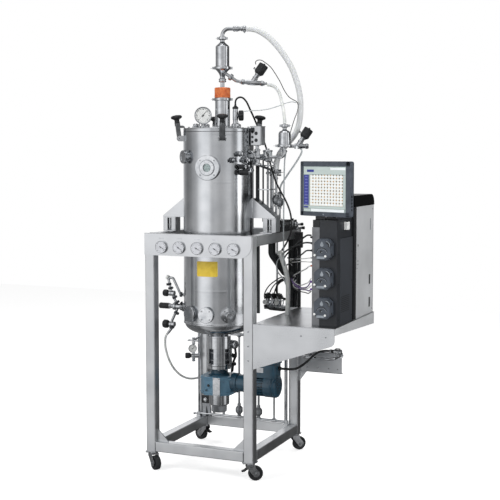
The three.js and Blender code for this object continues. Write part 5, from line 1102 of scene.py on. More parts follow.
def makeCasters():
    axle, trail, places = casters.values()
    for name, sign, y, turn, pedal in places:
        place = turnZ(turn, sign * tube["post"], y, 0)
        fork = newShape()
        addTurned(fork, [(6, 89.6), (21.5, 89.7), (23, 88.6), (23.4, 86), (22, 84.4), (22, 83.6), (24, 82.8),
                (23, 81.6), (6, 81.6)], count=48, capped=False)
        addPrism(fork, roundedOutline(-20, 22, -20, 20, 5), "XY", 79.7, 82.7, 0, 0.8)
        for side in (-1, 1):
            y0 = 17.1 if side > 0 else -20.1
            outline = [(-20, 80.5), (-18.5, 66), (-12, 60)] + arcPoints(trail, axle, 17, 215, 395,
                    12) + [(24, 66), (22, 80.5)]
            addPrism(fork, outline, "XZ", -(y0 + 3), -y0, 0, 0.7)
            setPart(fork, hexBolt(13, 5, 0, 2 if side < 0 else 0), (trail, side * 20.1, axle), (0, side, 0))
            addPuck(fork, (trail, side * 16.8, axle), (trail, side * 17.4, axle), 8, 0.2, 24, 0)
        addPuck(fork, (trail, -18, axle), (trail, 18, axle), 4.9, 0.3, 20, 0)
        if pedal:
            addPuck(fork, (-6, -21, 64.5), (-6, 21, 64.5), 2.5, 0.4, 16, 0)
        finishPiece(moved(fork, place), "caster_fork_" + name + "_pressed", [zincPlate], "caster_fork_" + name,
                sharp=35)
        wheel = newShape()
        tread = [(5.6, -16.3), (12.5, -16), (13.4, -14.6), (14, -11.5), (19, -11.5), (27, -12.8), (28.4, -14.4)]
        rubber = [(28.4, -14.4), (31, -14.6), (34, -13.4), (35.4, -11), (36.1, -6), (36.2, 0), (36.1, 6),
                (35.4, 11), (34, 13.4), (31, 14.6), (28.4, 14.4)]
        addTurned(wheel, tread, (0, 0, 0), (0, 1, 0), 56, 1, False)
        addTurned(wheel, rubber, (0, 0, 0), (0, 1, 0), 72, 0, False)
        addTurned(wheel, [(r, -d) for r, d in tread[::-1]], (0, 0, 0), (0, 1, 0), 56, 1, False)
        for side in (-1, 1):
            for k in range(5):
                a = 2 * math.pi * k / 5
                addPuck(wheel, (21 * math.cos(a), side * 11.2, 21 * math.sin(a)),
                        (21 * math.cos(a), side * 12.6, 21 * math.sin(a)), 2.4, 0.4, 14, 1)
        addTurned(wheel, [(5.6, -16.3), (5.6, 16.3)], (0, 0, 0), (0, 1, 0), 24, 1, False, 0)
        finishPiece(moved(wheel, place @ Matrix.Translation((trail, 0, axle))),
                "caster_wheel_" + name + "_rubber", [treadRubber, blackNylon], "caster_wheel_" + name, sharp=40)
        if pedal:
            made = newShape()
            outline = [(-6, 60.5), (-2.2, 62), (-1.6, 66), (-4, 68.6), (-9, 68), (-17, 65), (-30, 54.5),
                    (-38, 51.5), (-41.6, 50.6), (-42, 47), (-39, 46.4), (-30, 48), (-16, 56.5)]
            addPrism(made, outline, "XZ", -11, 11, 0, 1.0)
            for k in range(4):
                addBox(made, -40.5 + 3.4 * k, -38.7 + 3.4 * k, -9, 9, 50 + 1.0 * k, 52.2 + 1.35 * k, 0, 0.4)
            finishPiece(moved(made, place), "brake_pedal_" + name + "_moulded", [blackNylon],
                    "brake_pedal_" + name, sharp=40)


# The gauge panel: folded sheet with five small gauges, whose needles all rest near zero
gaugePanel = {"left": -293.5, "right": 286.5, "top": 1198.0, "low": 1090.0, "corner": 65.0, "front": -247.3,
              "needles": (-118, -122, -116, -120, -112), "spacing": 97.5}


def makeGaugePanel():
    left, right, top, low, corner, front, needles, spacing = gaugePanel.values()
    made = newShape()
    outline = [(left, top), (left, low)] + arcPoints(right - corner, low + corner, corner, -90, 0,
            16) + [(right, top)]
    addPrism(made, outline, "XZ", -(front + 2), -front, 0, 0.5)
    addPrism(made, roundedOutline(left, right, front, -231, 2), "XY", 1197.3, 1199.3, 0, 0.4)
    addTube(made, [(left + 2, front + 0.9, top + 0.5), (right - 2, front + 0.9, top + 0.5)], 1.3, 10, 0)
    for k, needle in enumerate(needles):
        x = (k - 2) * spacing - 2
        gauge = dialGauge(31, 12, 2.4, needle=needle, marks=13, case=1, dial=2, ink=3)
        addBox(made, x - 15, x + 15, front - 0.4, front + 0.5, 1173, 1178, 2, 0)
        setPart(made, gauge, (x, front, 1132), (0, -1, 0))
    finishPiece(made, "gauge_panel_folded", [groundSheet, buffedFitting, dialGrey, dialInk],
            replaces="gauge_panel", sharp=32)


makeFrame()
makeCasters()
makeGaugePanel()
print("frame, casters and gauge panel made")


# The shelf: folded stainless sheet with a deep front apron
shelf = {"left": 292.8, "right": 705.5, "front": -245.0, "back": 386.0, "top": 779.0}


def makeShelf():
    x0, x1, y0, y1, top = shelf.values()
    made = newShape()
    addPrism(made, roundedOutline(x0, x1, y0, y1, 2.5), "XY", top - 3, top, 1, 0.7)
    apron = ([(x0, top - 1), (x0, top - 223)] + arcPoints(x1 - 30, top - 88 + 30, 30, -71, 0,
            10) + [(x1, top - 1)])
    addPrism(made, apron, "XZ", -(y0 + 3), -y0, 0, 0.6)
    addPrism(made, [(y0 + 1, top - 1), (y0 + 1, top - 33), (y1, top - 62), (y1, top - 1)], "YZ", x1 - 3, x1, 2,
            0.6)
    addBox(made, x0, x0 + 3, y0 + 2, y0 + 34, top - 223, top - 2, 0, 0.5)
    addBox(made, x0, x1 - 2, y1 - 3, y1, top - 62, top - 2, 1, 0.5)
    # hem turned in under the apron's slope and under the side
    addPrism(made, [(x0 + 4, top - 222), (x0 + 4, top - 219), (x1 - 40, top - 84), (x1 - 40, top - 87)], "XZ",
            -(y0 + 16), -(y0 + 2), 0, 0.4)
    # rolled bend of the apron
    addTube(made, [(x0 + 1, y0 + 3.2, top - 3.2), (x1 - 1, y0 + 3.2, top - 3.2)], 3.4, 20, 3)
    for x in (539, 662):
        setPart(made, socketScrew(9, 2.4, 3, 4), (x, y0, 736), (0, -1, 0))
    for x, y in ((318, 60), (318, 340), (470, 372)):
        setPart(made, socketScrew(9, 2.2, 3, 4), (x, y, top), (0, 0, 1), (1, 0, 0))
    finishPiece(made, "instrument_shelf_folded", [groundSheet, brushedSheet, blastedWrap, buffedFitting,
            blackNylon], replaces="instrument_shelf", sharp=32)


# The utility panel behind the shelf: folded sheet with its pipe loop and service valve
utilityPanel = {"left": 292.8, "right": 532.5, "y": 385.0, "top": 545.0, "low": 435.0}


def makeUtilityPanel():
    x0, x1, y, top, low = utilityPanel.values()
    made = newShape()
    addBox(made, x0, x1, y, y + 3, low, top, 0, 0.6)
    for z in (top - 3, low):
        addPrism(made, roundedOutline(x0, x1, y, y + 22, 1.2), "XY", z, z + 3, 0, 0.4)
    addBox(made, x0, x0 + 4, y - 18, y + 22, low, top, 0, 0.8)
    addPrism(made, [(x0, low - 58), (x0 + 44, low + 2), (x0, low + 2)], "XZ", -(y + 4), -y, 0, 0.6)
    z = 535.0
    addTube(made, bentPath([(x0 + 60, y + 1, z), (x0 + 60, y - 120, z), (x1 - 6, y - 120, z),
            (x1 - 6, y + 1, z)], 30, 10), 7.9, 24, 1)
    for x in (x0 + 60, x1 - 6):
        addPuck(made, (x, y - 4, z), (x, y, z), 15, 1, 32, 1)
    # service valve with its lever and union
    vx, vy = x1 - 6, y - 52
    addPuck(made, (vx, vy, z), (vx, vy, z + 34), 8.6, 1, 24, 1)
    addNut(made, (vx, vy, z + 10), (vx, vy, z + 19), 22, 1)
    addTurned(made, [(9, 0), (13, 1), (13, 10), (10.5, 12), (10.5, 29), (13, 31), (13, 41), (9, 42)],
            (vx - 20, vy, z + 28), (1, 0, 0), 32, 1)
    addPuck(made, (vx - 44, vy, z + 29), (vx - 18, vy, z + 29), 8.5, 1.2, 24, 2)
    addNut(made, (vx - 43, vy, z + 29), (vx - 34, vy, z + 29), 19, 1)
    addBox(made, vx - 12, vx + 14, vy - 9, vy + 9, z + 41, z + 45, 2, 2)
    for x in (340, 400, 460, 510):
        setPart(made, socketScrew(8, 2, 1, 2), (x, y, low + 24), (0, -1, 0))
    finishPiece(made, "utility_panel_folded", [brushedSheet, buffedFitting, blackNylon],
            replaces="utility_panel", sharp=32)


# The controller tower: steel side strip, dark front plate, three peristaltic pumps
tower = {"left": 571.0, "front": -188.0, "deck": 779.3, "pumpX": 638.0, "pumps": (868.3, 1007.3, 1146.3)}
pumpOutline = {"half": 42, "tall": 49.5, "chamfer": 20, "soften": 3.0}


def octagon(inset=0.0):
    w, h, c, soften = pumpOutline.values()
    w, h = w - inset, h - inset
    corners = [(w, h - c), (w - c, h), (c - w, h), (-w, h - c), (-w, c - h), (c - w, -h), (w - c, -h),
            (w, c - h)]
    made = []
    for before, corner, after in zip(corners[-1:] + corners[:-1], corners, corners[1:] + corners[:1]):
        p, a, b = Vector(corner), Vector(before) - Vector(corner), Vector(after) - Vector(corner)
        made += [p + a.normalized() * soften, p.lerp(p + (a.normalized() + b.normalized()) * soften, 0.28),
                p + b.normalized() * soften]
    return [tuple(p) for p in made]


def makeTower():
    x0, y0, deck = tower["left"], tower["front"], tower["deck"]
    x1, made = x0 + 125, newShape()
    addBox(made, x0 + 4, x1 - 4, y0 + 7, y0 + 237, deck, deck + 410, 1, 1.5)
    addBox(made, x1 - 4, x1, y0 + 50, y0 + 237, deck, deck + 412, 7, 1.2)
    addBox(made, x0 + 4, x1 - 6, y0 + 7, y0 + 237, deck + 406, deck + 502, 1, 2)
    addPrism(made, roundedOutline(x0 + 39, x1, y0, y0 + 48, 2.5), "XY", deck, deck + 502, 1, 0.8)
    addPrism(made, roundedOutline(x0, x0 + 40, y0, y0 + 60, 3), "XY", deck, deck + 468, 0, 0.8)
    addPrism(made, roundedOutline(x0 + 3, x0 + 40, y0 + 2, y0 + 60, 3), "XY", deck + 468.5, deck + 502, 4, 0.8)
    addPuck(made, (x0 + 33, y0 + 1.4, deck + 484), (x0 + 33, y0 + 3, deck + 484), 3.4, 0.3, 20, 5)
    # joints of the folded front plate
    for z in (deck + 112, deck + 414):
        addBox(made, x0 + 41, x1 - 4, y0 - 0.3, y0 + 1, z, z + 1.2, 4, 0)
    # light data port and its cover on the right of the head
    addBox(made, x1 - 7, x1 + 13, y0 + 118, y0 + 152, deck + 451, deck + 488, 2, 3.5)
    addPuck(made, (x1 + 3, y0 + 135, deck + 487), (x1 + 3, y0 + 135, deck + 494), 4, 1, 20, 4)
    for z in (deck + 30, deck + 200, deck + 340):
        setPart(made, socketScrew(6, 1.2, 4, 4), (x1, y0 + 24, z), (1, 0, 0))
        setPart(made, socketScrew(6, 1.2, 4, 4), (x1, y0 + 222, z), (1, 0, 0))
    # the vent slots are not cut: near-black strips on the cheek stand for them, painted shade of the openings
    for k in range(9):  # vent slots low on the outer cheek
        addBox(made, x1 - 0.4, x1 + 0.25, y0 + 60, y0 + 190, deck + 60 + 9 * k, deck + 63.5 + 9 * k, 4, 0)
    # pump bodies: back half with the tube's track, outlet notch and drive pin
    for z in tower["pumps"]:
        body, place = newShape(), Matrix.Translation((tower["pumpX"], y0, z))
        addPrism(body, octagon(), "XZ", 0, 21.8, 6, 1.0)
        addPuck(body, (0, -22.6, 0), (0, -21.7, 0), 30, 0.3, 48, 4)
        addPuck(body, (0, -22, 0), (0, -2, 0), 4.9, 0.4, 24, 3)
        for x in (-36, 30):
            setPart(body, socketScrew(6, 1.4, 3, 4), (x, -21.8, -20), (0, -1, 0))
        addBox(body, -46, -41.5, -18, -6, -22, 18, 6, 1.2)
        addShape(made, body, place)
    finishPiece(made, "controller_tower_folded", [darkSteelStrip, darkPowderCoat, whiteJacket, buffedFitting,
            blackNylon, dialInk, slateAbs, slatePowderCoat], replaces="controller_tower", sharp=35)
    # connectors along the strip: metal shells for black leads, clear barbs, one orange
    plugs = newShape()
    for rise, kind in ((170, 2), (206, 2), (282, 4), (300, 3), (320, 3), (355, 1), (390, 1), (418, 1)):
        at = Vector((x0, y0 + 26, deck + rise))
        addNut(plugs, at + Vector((0.4, 0, 0)), at - Vector((3, 0, 0)), 13, 0)
        addTurned(plugs, [(6, 2), (6, 9), (5, 12), (3, 18)] if kind < 3 else [(4.5, 2), (4.5, 6), (3.4, 7),
                (4.2, 9), (3.2, 11), (3.9, 13), (3, 15)], at, (-1, 0, 0), 20, kind)
    finishPiece(plugs, "tower_connectors", [buffedFitting, blackNylon, purpleJacket, clearPvc, orangeCap],
            sharp=35)


# Hinged pump covers with their drop mark, latch, blank band and tube clips; rotors behind them
def makePumps():
    for k, z in enumerate(tower["pumps"]):
        place = Matrix.Translation((tower["pumpX"], tower["front"], z))
        number, made = str(k + 1), newShape()
        addPrism(made, octagon(), "XZ", 22.3, 38.5, 0, 1.0)
        addPrism(made, octagon(4), "XZ", 38, 43, 0, 1.6)
        # curved window of the rotor
        addPrism(made, arcPoints(-2, -20, 29, 14, 166, 20), "XZ", 42.6, 44, 2, 0.5)
        addPrism(made, arcPoints(-2, -21, 26, 16, 164, 20), "XZ", 43.6, 44.4, 1, 0.2)
        addPrism(made, arcPoints(-2, -21, 24.6, 16, 164, 20), "XZ", 44, 44.8, 0, 0.2)
        addPuck(made, (-5, -44.4, -10), (-5, -45.2, -10), 6.4, 0.2, 24, 2)
        addPuck(made, (-1, -45, -12), (-1, -46, -12), 2.4, 0.3, 16, 1)
        drop = arcPoints(-2, 22, 8.2, -222, 42, 18) + [(-2, 38.5)]
        addPrism(made, drop, "XZ", 42.8, 44.6, 1, 0.4)
        latch = [(17, 41), (28, 41), (40, 29), (40, 13), (31, 13), (31, 22), (17, 34)]
        addPrism(made, latch, "XZ", 42, 47, 2, 0.8)
        addPrism(made, [(19, 39.5), (27.4, 39.5), (38.6, 28.4), (38.6, 15), (35.8, 15), (35.8, 27), (26, 36.8),
                (19, 36.8)], "XZ", 46.5, 47.6, 1, 0.3)
        addPrism(made, roundedOutline(-28, 10, -43, -32, 3), "XZ", 42.8, 44, 1, 0.3)
        for x, dz in ((-38, -27), (15, -31)):
            addTurned(made, [(5.6, 38), (5.6, 44.5), (4.4, 46), (0.1, 46.4)], (x, 0, dz), (0, -1, 0), 24, 4)
        for dz in (-24, 24):
            addPuck(made, (42, -31, dz - 7), (42, -31, dz + 7), 3.4, 0.8, 18, 2)
        finishPiece(moved(made, place), "pump_cover_" + number + "_moulded",
                [slateAbs, pumpFace, blackNylon, buffedFitting, whiteJacket], "pump_cover_" + number, sharp=35)
        rotor = newShape()
        lobes = []
        for angle in (90, 210, 330):
            lobes += arcPoints(16 * math.cos(math.radians(angle)), 16 * math.sin(math.radians(angle)), 7.4,
                    angle - 100, angle + 100, 12)
        for low, high in ((4.4, 7), (16, 18.6)):
            addPrism(rotor, lobes, "XZ", low, high, 0, 0.5)
        addTurned(rotor, [(5.7, 4.3), (9, 4.4), (9, 18.6), (5.7, 18.8)], (0, 0, 0), (0, -1, 0), 28, 0, False)
        for angle in (90, 210, 330):
            x, dz = 16 * math.cos(math.radians(angle)), 16 * math.sin(math.radians(angle))
            addPuck(rotor, (x, -16.2, dz), (x, -6.8, dz), 6.6, 0.5, 28, 1)
            addPuck(rotor, (x, -18.9, dz), (x, -4.2, dz), 2, 0.3, 14, 1)
        finishPiece(moved(rotor, place), "pump_rotor_" + number + "_turned", [pumpFace, buffedFitting],
                "pump_rotor_" + number, sharp=35)


# The cabinet: blasted wrap with vents and slots, and its black moulded cap
cabinet = {"left": 499.5, "right": 699.5, "front": 61.0, "back": 385.0, "deck": 779.3, "top": 1332.3,
           "capLow": 1332.6, "capHigh": 1388.3}


def makeCabinet():
    x0, x1, y0, y1, deck, top, z0, z1 = cabinet.values()
    made = newShape()
    addPrism(made, roundedOutline(x0, x1, y0, y1, 3), "XY", deck, top, 0, 0.8)
    addBox(made, x1 - 0.6, x1 + 0.05, y1 - 14, y1 - 12.6, deck + 6, top - 4, 1, 0)
    addBox(made, x1 - 0.6, x1 + 0.05, y0 + 9, y0 + 10.2, deck + 6, top - 4, 1, 0)
    addBox(made, x0 - 0.6, x1 + 0.8, y0 - 1.6, y0 + 29, deck + 0.5, top - 0.5, 1, 1)  # black front frame
    addBox(made, x1 - 0.4, x1 + 1.0, y0 + 29.6, y0 + 33, deck + 1, top - 1, 3, 0.4)
    for z in (deck + 33, deck + 150):
        addPrism(made, roundedOutline(y1 - 78, y1 - 55, z, z + 50, 3), "YZ", x1 - 1, x1 + 0.15, 1, 0)
    for y, z, size in ((y0 + 62, deck + 362, 6.5), (y0 + 50, deck + 285, 3), (y0 + 66, deck + 285, 3),
            (y0 + 50, deck + 268, 3), (y0 + 66, deck + 268, 3), (y0 + 48, deck + 249, 3.4)):
        addPuck(made, (x1 - 0.2, y, z), (x1 + 0.3, y, z), size, 0.1, 20, 1)
    addPrism(made, roundedOutline(y1 - 63, y1 - 55, deck + 426, deck + 486, 3), "YZ", x1, x1 + 0.3, 4, 0.1)
    for z in (deck + 20, top - 20):
        for y in (y0 + 20, y1 - 24):
            setPart(made, socketScrew(7, 1.6, 3, 1), (x1, y, z), (1, 0, 0))
            setPart(made, socketScrew(7, 1.6, 3, 1), (x0, y, z), (-1, 0, 0))
    # rear: louvres, a fan guard, an inlet and cable entries
    # the louvres' openings are near-black strips under thin slats: painted shade of the openings
    for z in range(340, 484, 24):
        z += deck
        addPrism(made, roundedOutline(x0 + 30, x1 - 30, z, z + 10, 4), "XZ", -y1 - 0.2, -y1 + 0.6, 1, 0)
        addBox(made, x0 + 31, x1 - 31, y1 - 0.4, y1 + 1.6, z + 8.6, z + 10.4, 0, 0.4)
    for radius in (18, 30, 42, 52):
        ring = [Vector((x0 + 100 + radius * math.cos(a), y1 + 1.6, deck + 230 + radius * math.sin(a)))
                for a in [2 * math.pi * i / 40 for i in range(41)]]
        addTube(made, ring, 1.2, 8, 3)
    addPrism(made, arcPoints(x0 + 100, deck + 230, 53, 0, 354, 59), "XZ", -y1 - 0.3, -y1 + 0.5, 1, 0)
    for angle in (45, 135):
        a = math.radians(angle)
        addTube(made, [(x0 + 100 - 55 * math.cos(a), y1 + 1.2, deck + 230 - 55 * math.sin(a)),
                (x0 + 100 + 55 * math.cos(a), y1 + 1.2, deck + 230 + 55 * math.sin(a))], 1.4, 8, 3)
    addBox(made, x0 + 36, x0 + 66, y1 - 1, y1 + 1.4, deck + 60, deck + 84, 1, 1)
    for x in (96, 126, 156):
        addPuck(made, (x0 + x, y1 - 1, deck + 72), (x0 + x, y1 + 2.6, deck + 72), 11, 0.8, 28, 1)
        addPuck(made, (x0 + x, y1 + 2, deck + 72), (x0 + x, y1 + 2.9, deck + 72), 7, 0.3, 24, 3)
    finishPiece(made, "controller_cabinet_wrapped", [blastedWrap, blackNylon, greyPowderCoat, buffedFitting,
            slateAbs], replaces="controller_cabinet", sharp=32)
    cap = newShape()
    outline = ([(y0 - 3, z0), (y1 + 3, z0)] + arcPoints(y1 + 3 - 50, z1 - 50, 50, 0, 90,
            14) + arcPoints(y0 - 3 + 24, z1 - 24, 24, 90, 180, 10))
    addPrism(cap, outline, "YZ", x0 - 2, x1 + 2, 0, 2.2)
    finishPiece(cap, "cabinet_cap_moulded", capGloss, replaces="cabinet_cap", sharp=32)


# The monitor: swivel arm, yoke and display. Tilt is the height of the bar it tilts about, panel the screen's depth.
monitor = {"x": 667.0, "y": -112.0, "foot": 1281.3, "tilt": 1426.3, "turn": -20, "bar": -35, "back": -40.0,
           "panel": 98.7}
# What the screen shows: header, blue index column, cream grid and status bar, each as left, right, low, high, slot
# and lift
screenFields = [
    (-120, 130, 68, 104, 5, 0.10), (-101, -59, 79.5, 91, 6, 0.25), (40, 128, 90, 100, 7, 0.2),
    (-120, -90, -75, 67, 6, 0.10), (-119, -94, -88, -81, 6, 0.12), (-82, 115, -78, 66, 3, 0.10),
    (117, 130, -86, 66, 5, 0.10), (-90, 130, -90, -80, 5, 0.10), (-76, 122, -105, -92, 7, 0.10),
    (-120, -78, -105, -94, 5, 0.10)]


def makeMonitor():
    x, y, foot, tilt, turned, bar, back, panel = monitor.values()
    arm = newShape()
    addPrism(arm, roundedOutline(x - 46, x + 18, y - 40, y + 34, 6), "XY", foot + 0.3, foot + 12, 0, 1.2)
    addTurned(arm, raised(foot, [(19, 11), (19, 16), (15, 21), (15, 112), (16.5, 114), (16.5, 118), (15, 119)]),
            (x, y, 0), (0, 0, 1), 48, 0)
    addPrism(arm, [(y - 34, foot + 11), (y, foot + 11), (y, foot + 62), (y - 10, foot + 58),
            (y - 30, foot + 22)], "YZ", x - 8, x + 8, 0, 1.2)
    for dx, dy in ((-40, -34), (-40, 28), (12, -34), (12, 28)):
        setPart(arm, socketScrew(8, 3, 1, 1), (x + dx, y + dy, foot + 12), (0, 0, 1), (1, 0, 0))
    finishPiece(arm, "monitor_arm_coated", [darkPowderCoat, zincPlate], replaces="monitor_arm", sharp=35)
    place = turnZ(turned, x, y, tilt)
    yoke, low = newShape(), foot + 119.3 - tilt
    addTurned(yoke, raised(low, [(15, 0), (19.5, 0.4), (20, 3), (20, 10), (18, 12), (0.1, 12)]), count=48)
    addPrism(yoke, roundedOutline(-18, 18, -35, 6, 4), "XY", low + 3, low + 17, 0, 1.2)
    addBox(yoke, -18, 18, -44, -26, low + 3, 0, 0, 2)
    addPuck(yoke, (-18, bar, 0), (18, bar, 0), 9, 1, 32, 0)
    addPuck(yoke, (-30, bar, 0), (30, bar, 0), 6, 0.6, 24, 1)
    finishPiece(moved(yoke, place), "monitor_yoke_coated", [darkPowderCoat, zincPlate], "monitor_yoke",
            sharp=35)
    made = newShape()
    # bezel: a rounded frame round the sunk screen, a deeper rear shell with vents, and the tilt lugs
    addPrism(made, roundedOutline(-141, 157, -127, 130, 9), "XZ", 72, 98.6, 0, 3.5)
    addPrism(made, roundedOutline(-140.5, 156.5, -126.5, 129.5, 9), "XZ", 70, 72.5, 1, 1.2)
    for u0, u1, v0, v1 in ((-140.5, 156.5, 106, 129.5), (-140.5, 156.5, -126.5, -106),
            (-140.5, -122, -126, 129), (132.4, 156.5, -126, 129)):
        addPrism(made, roundedOutline(u0, u1, v0, v1, 4), "XZ", 95, 100, 0, 1.4)
    addPrism(made, roundedOutline(-132, 132, -100, 100, 14), "XZ", 40, 75, 0, 4)
    # the rear vents are near-black strips on the shell: painted shade of the openings
    for k in range(14):
        addPrism(made, roundedOutline(-80, 80, 52 - 3.2 * k, 53.4 - 3.2 * k, 0.6), "XZ", 39.7, 41, 1, 0)
    for k in range(5):  # buttons down the lower right edge
        addPuck(made, (156.4, -86, -92 + 15 * k), (158.2, -86, -92 + 15 * k), 5.2, 0.6, 24, 1)
    addPuck(made, (0, -100.6, -117.5), (0, -99.6, -117.5), 3.6, 0.3, 20, 4)
    for side in (-1, 1):
        u0, u1 = sorted((side * 18.3, side * 28))
        addBox(made, u0, u1, back - 2, bar, -10, 10, 0, 1)
        addTurned(made, [(6.8, u0), (11, u0 + 0.2), (11, u1 - 0.6), (10, u1), (6.8, u1)], (0, bar, 0),
                (1, 0, 0), 36, 0, False)
    # the screen, its fields, and the grid's rows of blank cells with their small marks
    addPrism(made, [(-122, -106), (132.4, -106), (132.4, 106), (-122, 106)], "XZ", 96, panel, 2)
    for u0, u1, v0, v1, slot, lift in screenFields:
        addPrism(made, [(u0, v0), (u1, v0), (u1, v1), (u0, v1)], "XZ", panel - 0.2, panel + lift, slot)
    for row in range(10):
        v = -71 + 14.4 * row
        addPrism(made, roundedOutline(-114, -97, v - 3.5, v + 3.5, 2.5), "XZ", panel, panel + 0.3, 9)
        for cell in range(11):
            u = -73 + 17.6 * cell
            addPrism(made, roundedOutline(u - 6.4, u + 6.4, v - 4.6, v + 4.6, 3), "XZ", panel, panel + 0.2, 7)
            slot = 8 if (row * 5 + cell * 3) % 7 < 2 else 10
            addPrism(made, roundedOutline(u + 6.2, u + 11.4, v + 4.0, v + 10.2, 1.2), "XZ", panel, panel + 0.3,
                    slot)
    shown = [screens[name] for name in ("header", "blue", "pale", "amber", "violet", "text")]
    finishPiece(moved(made, place), "monitor_display", [slateAbs, blackNylon, screens["glass"],
            screens["cream"], pumpFace, *shown], "monitor", sharp=35)


makeShelf()
makeUtilityPanel()
makeTower()
makePumps()
makeCabinet()
makeMonitor()
print("shelf, tower, cabinet and monitor made")


# The drive under the vessel, from the lantern below the dish down to the drains
drive = {
    "lanternLow": 514.7, "lanternHigh": 666.7, "sleeve": 60.0, "bore": 51.0, "windowLow": 524.0,
    "windowHigh": 602.0, "axis": 429.4, "boxLow": 369.4, "boxHigh": 463.4, "half": 82.0, "chamfer": 38.0,
    "cowlStart": 264.0, "fins": 24, "strutTurn": 26, "strutHalf": 29}


def makeLantern():
    low, high, r, bore = drive["lanternLow"], drive["lanternHigh"], drive["sleeve"], drive["bore"]
    made = newShape()
    for a, b in ((low, drive["windowLow"]), (drive["windowHigh"], high)):
        addTurned(made, [(bore, a), (r, a), (r, b), (bore, b), (bore, a)], count=96, capped=False, ease=1.2)
    half = drive["strutHalf"]
    for k in range(4):
        middle = drive["strutTurn"] + 90 * k
        outer = [radial(r - 0.3, middle + t, 0).xy for t in range(-half, half + 1, 2)]
        inner = [radial(bore, middle + t, 0).xy for t in range(half, -half - 1, -2)]
        addPrism(made, [tuple(p) for p in outer + inner], "XY", drive["windowLow"] - 1, drive["windowHigh"] + 1)
    # dark sleeve behind the windows, painted shade standing for the dark inside of the lantern, with its two polished
    # lands
    addTurned(made, [(44, low + 6), (48, low + 6), (48, high - 50), (44, high - 50)], count=72, slot=3)
    for z in (low + 24, low + 62):
        addTurned(made, [(47, z), (49.4, z + 1), (49.4, z + 7), (47, z + 8)], count=72)
    for k in range(8):
        setPart(made, socketScrew(8, 5, 1, 2), radial(r - 0.6, 23 + 45 * k, low + 10),
                radial(1, 23 + 45 * k, 0))
    finishPiece(made, "drive_lantern_turned", [buffedFitting, zincPlate, blackNylon, slatePowderCoat],
            replaces="drive_lantern", sharp=35)


# The agitator: coupling, shaft and two six-bladed turbines
agitator = {"low": 531.0, "turbines": (851, 1201)}


def makeAgitator():
    made, (low, turbines) = newShape(), agitator.values()
    for a, b in ((low, low + 17), (low + 27, low + 44)):
        addTurned(made, [(8, a), (20, a), (21, a + 1), (21, b - 1), (20, b), (8, b)], count=40)
    addTurned(made, [(14, low + 16), (20, low + 17), (20, low + 27), (14, low + 28)], count=40, slot=1)
    for k in range(6):
        at = radial(19.8, 60 * k, low + 22)
        setPart(made, socketScrew(6, 1, 0, 1), radial(20.6, 60 * k + 20, low + (8 if k % 2 else 35)),
                radial(1, 60 * k + 20, 0))
        addPuck(made, at - Vector((0, 0, 5)), at + Vector((0, 0, 5)), 1.1, 0.3, 8, 0)
    addTurned(made, [(20, low + 43), (12, low + 50), (10, low + 54), (10, 1438), (8, 1441), (0.1, 1441)],
            count=40)
    for z in turbines:
        addTurned(made, raised(z, [(10, -13), (18, -13), (20, -11), (20, 11), (18, 13), (10, 13)]), count=40)
        addTurned(made, [(19, z - 1.5), (38, z - 1.5), (38, z + 1.5), (19, z + 1.5)], count=64, ease=0.4)
        for k in range(6):
            blade = newShape()
            addBox(blade, 19, 55.8, -1.9, 1.9, -13, 13)
            addShape(made, blade, turnZ(60 * k - 90, 0, 0, z))
    finishPiece(made, "agitator_turned", [electropolishedSteel, blackNylon], "agitator", sharp=35)


def gearOutline(scale=1.0):
    h, c = drive["half"] * scale, drive["chamfer"] * scale
    return [(h, c - h), (h, h - c), (h - c, h), (c - h, h), (-h, h - c), (-h, c - h), (c - h, -h), (h - c, -h)]


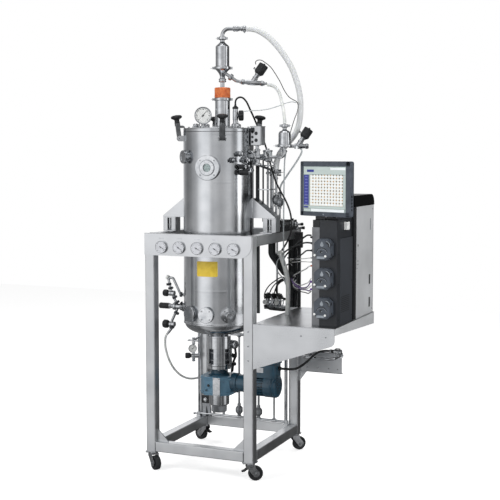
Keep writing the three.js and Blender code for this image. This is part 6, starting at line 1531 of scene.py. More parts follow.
def makeGearbox():
    low, high, half, made = drive["boxLow"], drive["boxHigh"], drive["half"], newShape()
    addPrism(made, gearOutline(), "XY", low, high, 0, 2.0)
    for z in (low + 8, high - 16):
        addPrism(made, gearOutline(1.035), "XY", z, z + 8, 0, 1.8)
    # the machined plate in front and the cast bosses beside it
    addPrism(made, [(4, low + 1), (43.5, low + 1), (43.5, high - 1), (4, high - 1)], "XZ", half + 2.0,
            half + 4.2, 1, 0.9)
    for x, z in ((9, low + 6), (38.5, low + 6), (9, high - 6), (38.5, high - 6)):
        setPart(made, socketScrew(6, 2.4, 1, 2), (x, -half - 4, z), (0, -1, 0))
    for x, z, size in ((-20, 420, 13), (-33, 396, 7)):
        addPuck(made, (x, -half + 1, z), (x, -half - 4, z), size, 1.0, 28, 0)
        setPart(made, hexBolt(size * 0.9, 4.5, 2), (x, -half - 3.8, z), (0, -1, 0))
    # the neck, and the flange on the motor side below, carry the darker copy of the blue enamel: painted shade
    neck = [(54, high - 1), (55, high), (55, high + 7), (53, high + 8), (45, high + 12), (45, high + 30),
            (47, high + 32), (56, high + 35), (30, high + 36)]
    addTurned(made, neck, count=72, slot=5)
    ring = [(30, high + 34), (58.5, high + 34.2), (60, high + 35.4), (60, high + 50), (58.5, high + 51),
            (30, high + 51)]
    addTurned(made, ring, count=72, slot=1)
    for k in range(8):
        setPart(made, hexBolt(9, 6, 3), radial(52.5, 22.5 + 45 * k, high + 34.4), (0, 0, -1), (1, 0, 0))
    addTurned(made, [(17, high + 50), (17, 529), (15.5, 530.6), (0.1, 530.6)], count=36, slot=1)
    base = low - 60
    addTurned(made, [(40, base - 1), (49, base + 1), (52, base + 5), (52, low - 7), (50.5, low - 6),
            (50.5, low - 4), (52, low - 3), (52, low + 0.5)], count=72, slot=1)
    knurl = flutedGrip([(0.1, 0), (33, 0), (37, 1.5), (40, 5), (40, 33), (38, 35.5)], 40, 0.06, 240, 4)
    setPart(made, knurl, (0, 0, base - 38), (0, 0, 1), (1, 0, 0))
    for x in (-26, 30):
        addTurned(made, [(5.6, 0.8), (7, 2), (7, 9), (5.8, 10), (5.8, 18)], (x, -8, 260), (0, 0, 1), 24, 1)
    # flange on the motor side in the darker copy of the blue enamel: painted shade
    addTurned(made, [(49, -2), (50, -1), (50, 14), (49, 15)], (half, 0, drive["axis"]), (1, 0, 0), 72, 5)
    for k in range(4):
        a = math.radians(45 + 90 * k)
        at = Vector((half + 2, 42 * math.cos(a), drive["axis"] + 42 * math.sin(a)))
        setPart(made, hexBolt(11, 7, 3), at + Vector((6, 0, 0)), (-1, 0, 0))
    finishPiece(made, "gearbox_cast", [gearEnamel, buffedFitting, blackNylon, zincPlate, tumbledCasting,
            shadedBlueEnamel], replaces="gearbox", sharp=35)


def makeMotor():
    # the motor's whole coat is the darker copy of the blue enamel: painted shade
    z, cowl, made = drive["axis"], drive["cowlStart"], newShape()
    addTurned(made, [(30, 96.4), (49, 96.4), (50, 97.4), (50, 109), (48, 110.5), (44, 112), (44, 170),
            (46, 172), (58, 173.5), (59, 175), (59, 182), (58, 184), (46, 185)], (0, 0, z), (1, 0, 0), 80, 0)
    addTurned(made, [(47, 183), (47, 265)], (0, 0, z), (1, 0, 0), 60, 0, ease=0)
    for k in range(drive["fins"]):
        angle = 360 * (k + 0.5) / drive["fins"]
        if 42 < angle < 318:
            fin = newShape()
            addPrism(fin, [(184, 44), (264, 44), (264, 56), (262, 57), (186, 57), (184, 56)], "XZ", -1.5, 1.5,
                    0, 0.4)
            addShape(made, fin, Matrix.Translation((0, 0, z)) @ Matrix.Rotation(math.radians(angle), 4, "X"))
    addTurned(made, [(50, cowl - 2), (58.4, cowl - 1), (59, cowl + 1), (59, 306), (57, 309), (57, 311),
            (59, 313), (58.6, 320), (55, 326), (45, 330.6), (16, 331), (15.5, 329.6)], (0, 0, z), (1, 0, 0), 96,
            0)
    # the air slots are near-black discs on the cowl: painted shade of the openings
    for k in range(12):  # air slots of the fan cowl
        for r in (24, 35):
            at = Vector((330.6, r * math.cos(math.radians(30 * k)), z + r * math.sin(math.radians(30 * k))))
            addPuck(made, at - Vector((1, 0, 0)), at + Vector((0.35, 0, 0)), 3.4, 0.1, 12, 2)
    for k in range(4):
        a = math.radians(45 + 90 * k)
        setPart(made, hexBolt(10, 6, 3), Vector((172, 50.5 * math.cos(a), z + 50.5 * math.sin(a))), (-1, 0, 0))
    # terminal box with its lid and cable gland
    addBox(made, 190, 326, -41, 41, 472, 545, 0, 8)
    addBox(made, 184.5, 331.5, -45.8, 45.8, 543, 554.2, 0, 9)
    addBox(made, 184.2, 331.8, -46, 46, 542.4, 544.4, 2, 9)
    for x in (192, 324):
        for y in (-38, 38):
            setPart(made, socketScrew(9, 1.2, 3, 2), (x, y, 552.9), (0, 0, 1), (1, 0, 0))
    addNut(made, (325, 8, 518.4), (331, 8, 518.4), 21, 2)
    addTurned(made, [(9.6, 0), (9.9, 2), (9.9, 5), (8, 8.6), (6.6, 9.6)], (330.6, 8, 518.4), (1, 0, 0), 28, 2)
    plate = newShape()  # blank plate on the box's front
    addPrism(plate, [(214, -0.5), (262, -0.5), (262, 24), (214, 24)], "XZ", 0, 0.7, 4, 0.3)
    addShape(made, plate, Matrix.Translation((0, -41, 500)))
    finishPiece(made, "drive_motor_cast", [shadedBlueEnamel, buffedFitting, blackNylon, zincPlate, zincPlate],
            replaces="drive_motor", sharp=35)


makeLantern()
makeAgitator()
makeGearbox()
makeMotor()
print("drive made")


# Sampling valve on the left flank with its steam loop
sample = {"x": -190.1, "y": -20.0, "z": 806.0, "returnZ": 869.0}


# Two flanges face to face, as under every clamp of the plant
def ferrule(shape, at, way, bore, wide):
    addTurned(shape, [(bore, -7), (wide - 2, -5), (wide, -3.6), (wide, -0.9), (wide - 1.2, 0), (wide, 0.9),
            (wide, 3.6), (wide - 2, 5), (bore, 7)], at, way, 36, 0)


def makeSampleValve():
    x0, y, z = sample["x"], sample["y"], sample["z"]
    made = newShape()

    def at(x, height):
        return Vector((x, y, height))

    addTurned(made, [(10, 0.1), (20, 0.2), (20, 7.5), (18.6, 8.5), (20, 9.5), (20, 16.5), (18, 18), (14, 21),
            (14, 42), (17, 44), (19, 46), (19, 57), (17.5, 60), (13, 62), (0.1, 62)], at(x0, z), (-1, 0, 0), 48,
            0)
    setPart(made, clampRing(23, 1, 6.0), at(x0 - 8.5, z), (0, -0.5, 0.86), (-1, 0, 0), scale=0.86)
    addNut(made, at(x0 - 58, z), at(x0 - 50, z), 34, 0)
    steam, drain = at(x0 - 70, z + 67), at(x0 - 70, z - 95)
    addTube(made, bentPath([at(x0 - 32, z), at(x0 - 70, z + 67)], 10), 6.5, 24)
    addTube(made, bentPath([steam, at(x0 - 90, z + 146), at(x0 - 62, z + 148), at(x0 - 18, sample["returnZ"]),
            at(x0, sample["returnZ"])], 13, 8), 6.3, 24)
    addTube(made, bentPath([at(x0 - 32, z), at(x0 - 70, z - 78), at(x0 - 72, z - 118), at(x0 - 92, z - 141)],
            14, 8), 6.9, 24)
    for spot in (steam, drain):
        addTurned(made, [(10, -18), (13, -17), (14, -15), (14, -3), (12.5, -2), (12.5, 2), (14, 3), (14, 12),
                (12, 14)], spot, (-1, 0, 0), 36, 0)
    # clamps along the loop, each with its wing nut standing off to the right
    joints = ((at(x0 - 16, sample["returnZ"]), (1, 0, 0), 13), (at(x0 - 40, z + 22), (0.49, 0, -0.87), 14),
            (at(x0 - 43, z - 35), (0.44, 0, 0.9), 14), (at(x0 - 86.5, z + 113), (0.1, 0, -0.99), 13),
            (at(x0 - 76, z + 93), (0.24, 0, -0.97), 13), (at(x0 - 53, z + 47), (0.49, 0, -0.87), 13),
            (at(x0 - 71, z - 112), (0.02, 0, 1), 13))
    for spot, way, wide in joints:
        ferrule(made, spot, way, 6.6, wide)
        setPart(made, clampRing(wide + 2.5, 1, 4.4), spot, Vector((0.6, -0.8, 0.1)), way, scale=0.84)
    # silicone end cap and its seat at the top of the loop
    addPuck(made, at(x0 - 96, z + 139), at(x0 - 88, z + 158), 10, 2.5, 28, 2)
    addTurned(made, [(5, -12), (6.4, -10), (6.4, -7), (5.4, -6), (6.2, -3), (5.2, 0)], at(x0 - 90, z - 139),
            (20, 0, 23), 24, 0)
    finishPiece(made, "sample_valve_detail", [buffedFitting, darkCasting, milkySilicone],
            replaces="sample_valve", sharp=32)
    grip = flutedGrip([(5, 0), (9.4, 0.2), (9.4, 6), (10.5, 8), (13.6, 17), (15.3, 23), (15.4, 30), (15.4, 72),
            (14.4, 76), (11, 78), (0.1, 78)], 12, 0.09, 96, 0)
    addTurned(grip, [(7, 0.1), (9.7, 0.2), (9.7, 7), (11, 9.5), (13.9, 17.5), (14.4, 20), (13, 22)], (0, 0, 0),
            (1, 0, 0), 40, 1)
    finishPiece(moved(grip, facing(at(x0 - 62.3, z), (-1, 0, 0))), "sample_handle_moulded",
            [blackNylon, buffedFitting], "sample_handle", sharp=40)
    for name, spot, r, length in (("steam_knob", steam, 18, 34), ("drain_knob", drain, 22, 36)):
        knob = flutedGrip([(r * 0.45, 0.1), (r * 0.6, 0.2), (r * 0.72, length * 0.1), (r * 0.96, length * 0.27),
                (r, length * 0.36), (r, length * 0.78), (r * 0.9, length * 0.92), (r * 0.7, length * 0.99),
                (r * 0.52, length), (0.1, length)], 8, 0.13, 96, 0)
        addTurned(knob, [(r * 0.52, length - 0.6), (r * 0.52, length - 0.02), (r * 0.4, length), (0.1, length)],
                (0, 0, 0), (1, 0, 0), 32, 1, ease=0)
        finishPiece(moved(knob, facing(spot - Vector((14.3, 0, 0)), (-1, 0, 0))), name + "_moulded",
                [blackNylon, pumpFace], name, sharp=40)


# Condensate and instrument-air pipework along the rear, with its traps and the small regulator
service = {"x": -282.5, "y": 344.2, "pipe": 160.8, "header": 616.0, "gauge": 526.0, "far": 233.7,
        "drops": ((-40, 6), (75, 6), (165, 5))}


# A hexagon union on a pipe, over its round collar
def pipeJoint(shape, at, way, bore):
    at, way = Vector(at), Vector(way).normalized()
    flats, long = bore * 2.9, 9.0
    addNut(shape, at - way * long * 0.5, at + way * long * 0.5, flats, 0)
    addPuck(shape, at - way * long * 0.75, at + way * long * 0.75, flats * 0.44, 0.7, 24, 0)


# Steam trap: a bowl in two halves between its necks; tail is where the upper neck ends above its middle
def trapProfile(z, tail, waist=()):
    lower = [(7.8, -34), (8, -24), (11, -22), (19, -12), (20, -9), (18.6, -8), (20, -7)]
    upper = [(20, 7), (18.6, 8), (20, 9), (19, 12), (11, 22), (8, 24), (7.8, tail)]
    return [(r, z + height) for r, height in (*lower, *waist, *upper)]


def makeServicePipework():
    x, y, pipe, header, gauge, far = (service[key] for key in ("x", "y", "pipe", "header", "gauge", "far"))
    made = newShape()
    for foot in (x, far + 2):
        addPrism(made, roundedOutline(foot - 14, foot + 14, y - 12, y + 12, 3), "XY", 145.2, 150, 0, 0.8)
        addPrism(made, roundedOutline(foot - 10, foot + 10, y - 9, y + 9, 4), "XY", 149, 168.6, 0, 1.2)
    addTube(made, [(x - 34, y, pipe - 4), (x - 20, y, pipe - 4), (x - 8, y, pipe - 4)], 5, 20)
    addNut(made, (x - 33, y, pipe - 4), (x - 24, y, pipe - 4), 13, 0)
    for a, b, r in (((x, y, pipe), (far, y, pipe), 7), ((x, y, header), (far, y, header), 8)):
        addRod(made, a, b, r, 28)
    addRod(made, (x, y, pipe), (x, y, header + 6), 6, 24)
    addRod(made, (far, y, pipe), (far, y, header), 9, 28)
    for dx, r in service["drops"]:
        addRod(made, (dx, y, pipe), (dx, y, header), r, 24)
        for z in (pipe + 9, header - 9):
            pipeJoint(made, (dx, y, z), (0, 0, 1), r)
        for z, bore in ((pipe, 7), (header, 8)):
            addPuck(made, (dx - 13, y, z), (dx + 13, y, z), bore + 1.6, 1.2, 28)
    for dx in (-40, 75):
        z = pipe + 40
        addTurned(made, trapProfile(z, 36, ((20, -1.2), (18.6, 0), (20, 1.2))), (dx, y, 0), (0, 0, 1), 48, 1)
        for top in (z + 30, z - 29):
            addNut(made, (dx, y, top - 5), (dx, y, top + 5), 17, 0)
    # regulator: body, dial and its little tee handle
    out = radial(1, 23, 0)
    setPart(made, dialGauge(23, 14, 3.4, 270, 13, -52, 0, 2, 3), Vector((x - 22, y - 34, gauge)) - out * 6, out)
    addPuck(made, (x - 34, y - 24, gauge - 42), (x + 6, y - 6, gauge - 42), 13, 2, 36)
    addTurned(made, [(6.8, 0), (7, 26), (11, 28), (11, 36), (7, 38), (7, 52)], (x - 22, y - 22, gauge - 74),
            (0, 0, 1), 28)
    addTurned(made, [(7, 84), (7, 96), (9.5, 98), (9.5, 108), (7, 110), (7, 126), (9.5, 127), (9.5, 133.5),
            (6, 134)], (x - 22, y - 22, gauge - 74), (0, 0, 1), 28)
    addRod(made, (x - 22, y - 22, gauge + 44), (x + 2, y, gauge + 60), 6, 24)
    addTube(made, [(x - 52, y - 22, gauge + 42), (x - 20, y - 22, gauge + 42), (x + 8, y - 22, gauge + 42)],
            4.9, 20)
    addPuck(made, (x - 52, y - 32, gauge + 42), (x - 52, y - 12, gauge + 42), 4.1, 1.2, 20)
    for z in (gauge - 70, gauge - 60):
        addNut(made, (x - 22, y - 22, z - 3.4), (x - 22, y - 22, z + 3.4), 16, 0)
    finishPiece(made, "service_pipework_detail", [buffedFitting, tumbledCasting, dialEnamel, dialInk],
            replaces="service_pipework", sharp=32)
    knob = flutedGrip([(6, 0.1), (9.5, 0.2), (11, 4), (15.4, 9), (16, 12), (16, 28), (14.5, 32.5), (10, 34),
            (0.1, 34)], 16, 0.08, 96, 0)
    place = facing((x - 34.6, y - 24.2, gauge - 42), (-math.cos(math.radians(24)), -math.sin(math.radians(24)),
            0))
    finishPiece(moved(knob, place), "regulator_knob_moulded", [blackNylon], "regulator_knob", sharp=40)


# Pipes between the vessel's right port, the top rail and the valve bank on the shelf
rack = {"x": 192.1, "port": 1575.0, "railLow": 1197.3, "railHigh": 1255.0, "trap": (268.0, 112.0, 1360.0),
        "tie": 1508.0, "bank": 800.0, "drop": (231.7, 218.0)}


def makePipeRack():
    x0, port, low, high, tie, bank = (rack[key] for key in ("x", "port", "railLow", "railHigh", "tie", "bank"))
    made = newShape()
    addTurned(made, [(14, 0.1), (25, 0.2), (27, 2), (27, 7), (25.6, 8), (27, 9), (27, 14), (25, 16), (15, 18),
            (15, 44), (12, 46)], (x0, 0, port), (1, 0, 0), 48)
    setPart(made, clampRing(30, 1, 6.5), (x0 + 8, 0, port), (0.2, -0.2, 0.95), (1, 0, 0), scale=0.88)
    addTurned(made, [(12, -42), (19, -41.5), (21, -39), (21, -33), (19, -30.5), (13, -29), (13, 30), (15, 31),
            (15, 38), (13, 40), (0.1, 40)], (x0 + 20, 0, port), (0, 0, 1), 40)
    addTube(made, bentPath([(x0 + 42, 0, port), (333, 62, port), (333, 62, 1616.6)], 22, 10), 8, 28)
    pipeJoint(made, (x0 + 52, 4, port), (0.85, 0.42, 0), 8)
    pipeJoint(made, (333, 62, 1604), (0, 0, 1), 8)
    # the manifold block on the top rail, its ports and screws
    addBox(made, 215.9, 298.3, 110.2, 231.8, low + 0.2, high - 0.2, 4, 3)
    for y in (128, 158, 188):
        setPart(made, hexBolt(13, 6, 0), (298.2, y, high - 20), (1, 0, 0))
        addPuck(made, (297.8, y + 14, low + 18), (300.6, y + 14, low + 18), 6, 0.8, 24, 2)
    for x in (226, 257, 288):
        setPart(made, hexBolt(12, 5, 0), (x, 110.3, low + 30), (0, -1, 0))
    for k, (x, y) in enumerate(((213.7, 134), (225.7, 150), (239.7, 134), (253.7, 150))):
        top = port - 64 + 8 * k
        addRod(made, (x, y, high - 1), (x, y, top), 5.9, 24)
        addPuck(made, (x, y, top - 3), (x, y, top), 6.4, 1.4, 24)
        for z in (high + 8, tie - 14 + 2 * k):
            pipeJoint(made, (x, y, z), (0, 0, 1), 6)
    for z in (tie, tie - 24):
        addTube(made, [(221.7, 142, z), (250, 142, z), (281.7, 142, z)], 4.8, 20)
    addRod(made, (x0 + 20, 0, port - 38), (235.7, 142, tie), 6, 24)
    tx, ty, tz = rack["trap"]
    addTurned(made, trapProfile(tz, 36), (tx, ty, 0), (0, 0, 1), 48, 3)
    addRod(made, (tx, ty, high - 1), (tx, ty, tie - 8), 5.8, 24)
    for z in (high + 9, tz - 30, tz + 31, tie - 40):
        pipeJoint(made, (tx, ty, z), (0, 0, 1), 6)
    addRod(made, (tx - 8, ty + 2, tie - 24), (tx - 8, ty + 30, tie - 24), 4.9, 20)
    addTurned(made, raised(tie, [(8, -18), (17, -17), (18, -14), (18, -11), (16.6, -10), (18, -9), (18, -5),
            (16, -3), (12, -2), (12, 3), (10.5, 4), (7, 4)]), (tx, ty, 0), (0, 0, 1), 40)
    setPart(made, clampRing(19, 1, 7.5), (tx, ty, tie - 10), lateral, scale=0.95)
    # insulated pipes bending away below the rail, then the long drop to the valve bank
    for k in range(2):
        x, y = 227.7, 140 + 34 * k
        addTube(made, bentPath([(x, y, 1201), (x, y, 1079), (x + 52, y + 56, 977)], 44, 12), 12.9, 28, 2)
        addPuck(made, (x, y, 1190), (x, y, 1197), 14, 1.4, 28, 0)
    dx, dy = rack["drop"]
    addRod(made, (dx, dy, 1201), (dx, dy, bank), 4.9, 20)
    addBox(made, dx - 65.8, dx + 49.8, dy - 19.8, dy + 19.8, bank - 13.8, bank + 5.8, 1, 3)
    for offset in (-52, -20, 12):
        addTurned(made, [(9, 5), (12, 6), (12, 16), (9.5, 18), (9.5, 24), (12, 26), (12, 40), (10.5, 43.5),
                (0.1, 44)], (dx + offset, dy, bank), (0, 0, 1), 32)
        addNut(made, (dx + offset, dy, bank + 17), (dx + offset, dy, bank + 25), 22, 0)
    addRod(made, (dx + 40, dy, bank - 4), (288.4, dy, bank - 4), 6, 24)
    finishPiece(made, "pipe_rack_detail", [buffedFitting, tumbledCasting, foamSleeve, tumbledCasting,
            blackNylon], replaces="pipe_rack", sharp=32)


makeSampleValve()
makeServicePipework()
makePipeRack()
print("lines made")


# Thinner tubes and leads between the head, the rack, the valve bank and the tower, each a free line of its own:
# name, finish, width, stiffness, route
leads = [
    ("condensate_tube", clearPvc, 7, "medium", [
        (333, 82, 1600), (326, 83, 1560), (322, 84, 1436), (321, 82, 1285), (320, 84, 1159), (318, 93, 1080),
        (319, 99, 1026)]),
    ("bank_supply_hose", milkySilicone, 24, "stiff", [
        (286, 118, 1100), (300, 113, 1062), (318, 107, 1020), (332, 102, 975), (339, 100, 925), (339, 100, 860),
        (336, 100, 800), (335, 100, 780)]),
    ("looped_air_tube", clearPvc, 6, "limp", [
        (316, 110, 1092), (292, 112, 1072), (274, 112, 1044), (272, 112, 1012), (284, 111, 986),
        (310, 108, 960), (326, 112, 925)]),
    ("side_drain_tube", clearPvc, 9, "medium", [
        (402, 96, 1619), (410, 97, 1612), (410, 99, 1600), (395, 102, 1573), (372, 105, 1540), (345, 108, 1505),
        (314, 112, 1464), (293, 114, 1432), (287, 114, 1402)]),
    ("upper_air_lead", cableJacket, 4, "limp", [
        (178, 62, 2036), (176, 60, 2046), (183, 62, 2055), (203, 66, 2057), (223, 72, 2045), (251, 80, 2021),
        (270, 88, 1992), (293, 98, 1951), (315, 110, 1902), (333, 120, 1875), (350, 128, 1862),
        (368, 132, 1852), (378, 131, 1834), (377, 124, 1804), (367, 114, 1769), (357, 104, 1729),
        (349, 97, 1690), (347, 94, 1655), (345, 90, 1634)]),
    ("electrode_air_tube", clearPvc, 4.5, "limp", [
        (124, 36, 1803), (157, 40, 1806), (215, 54, 1809), (253, 66, 1816), (300, 84, 1832), (325, 100, 1843),
        (351, 118, 1850), (368, 128, 1846)]),
    ("sensor_lead_high", cableJacket, 8, "medium", [
        (556, -158, 1206), (538, -150, 1206), (500, -100, 1192), (450, -20, 1168), (400, 60, 1144),
        (352, 120, 1112), (300, 180, 1078), (262, 215, 1040)]),
    ("sensor_lead_middle", cableJacket, 8, "medium", [
        (556, -158, 1170), (535, -150, 1170), (500, -110, 1164), (430, -30, 1142), (378, 40, 1126),
        (318, 105, 1096), (262, 170, 1062), (235, 210, 1020)]),
    ("sensor_lead_low", cableJacket, 7, "medium", [
        (556, -158, 1134), (533, -150, 1132), (490, -100, 1110), (440, -30, 1086), (390, 40, 1064),
        (345, 100, 1040), (300, 155, 1018), (262, 205, 990)]),
    ("bank_lead_1", cableJacket, 6, "medium", [
        (306, 168, 962), (272, 166, 958), (240, 174, 940), (205, 184, 915), (180, 194, 886), (166, 204, 858),
        (165, 212, 838)]),
    ("bank_lead_2", cableJacket, 6, "medium", [
        (306, 172, 955), (276, 170, 950), (246, 178, 930), (216, 188, 900), (196, 200, 866), (186, 210, 836)]),
    ("bank_lead_3", cableJacket, 6, "medium", [
        (306, 176, 948), (280, 172, 940), (256, 176, 922), (236, 186, 896), (224, 198, 866), (218, 208, 840)]),
    ("bank_lead_thick", cableJacket, 11, "medium", [
        (306, 150, 951), (282, 152, 948), (262, 160, 930), (250, 166, 905), (250, 170, 878), (262, 172, 858),
        (290, 174, 849), (330, 178, 846)]),
    ("bank_drain_tube", clearPvc, 5, "limp", [
        (318, 176, 850), (290, 180, 842), (262, 190, 830), (240, 202, 812), (228, 214, 800)]),
    ("barb_tube_high", milkySilicone, 4.5, "limp", [
        (556, -162, 1099), (530, -130, 1094), (480, -40, 1082), (420, 60, 1070), (350, 160, 1056),
        (292, 250, 1046), (280, 300, 1030)]),
    ("barb_tube_low", milkySilicone, 4.5, "limp", [
        (556, -162, 1079), (530, -130, 1076), (475, -30, 1066), (410, 70, 1054), (345, 170, 1040),
        (292, 250, 1028), (282, 300, 1010)]),
    ("purge_tube", milkySilicone, 6, "limp", [
        (556, -162, 1061), (530, -120, 1052), (480, -20, 1030), (420, 70, 1006), (374, 150, 988),
        (325, 220, 968), (288, 300, 950)]),
    ("bus_wire_1", purpleJacket, 6, "limp", [
        (556, -160, 988), (530, -110, 966), (473, 0, 936), (390, 130, 918), (333, 210, 924), (292, 270, 940),
        (282, 330, 960)]),
    ("bus_wire_2", purpleJacket, 6, "limp", [
        (556, -160, 950), (520, -80, 930), (470, 10, 922), (410, 100, 912), (350, 190, 914), (298, 270, 926),
        (286, 330, 944)]),
    ("bus_wire_3", whiteJacket, 5, "limp", [
        (556, -156, 1000), (520, -90, 975), (453, 40, 948), (400, 120, 930), (350, 195, 926), (300, 268, 934),
        (290, 330, 950)]),
    ("bus_wire_4", whiteJacket, 5, "limp", [
        (556, -156, 966), (515, -80, 944), (455, 30, 926), (405, 110, 916), (350, 190, 904), (302, 268, 912),
        (294, 330, 930)]),
    ("bus_wire_5", cableJacket, 5, "limp", [
        (556, -156, 938), (515, -80, 918), (460, 20, 908), (410, 100, 900), (352, 190, 896), (304, 268, 902),
        (298, 330, 915)]),
]


def makeLeads():
    for name, finish, width, stiffness, route in leads:
        shape, path = newShape(), catmullRom(route, max(4.0, width * 0.7))
        addTube(shape, path, width / 2, 12)
        piece = finishPiece(shape, name, finish, sharp=60)


# Perforated cover over the vent trap, on a stem above the right port
headBox = {"x": (181, 239), "y": (-18, 40), "z": (1634, 1728), "hole": 7.5}


def makeHeadBox():
    (x0, x1), (y0, y1), (z0, z1), made = headBox["x"], headBox["y"], headBox["z"], newShape()
    addBox(made, x0, x1, y0, y1, z0, z1, 0, 6)
    addBox(made, x0 - 2, x1 + 2, y0 - 2, y1 + 2, z1 - 4, z1, 1, 6)
    # the perforations are not cut: near-black discs stand for them, painted shade of the holes
    for row in range(2):
        z = z0 + 24 + 34 * row
        addPuck(made, (x1 - 26, y0 - 0.6, z), (x1 - 26, y0 + 1, z), headBox["hole"] + 1.4, 0.2, 24, 2)
    for row in range(3):
        addPuck(made, (x0 + 12, y0 - 0.6, z0 + 16 + 24 * row), (x0 + 12, y0 + 1, z0 + 16 + 24 * row),
                headBox["hole"] - 1, 0.2, 24, 2)
    addPrism(made, roundedOutline(x0 + 4, x0 + 24, z1 - 30, z1 - 8, 2), "XZ", -(y0 + 1), -(y0 - 0.6), 2)
    addTurned(made, [(9, 1608), (14, 1610), (14, 1614), (9, 1616), (9, 1630), (18, 1632), (18, 1635)],
            (212.1, 0, 0), (0, 0, 1), 32, 1)
    finishPiece(made, "vent_trap_cover", [brushedSheet, buffedFitting, dialInk], sharp=35)


# Valves and clamps crowded round the right-hand ports of the vessel
def makePortCluster():
    made, r = newShape(), vessel["radius"]
    for degrees, z, reach in ((58, 1590, 34), (70, 1560, 40), (62, 1528, 46), (78, 1510, 38), (46, 1560, 26)):
        out = radial(1, degrees, 0)
        at = radial(r - 2, degrees, z)
        addTurned(made, [(9, 0), (9, reach * 0.4), (14, reach * 0.45), (14, reach * 0.56), (12.8, reach * 0.6),
                (14, reach * 0.64), (14, reach * 0.76), (9, reach * 0.8), (8, reach), (0.1, reach + 1)], at,
                out, 32, 0)
        setPart(made, clampRing(17, 1, 4.6), at + out * reach * 0.6, (-out.y, out.x, 0.2), out, scale=0.8)
    for degrees, z in ((62, 1528), (62, 1500)):
        spot = radial(r + 30, degrees, z)
        side = Vector((0.86, 0.5, 0))
        addPuck(made, spot - side * 26, spot + side * 20, 12 if z > 1510 else 14, 3, 36, 2)
        addPuck(made, spot + side * 20, spot + side * 28, 9, 1, 28, 0)
        addRod(made, radial(r - 3, degrees, z), spot, 7, 24)
    # tee above the port with its bonnet and the hose tail below
    addTurned(made, [(13, 0), (13, 30), (16, 32), (16, 40), (10, 44)], (236, -6, 1575), (0.86, -0.3, 0.25), 36,
            0)
    addPuck(made, (262, -15, 1583), (268, -17, 1585), 8, 1, 28, 2)
    addTube(made, bentPath([(190, -52, 1600), (214, -70, 1606), (226, -60, 1570), (214, -40, 1548)], 14), 5, 20)
    # clear bowl of the air filter behind the port
    addTurned(made, [(20, 1561), (23, 1563), (23, 1600), (21, 1603)], (243, 60, 0), (0, 0, 1), 40, 3)
    addTurned(made, [(8, 1550), (12, 1554), (24, 1557), (24.6, 1562), (22, 1563)], (243, 60, 0), (0, 0, 1), 40,
            0)
    addTurned(made, [(22, 1601), (25, 1602), (25, 1609), (20, 1611), (9, 1612), (9, 1618)], (243, 60, 0),
            (0, 0, 1), 40, 0)
    addRod(made, (212.1, 0, 1590), (243, 60, 1556), 6, 20)
    finishPiece(made, "port_cluster", [buffedFitting, darkCasting, blackNylon, clearPvc], sharp=35)


# Lagged and bare risers beside the rack, the second trap, and the fittings at the rear of the top rail
def makeRiserGroup():
    made = newShape()
    addTube(made, bentPath([(205, 30, 1575), (196, 42, 1562), (194, 48, 1435), (192, 52, 1286)], 20), 9.5, 24,
            1)
    addRod(made, (213.5, 72, 1566), (212, 76, 1250), 4.2, 20, 1)
    addRod(made, (225, 108, 1570), (225, 112, 1250), 4, 20, 0)
    addTube(made, bentPath([(213.5, 72, 1566), (240, 70, 1566), (268, 100, 1540)], 14), 4.2, 20, 0)
    for z in (1290, 1410, 1530):
        addBox(made, 188, 262, 40, 116, z, z + 6, 0, 2)
    x, y, z = 287, 114, 1349
    addTurned(made, trapProfile(z, 52), (x, y, 0), (0, 0, 1), 48, 2)
    addRod(made, (x, y, 1254), (x, y, z - 30), 5.6, 20)
    for level in (1262, z - 30, z + 30, z + 46):
        pipeJoint(made, (x, y, level), (0, 0, 1), 5.6)
    # solenoid block and unions on the corner of the top rail
    addBox(made, 246, 292, 240, 372, 1197.2, 1215, 3, 3)
    for k, (dx, dz) in enumerate(((0, 0), (17, 6), (34, 0))):
        at = Vector((256 + dx, 330, 1214))
        addTurned(made, [(8, 0), (8, 10 + dz), (11, 11 + dz), (11, 22 + dz), (8, 24 + dz)], at, (0, 0, 1), 28,
                0)
        addPuck(made, at + Vector((0, 0, 23 + dz)), at + Vector((0, 0, 34 + dz)), 7, 1, 24, 3)
    for z, reach in ((1222, 44), (1203, 52)):
        addTurned(made, [(6, 0), (6, 10), (9, 12), (9, 24), (6, 26), (6, reach - 12), (7, reach - 11),
                (7, reach), (0.1, reach + 1)], (276, 336, z), (1, 0.1, 0.05), 24, 0)
        addPuck(made, Vector((276 + reach - 4, 340, z + 2)), Vector((276 + reach + 9, 341, z + 2.6)), 8, 1.2,
                24, 3)
    addBox(made, 280, 322, 318, 362, 1100, 1182, 3, 4)
    addBox(made, 284, 318, 312, 320, 1112, 1168, 3, 3)
    # lagged pipes and cables strapped down the rear right post
    for x, y, radius, top, foot in ((250, 352, 8, 1197, 782), (266, 350, 9, 1197, 782),
            (283, 353, 7, 1190, 782), (297, 356, 5, 1130, 782), (297, 372, 5, 1140, 782)):
        addRod(made, (x, y, top), (x, y, foot), radius, 20, 1)
    for z in (860, 960, 1040):
        addBox(made, 239, 300, 341, 366, z, z + 7, 3, 2)
    # lagged riser just behind the right front post
    addTube(made, bentPath([(272, -130, 1183), (272.5, -130, 1000), (273, -130, 814)], 30), 8, 20, 1)
    # lagged pipes carried on from the rack to the post
    for k in range(2):
        a = Vector((279.7, 196 + 34 * k, 977))
        addTube(made, bentPath([a + Vector((-14, -15, 27)), a, a + Vector((14, 46, -14)),
                Vector((272, 338, 948 - 24 * k))], 40), 12.6, 24, 1)
    finishPiece(made, "riser_group", [buffedFitting, foamSleeve, tumbledCasting, blackNylon], sharp=35)


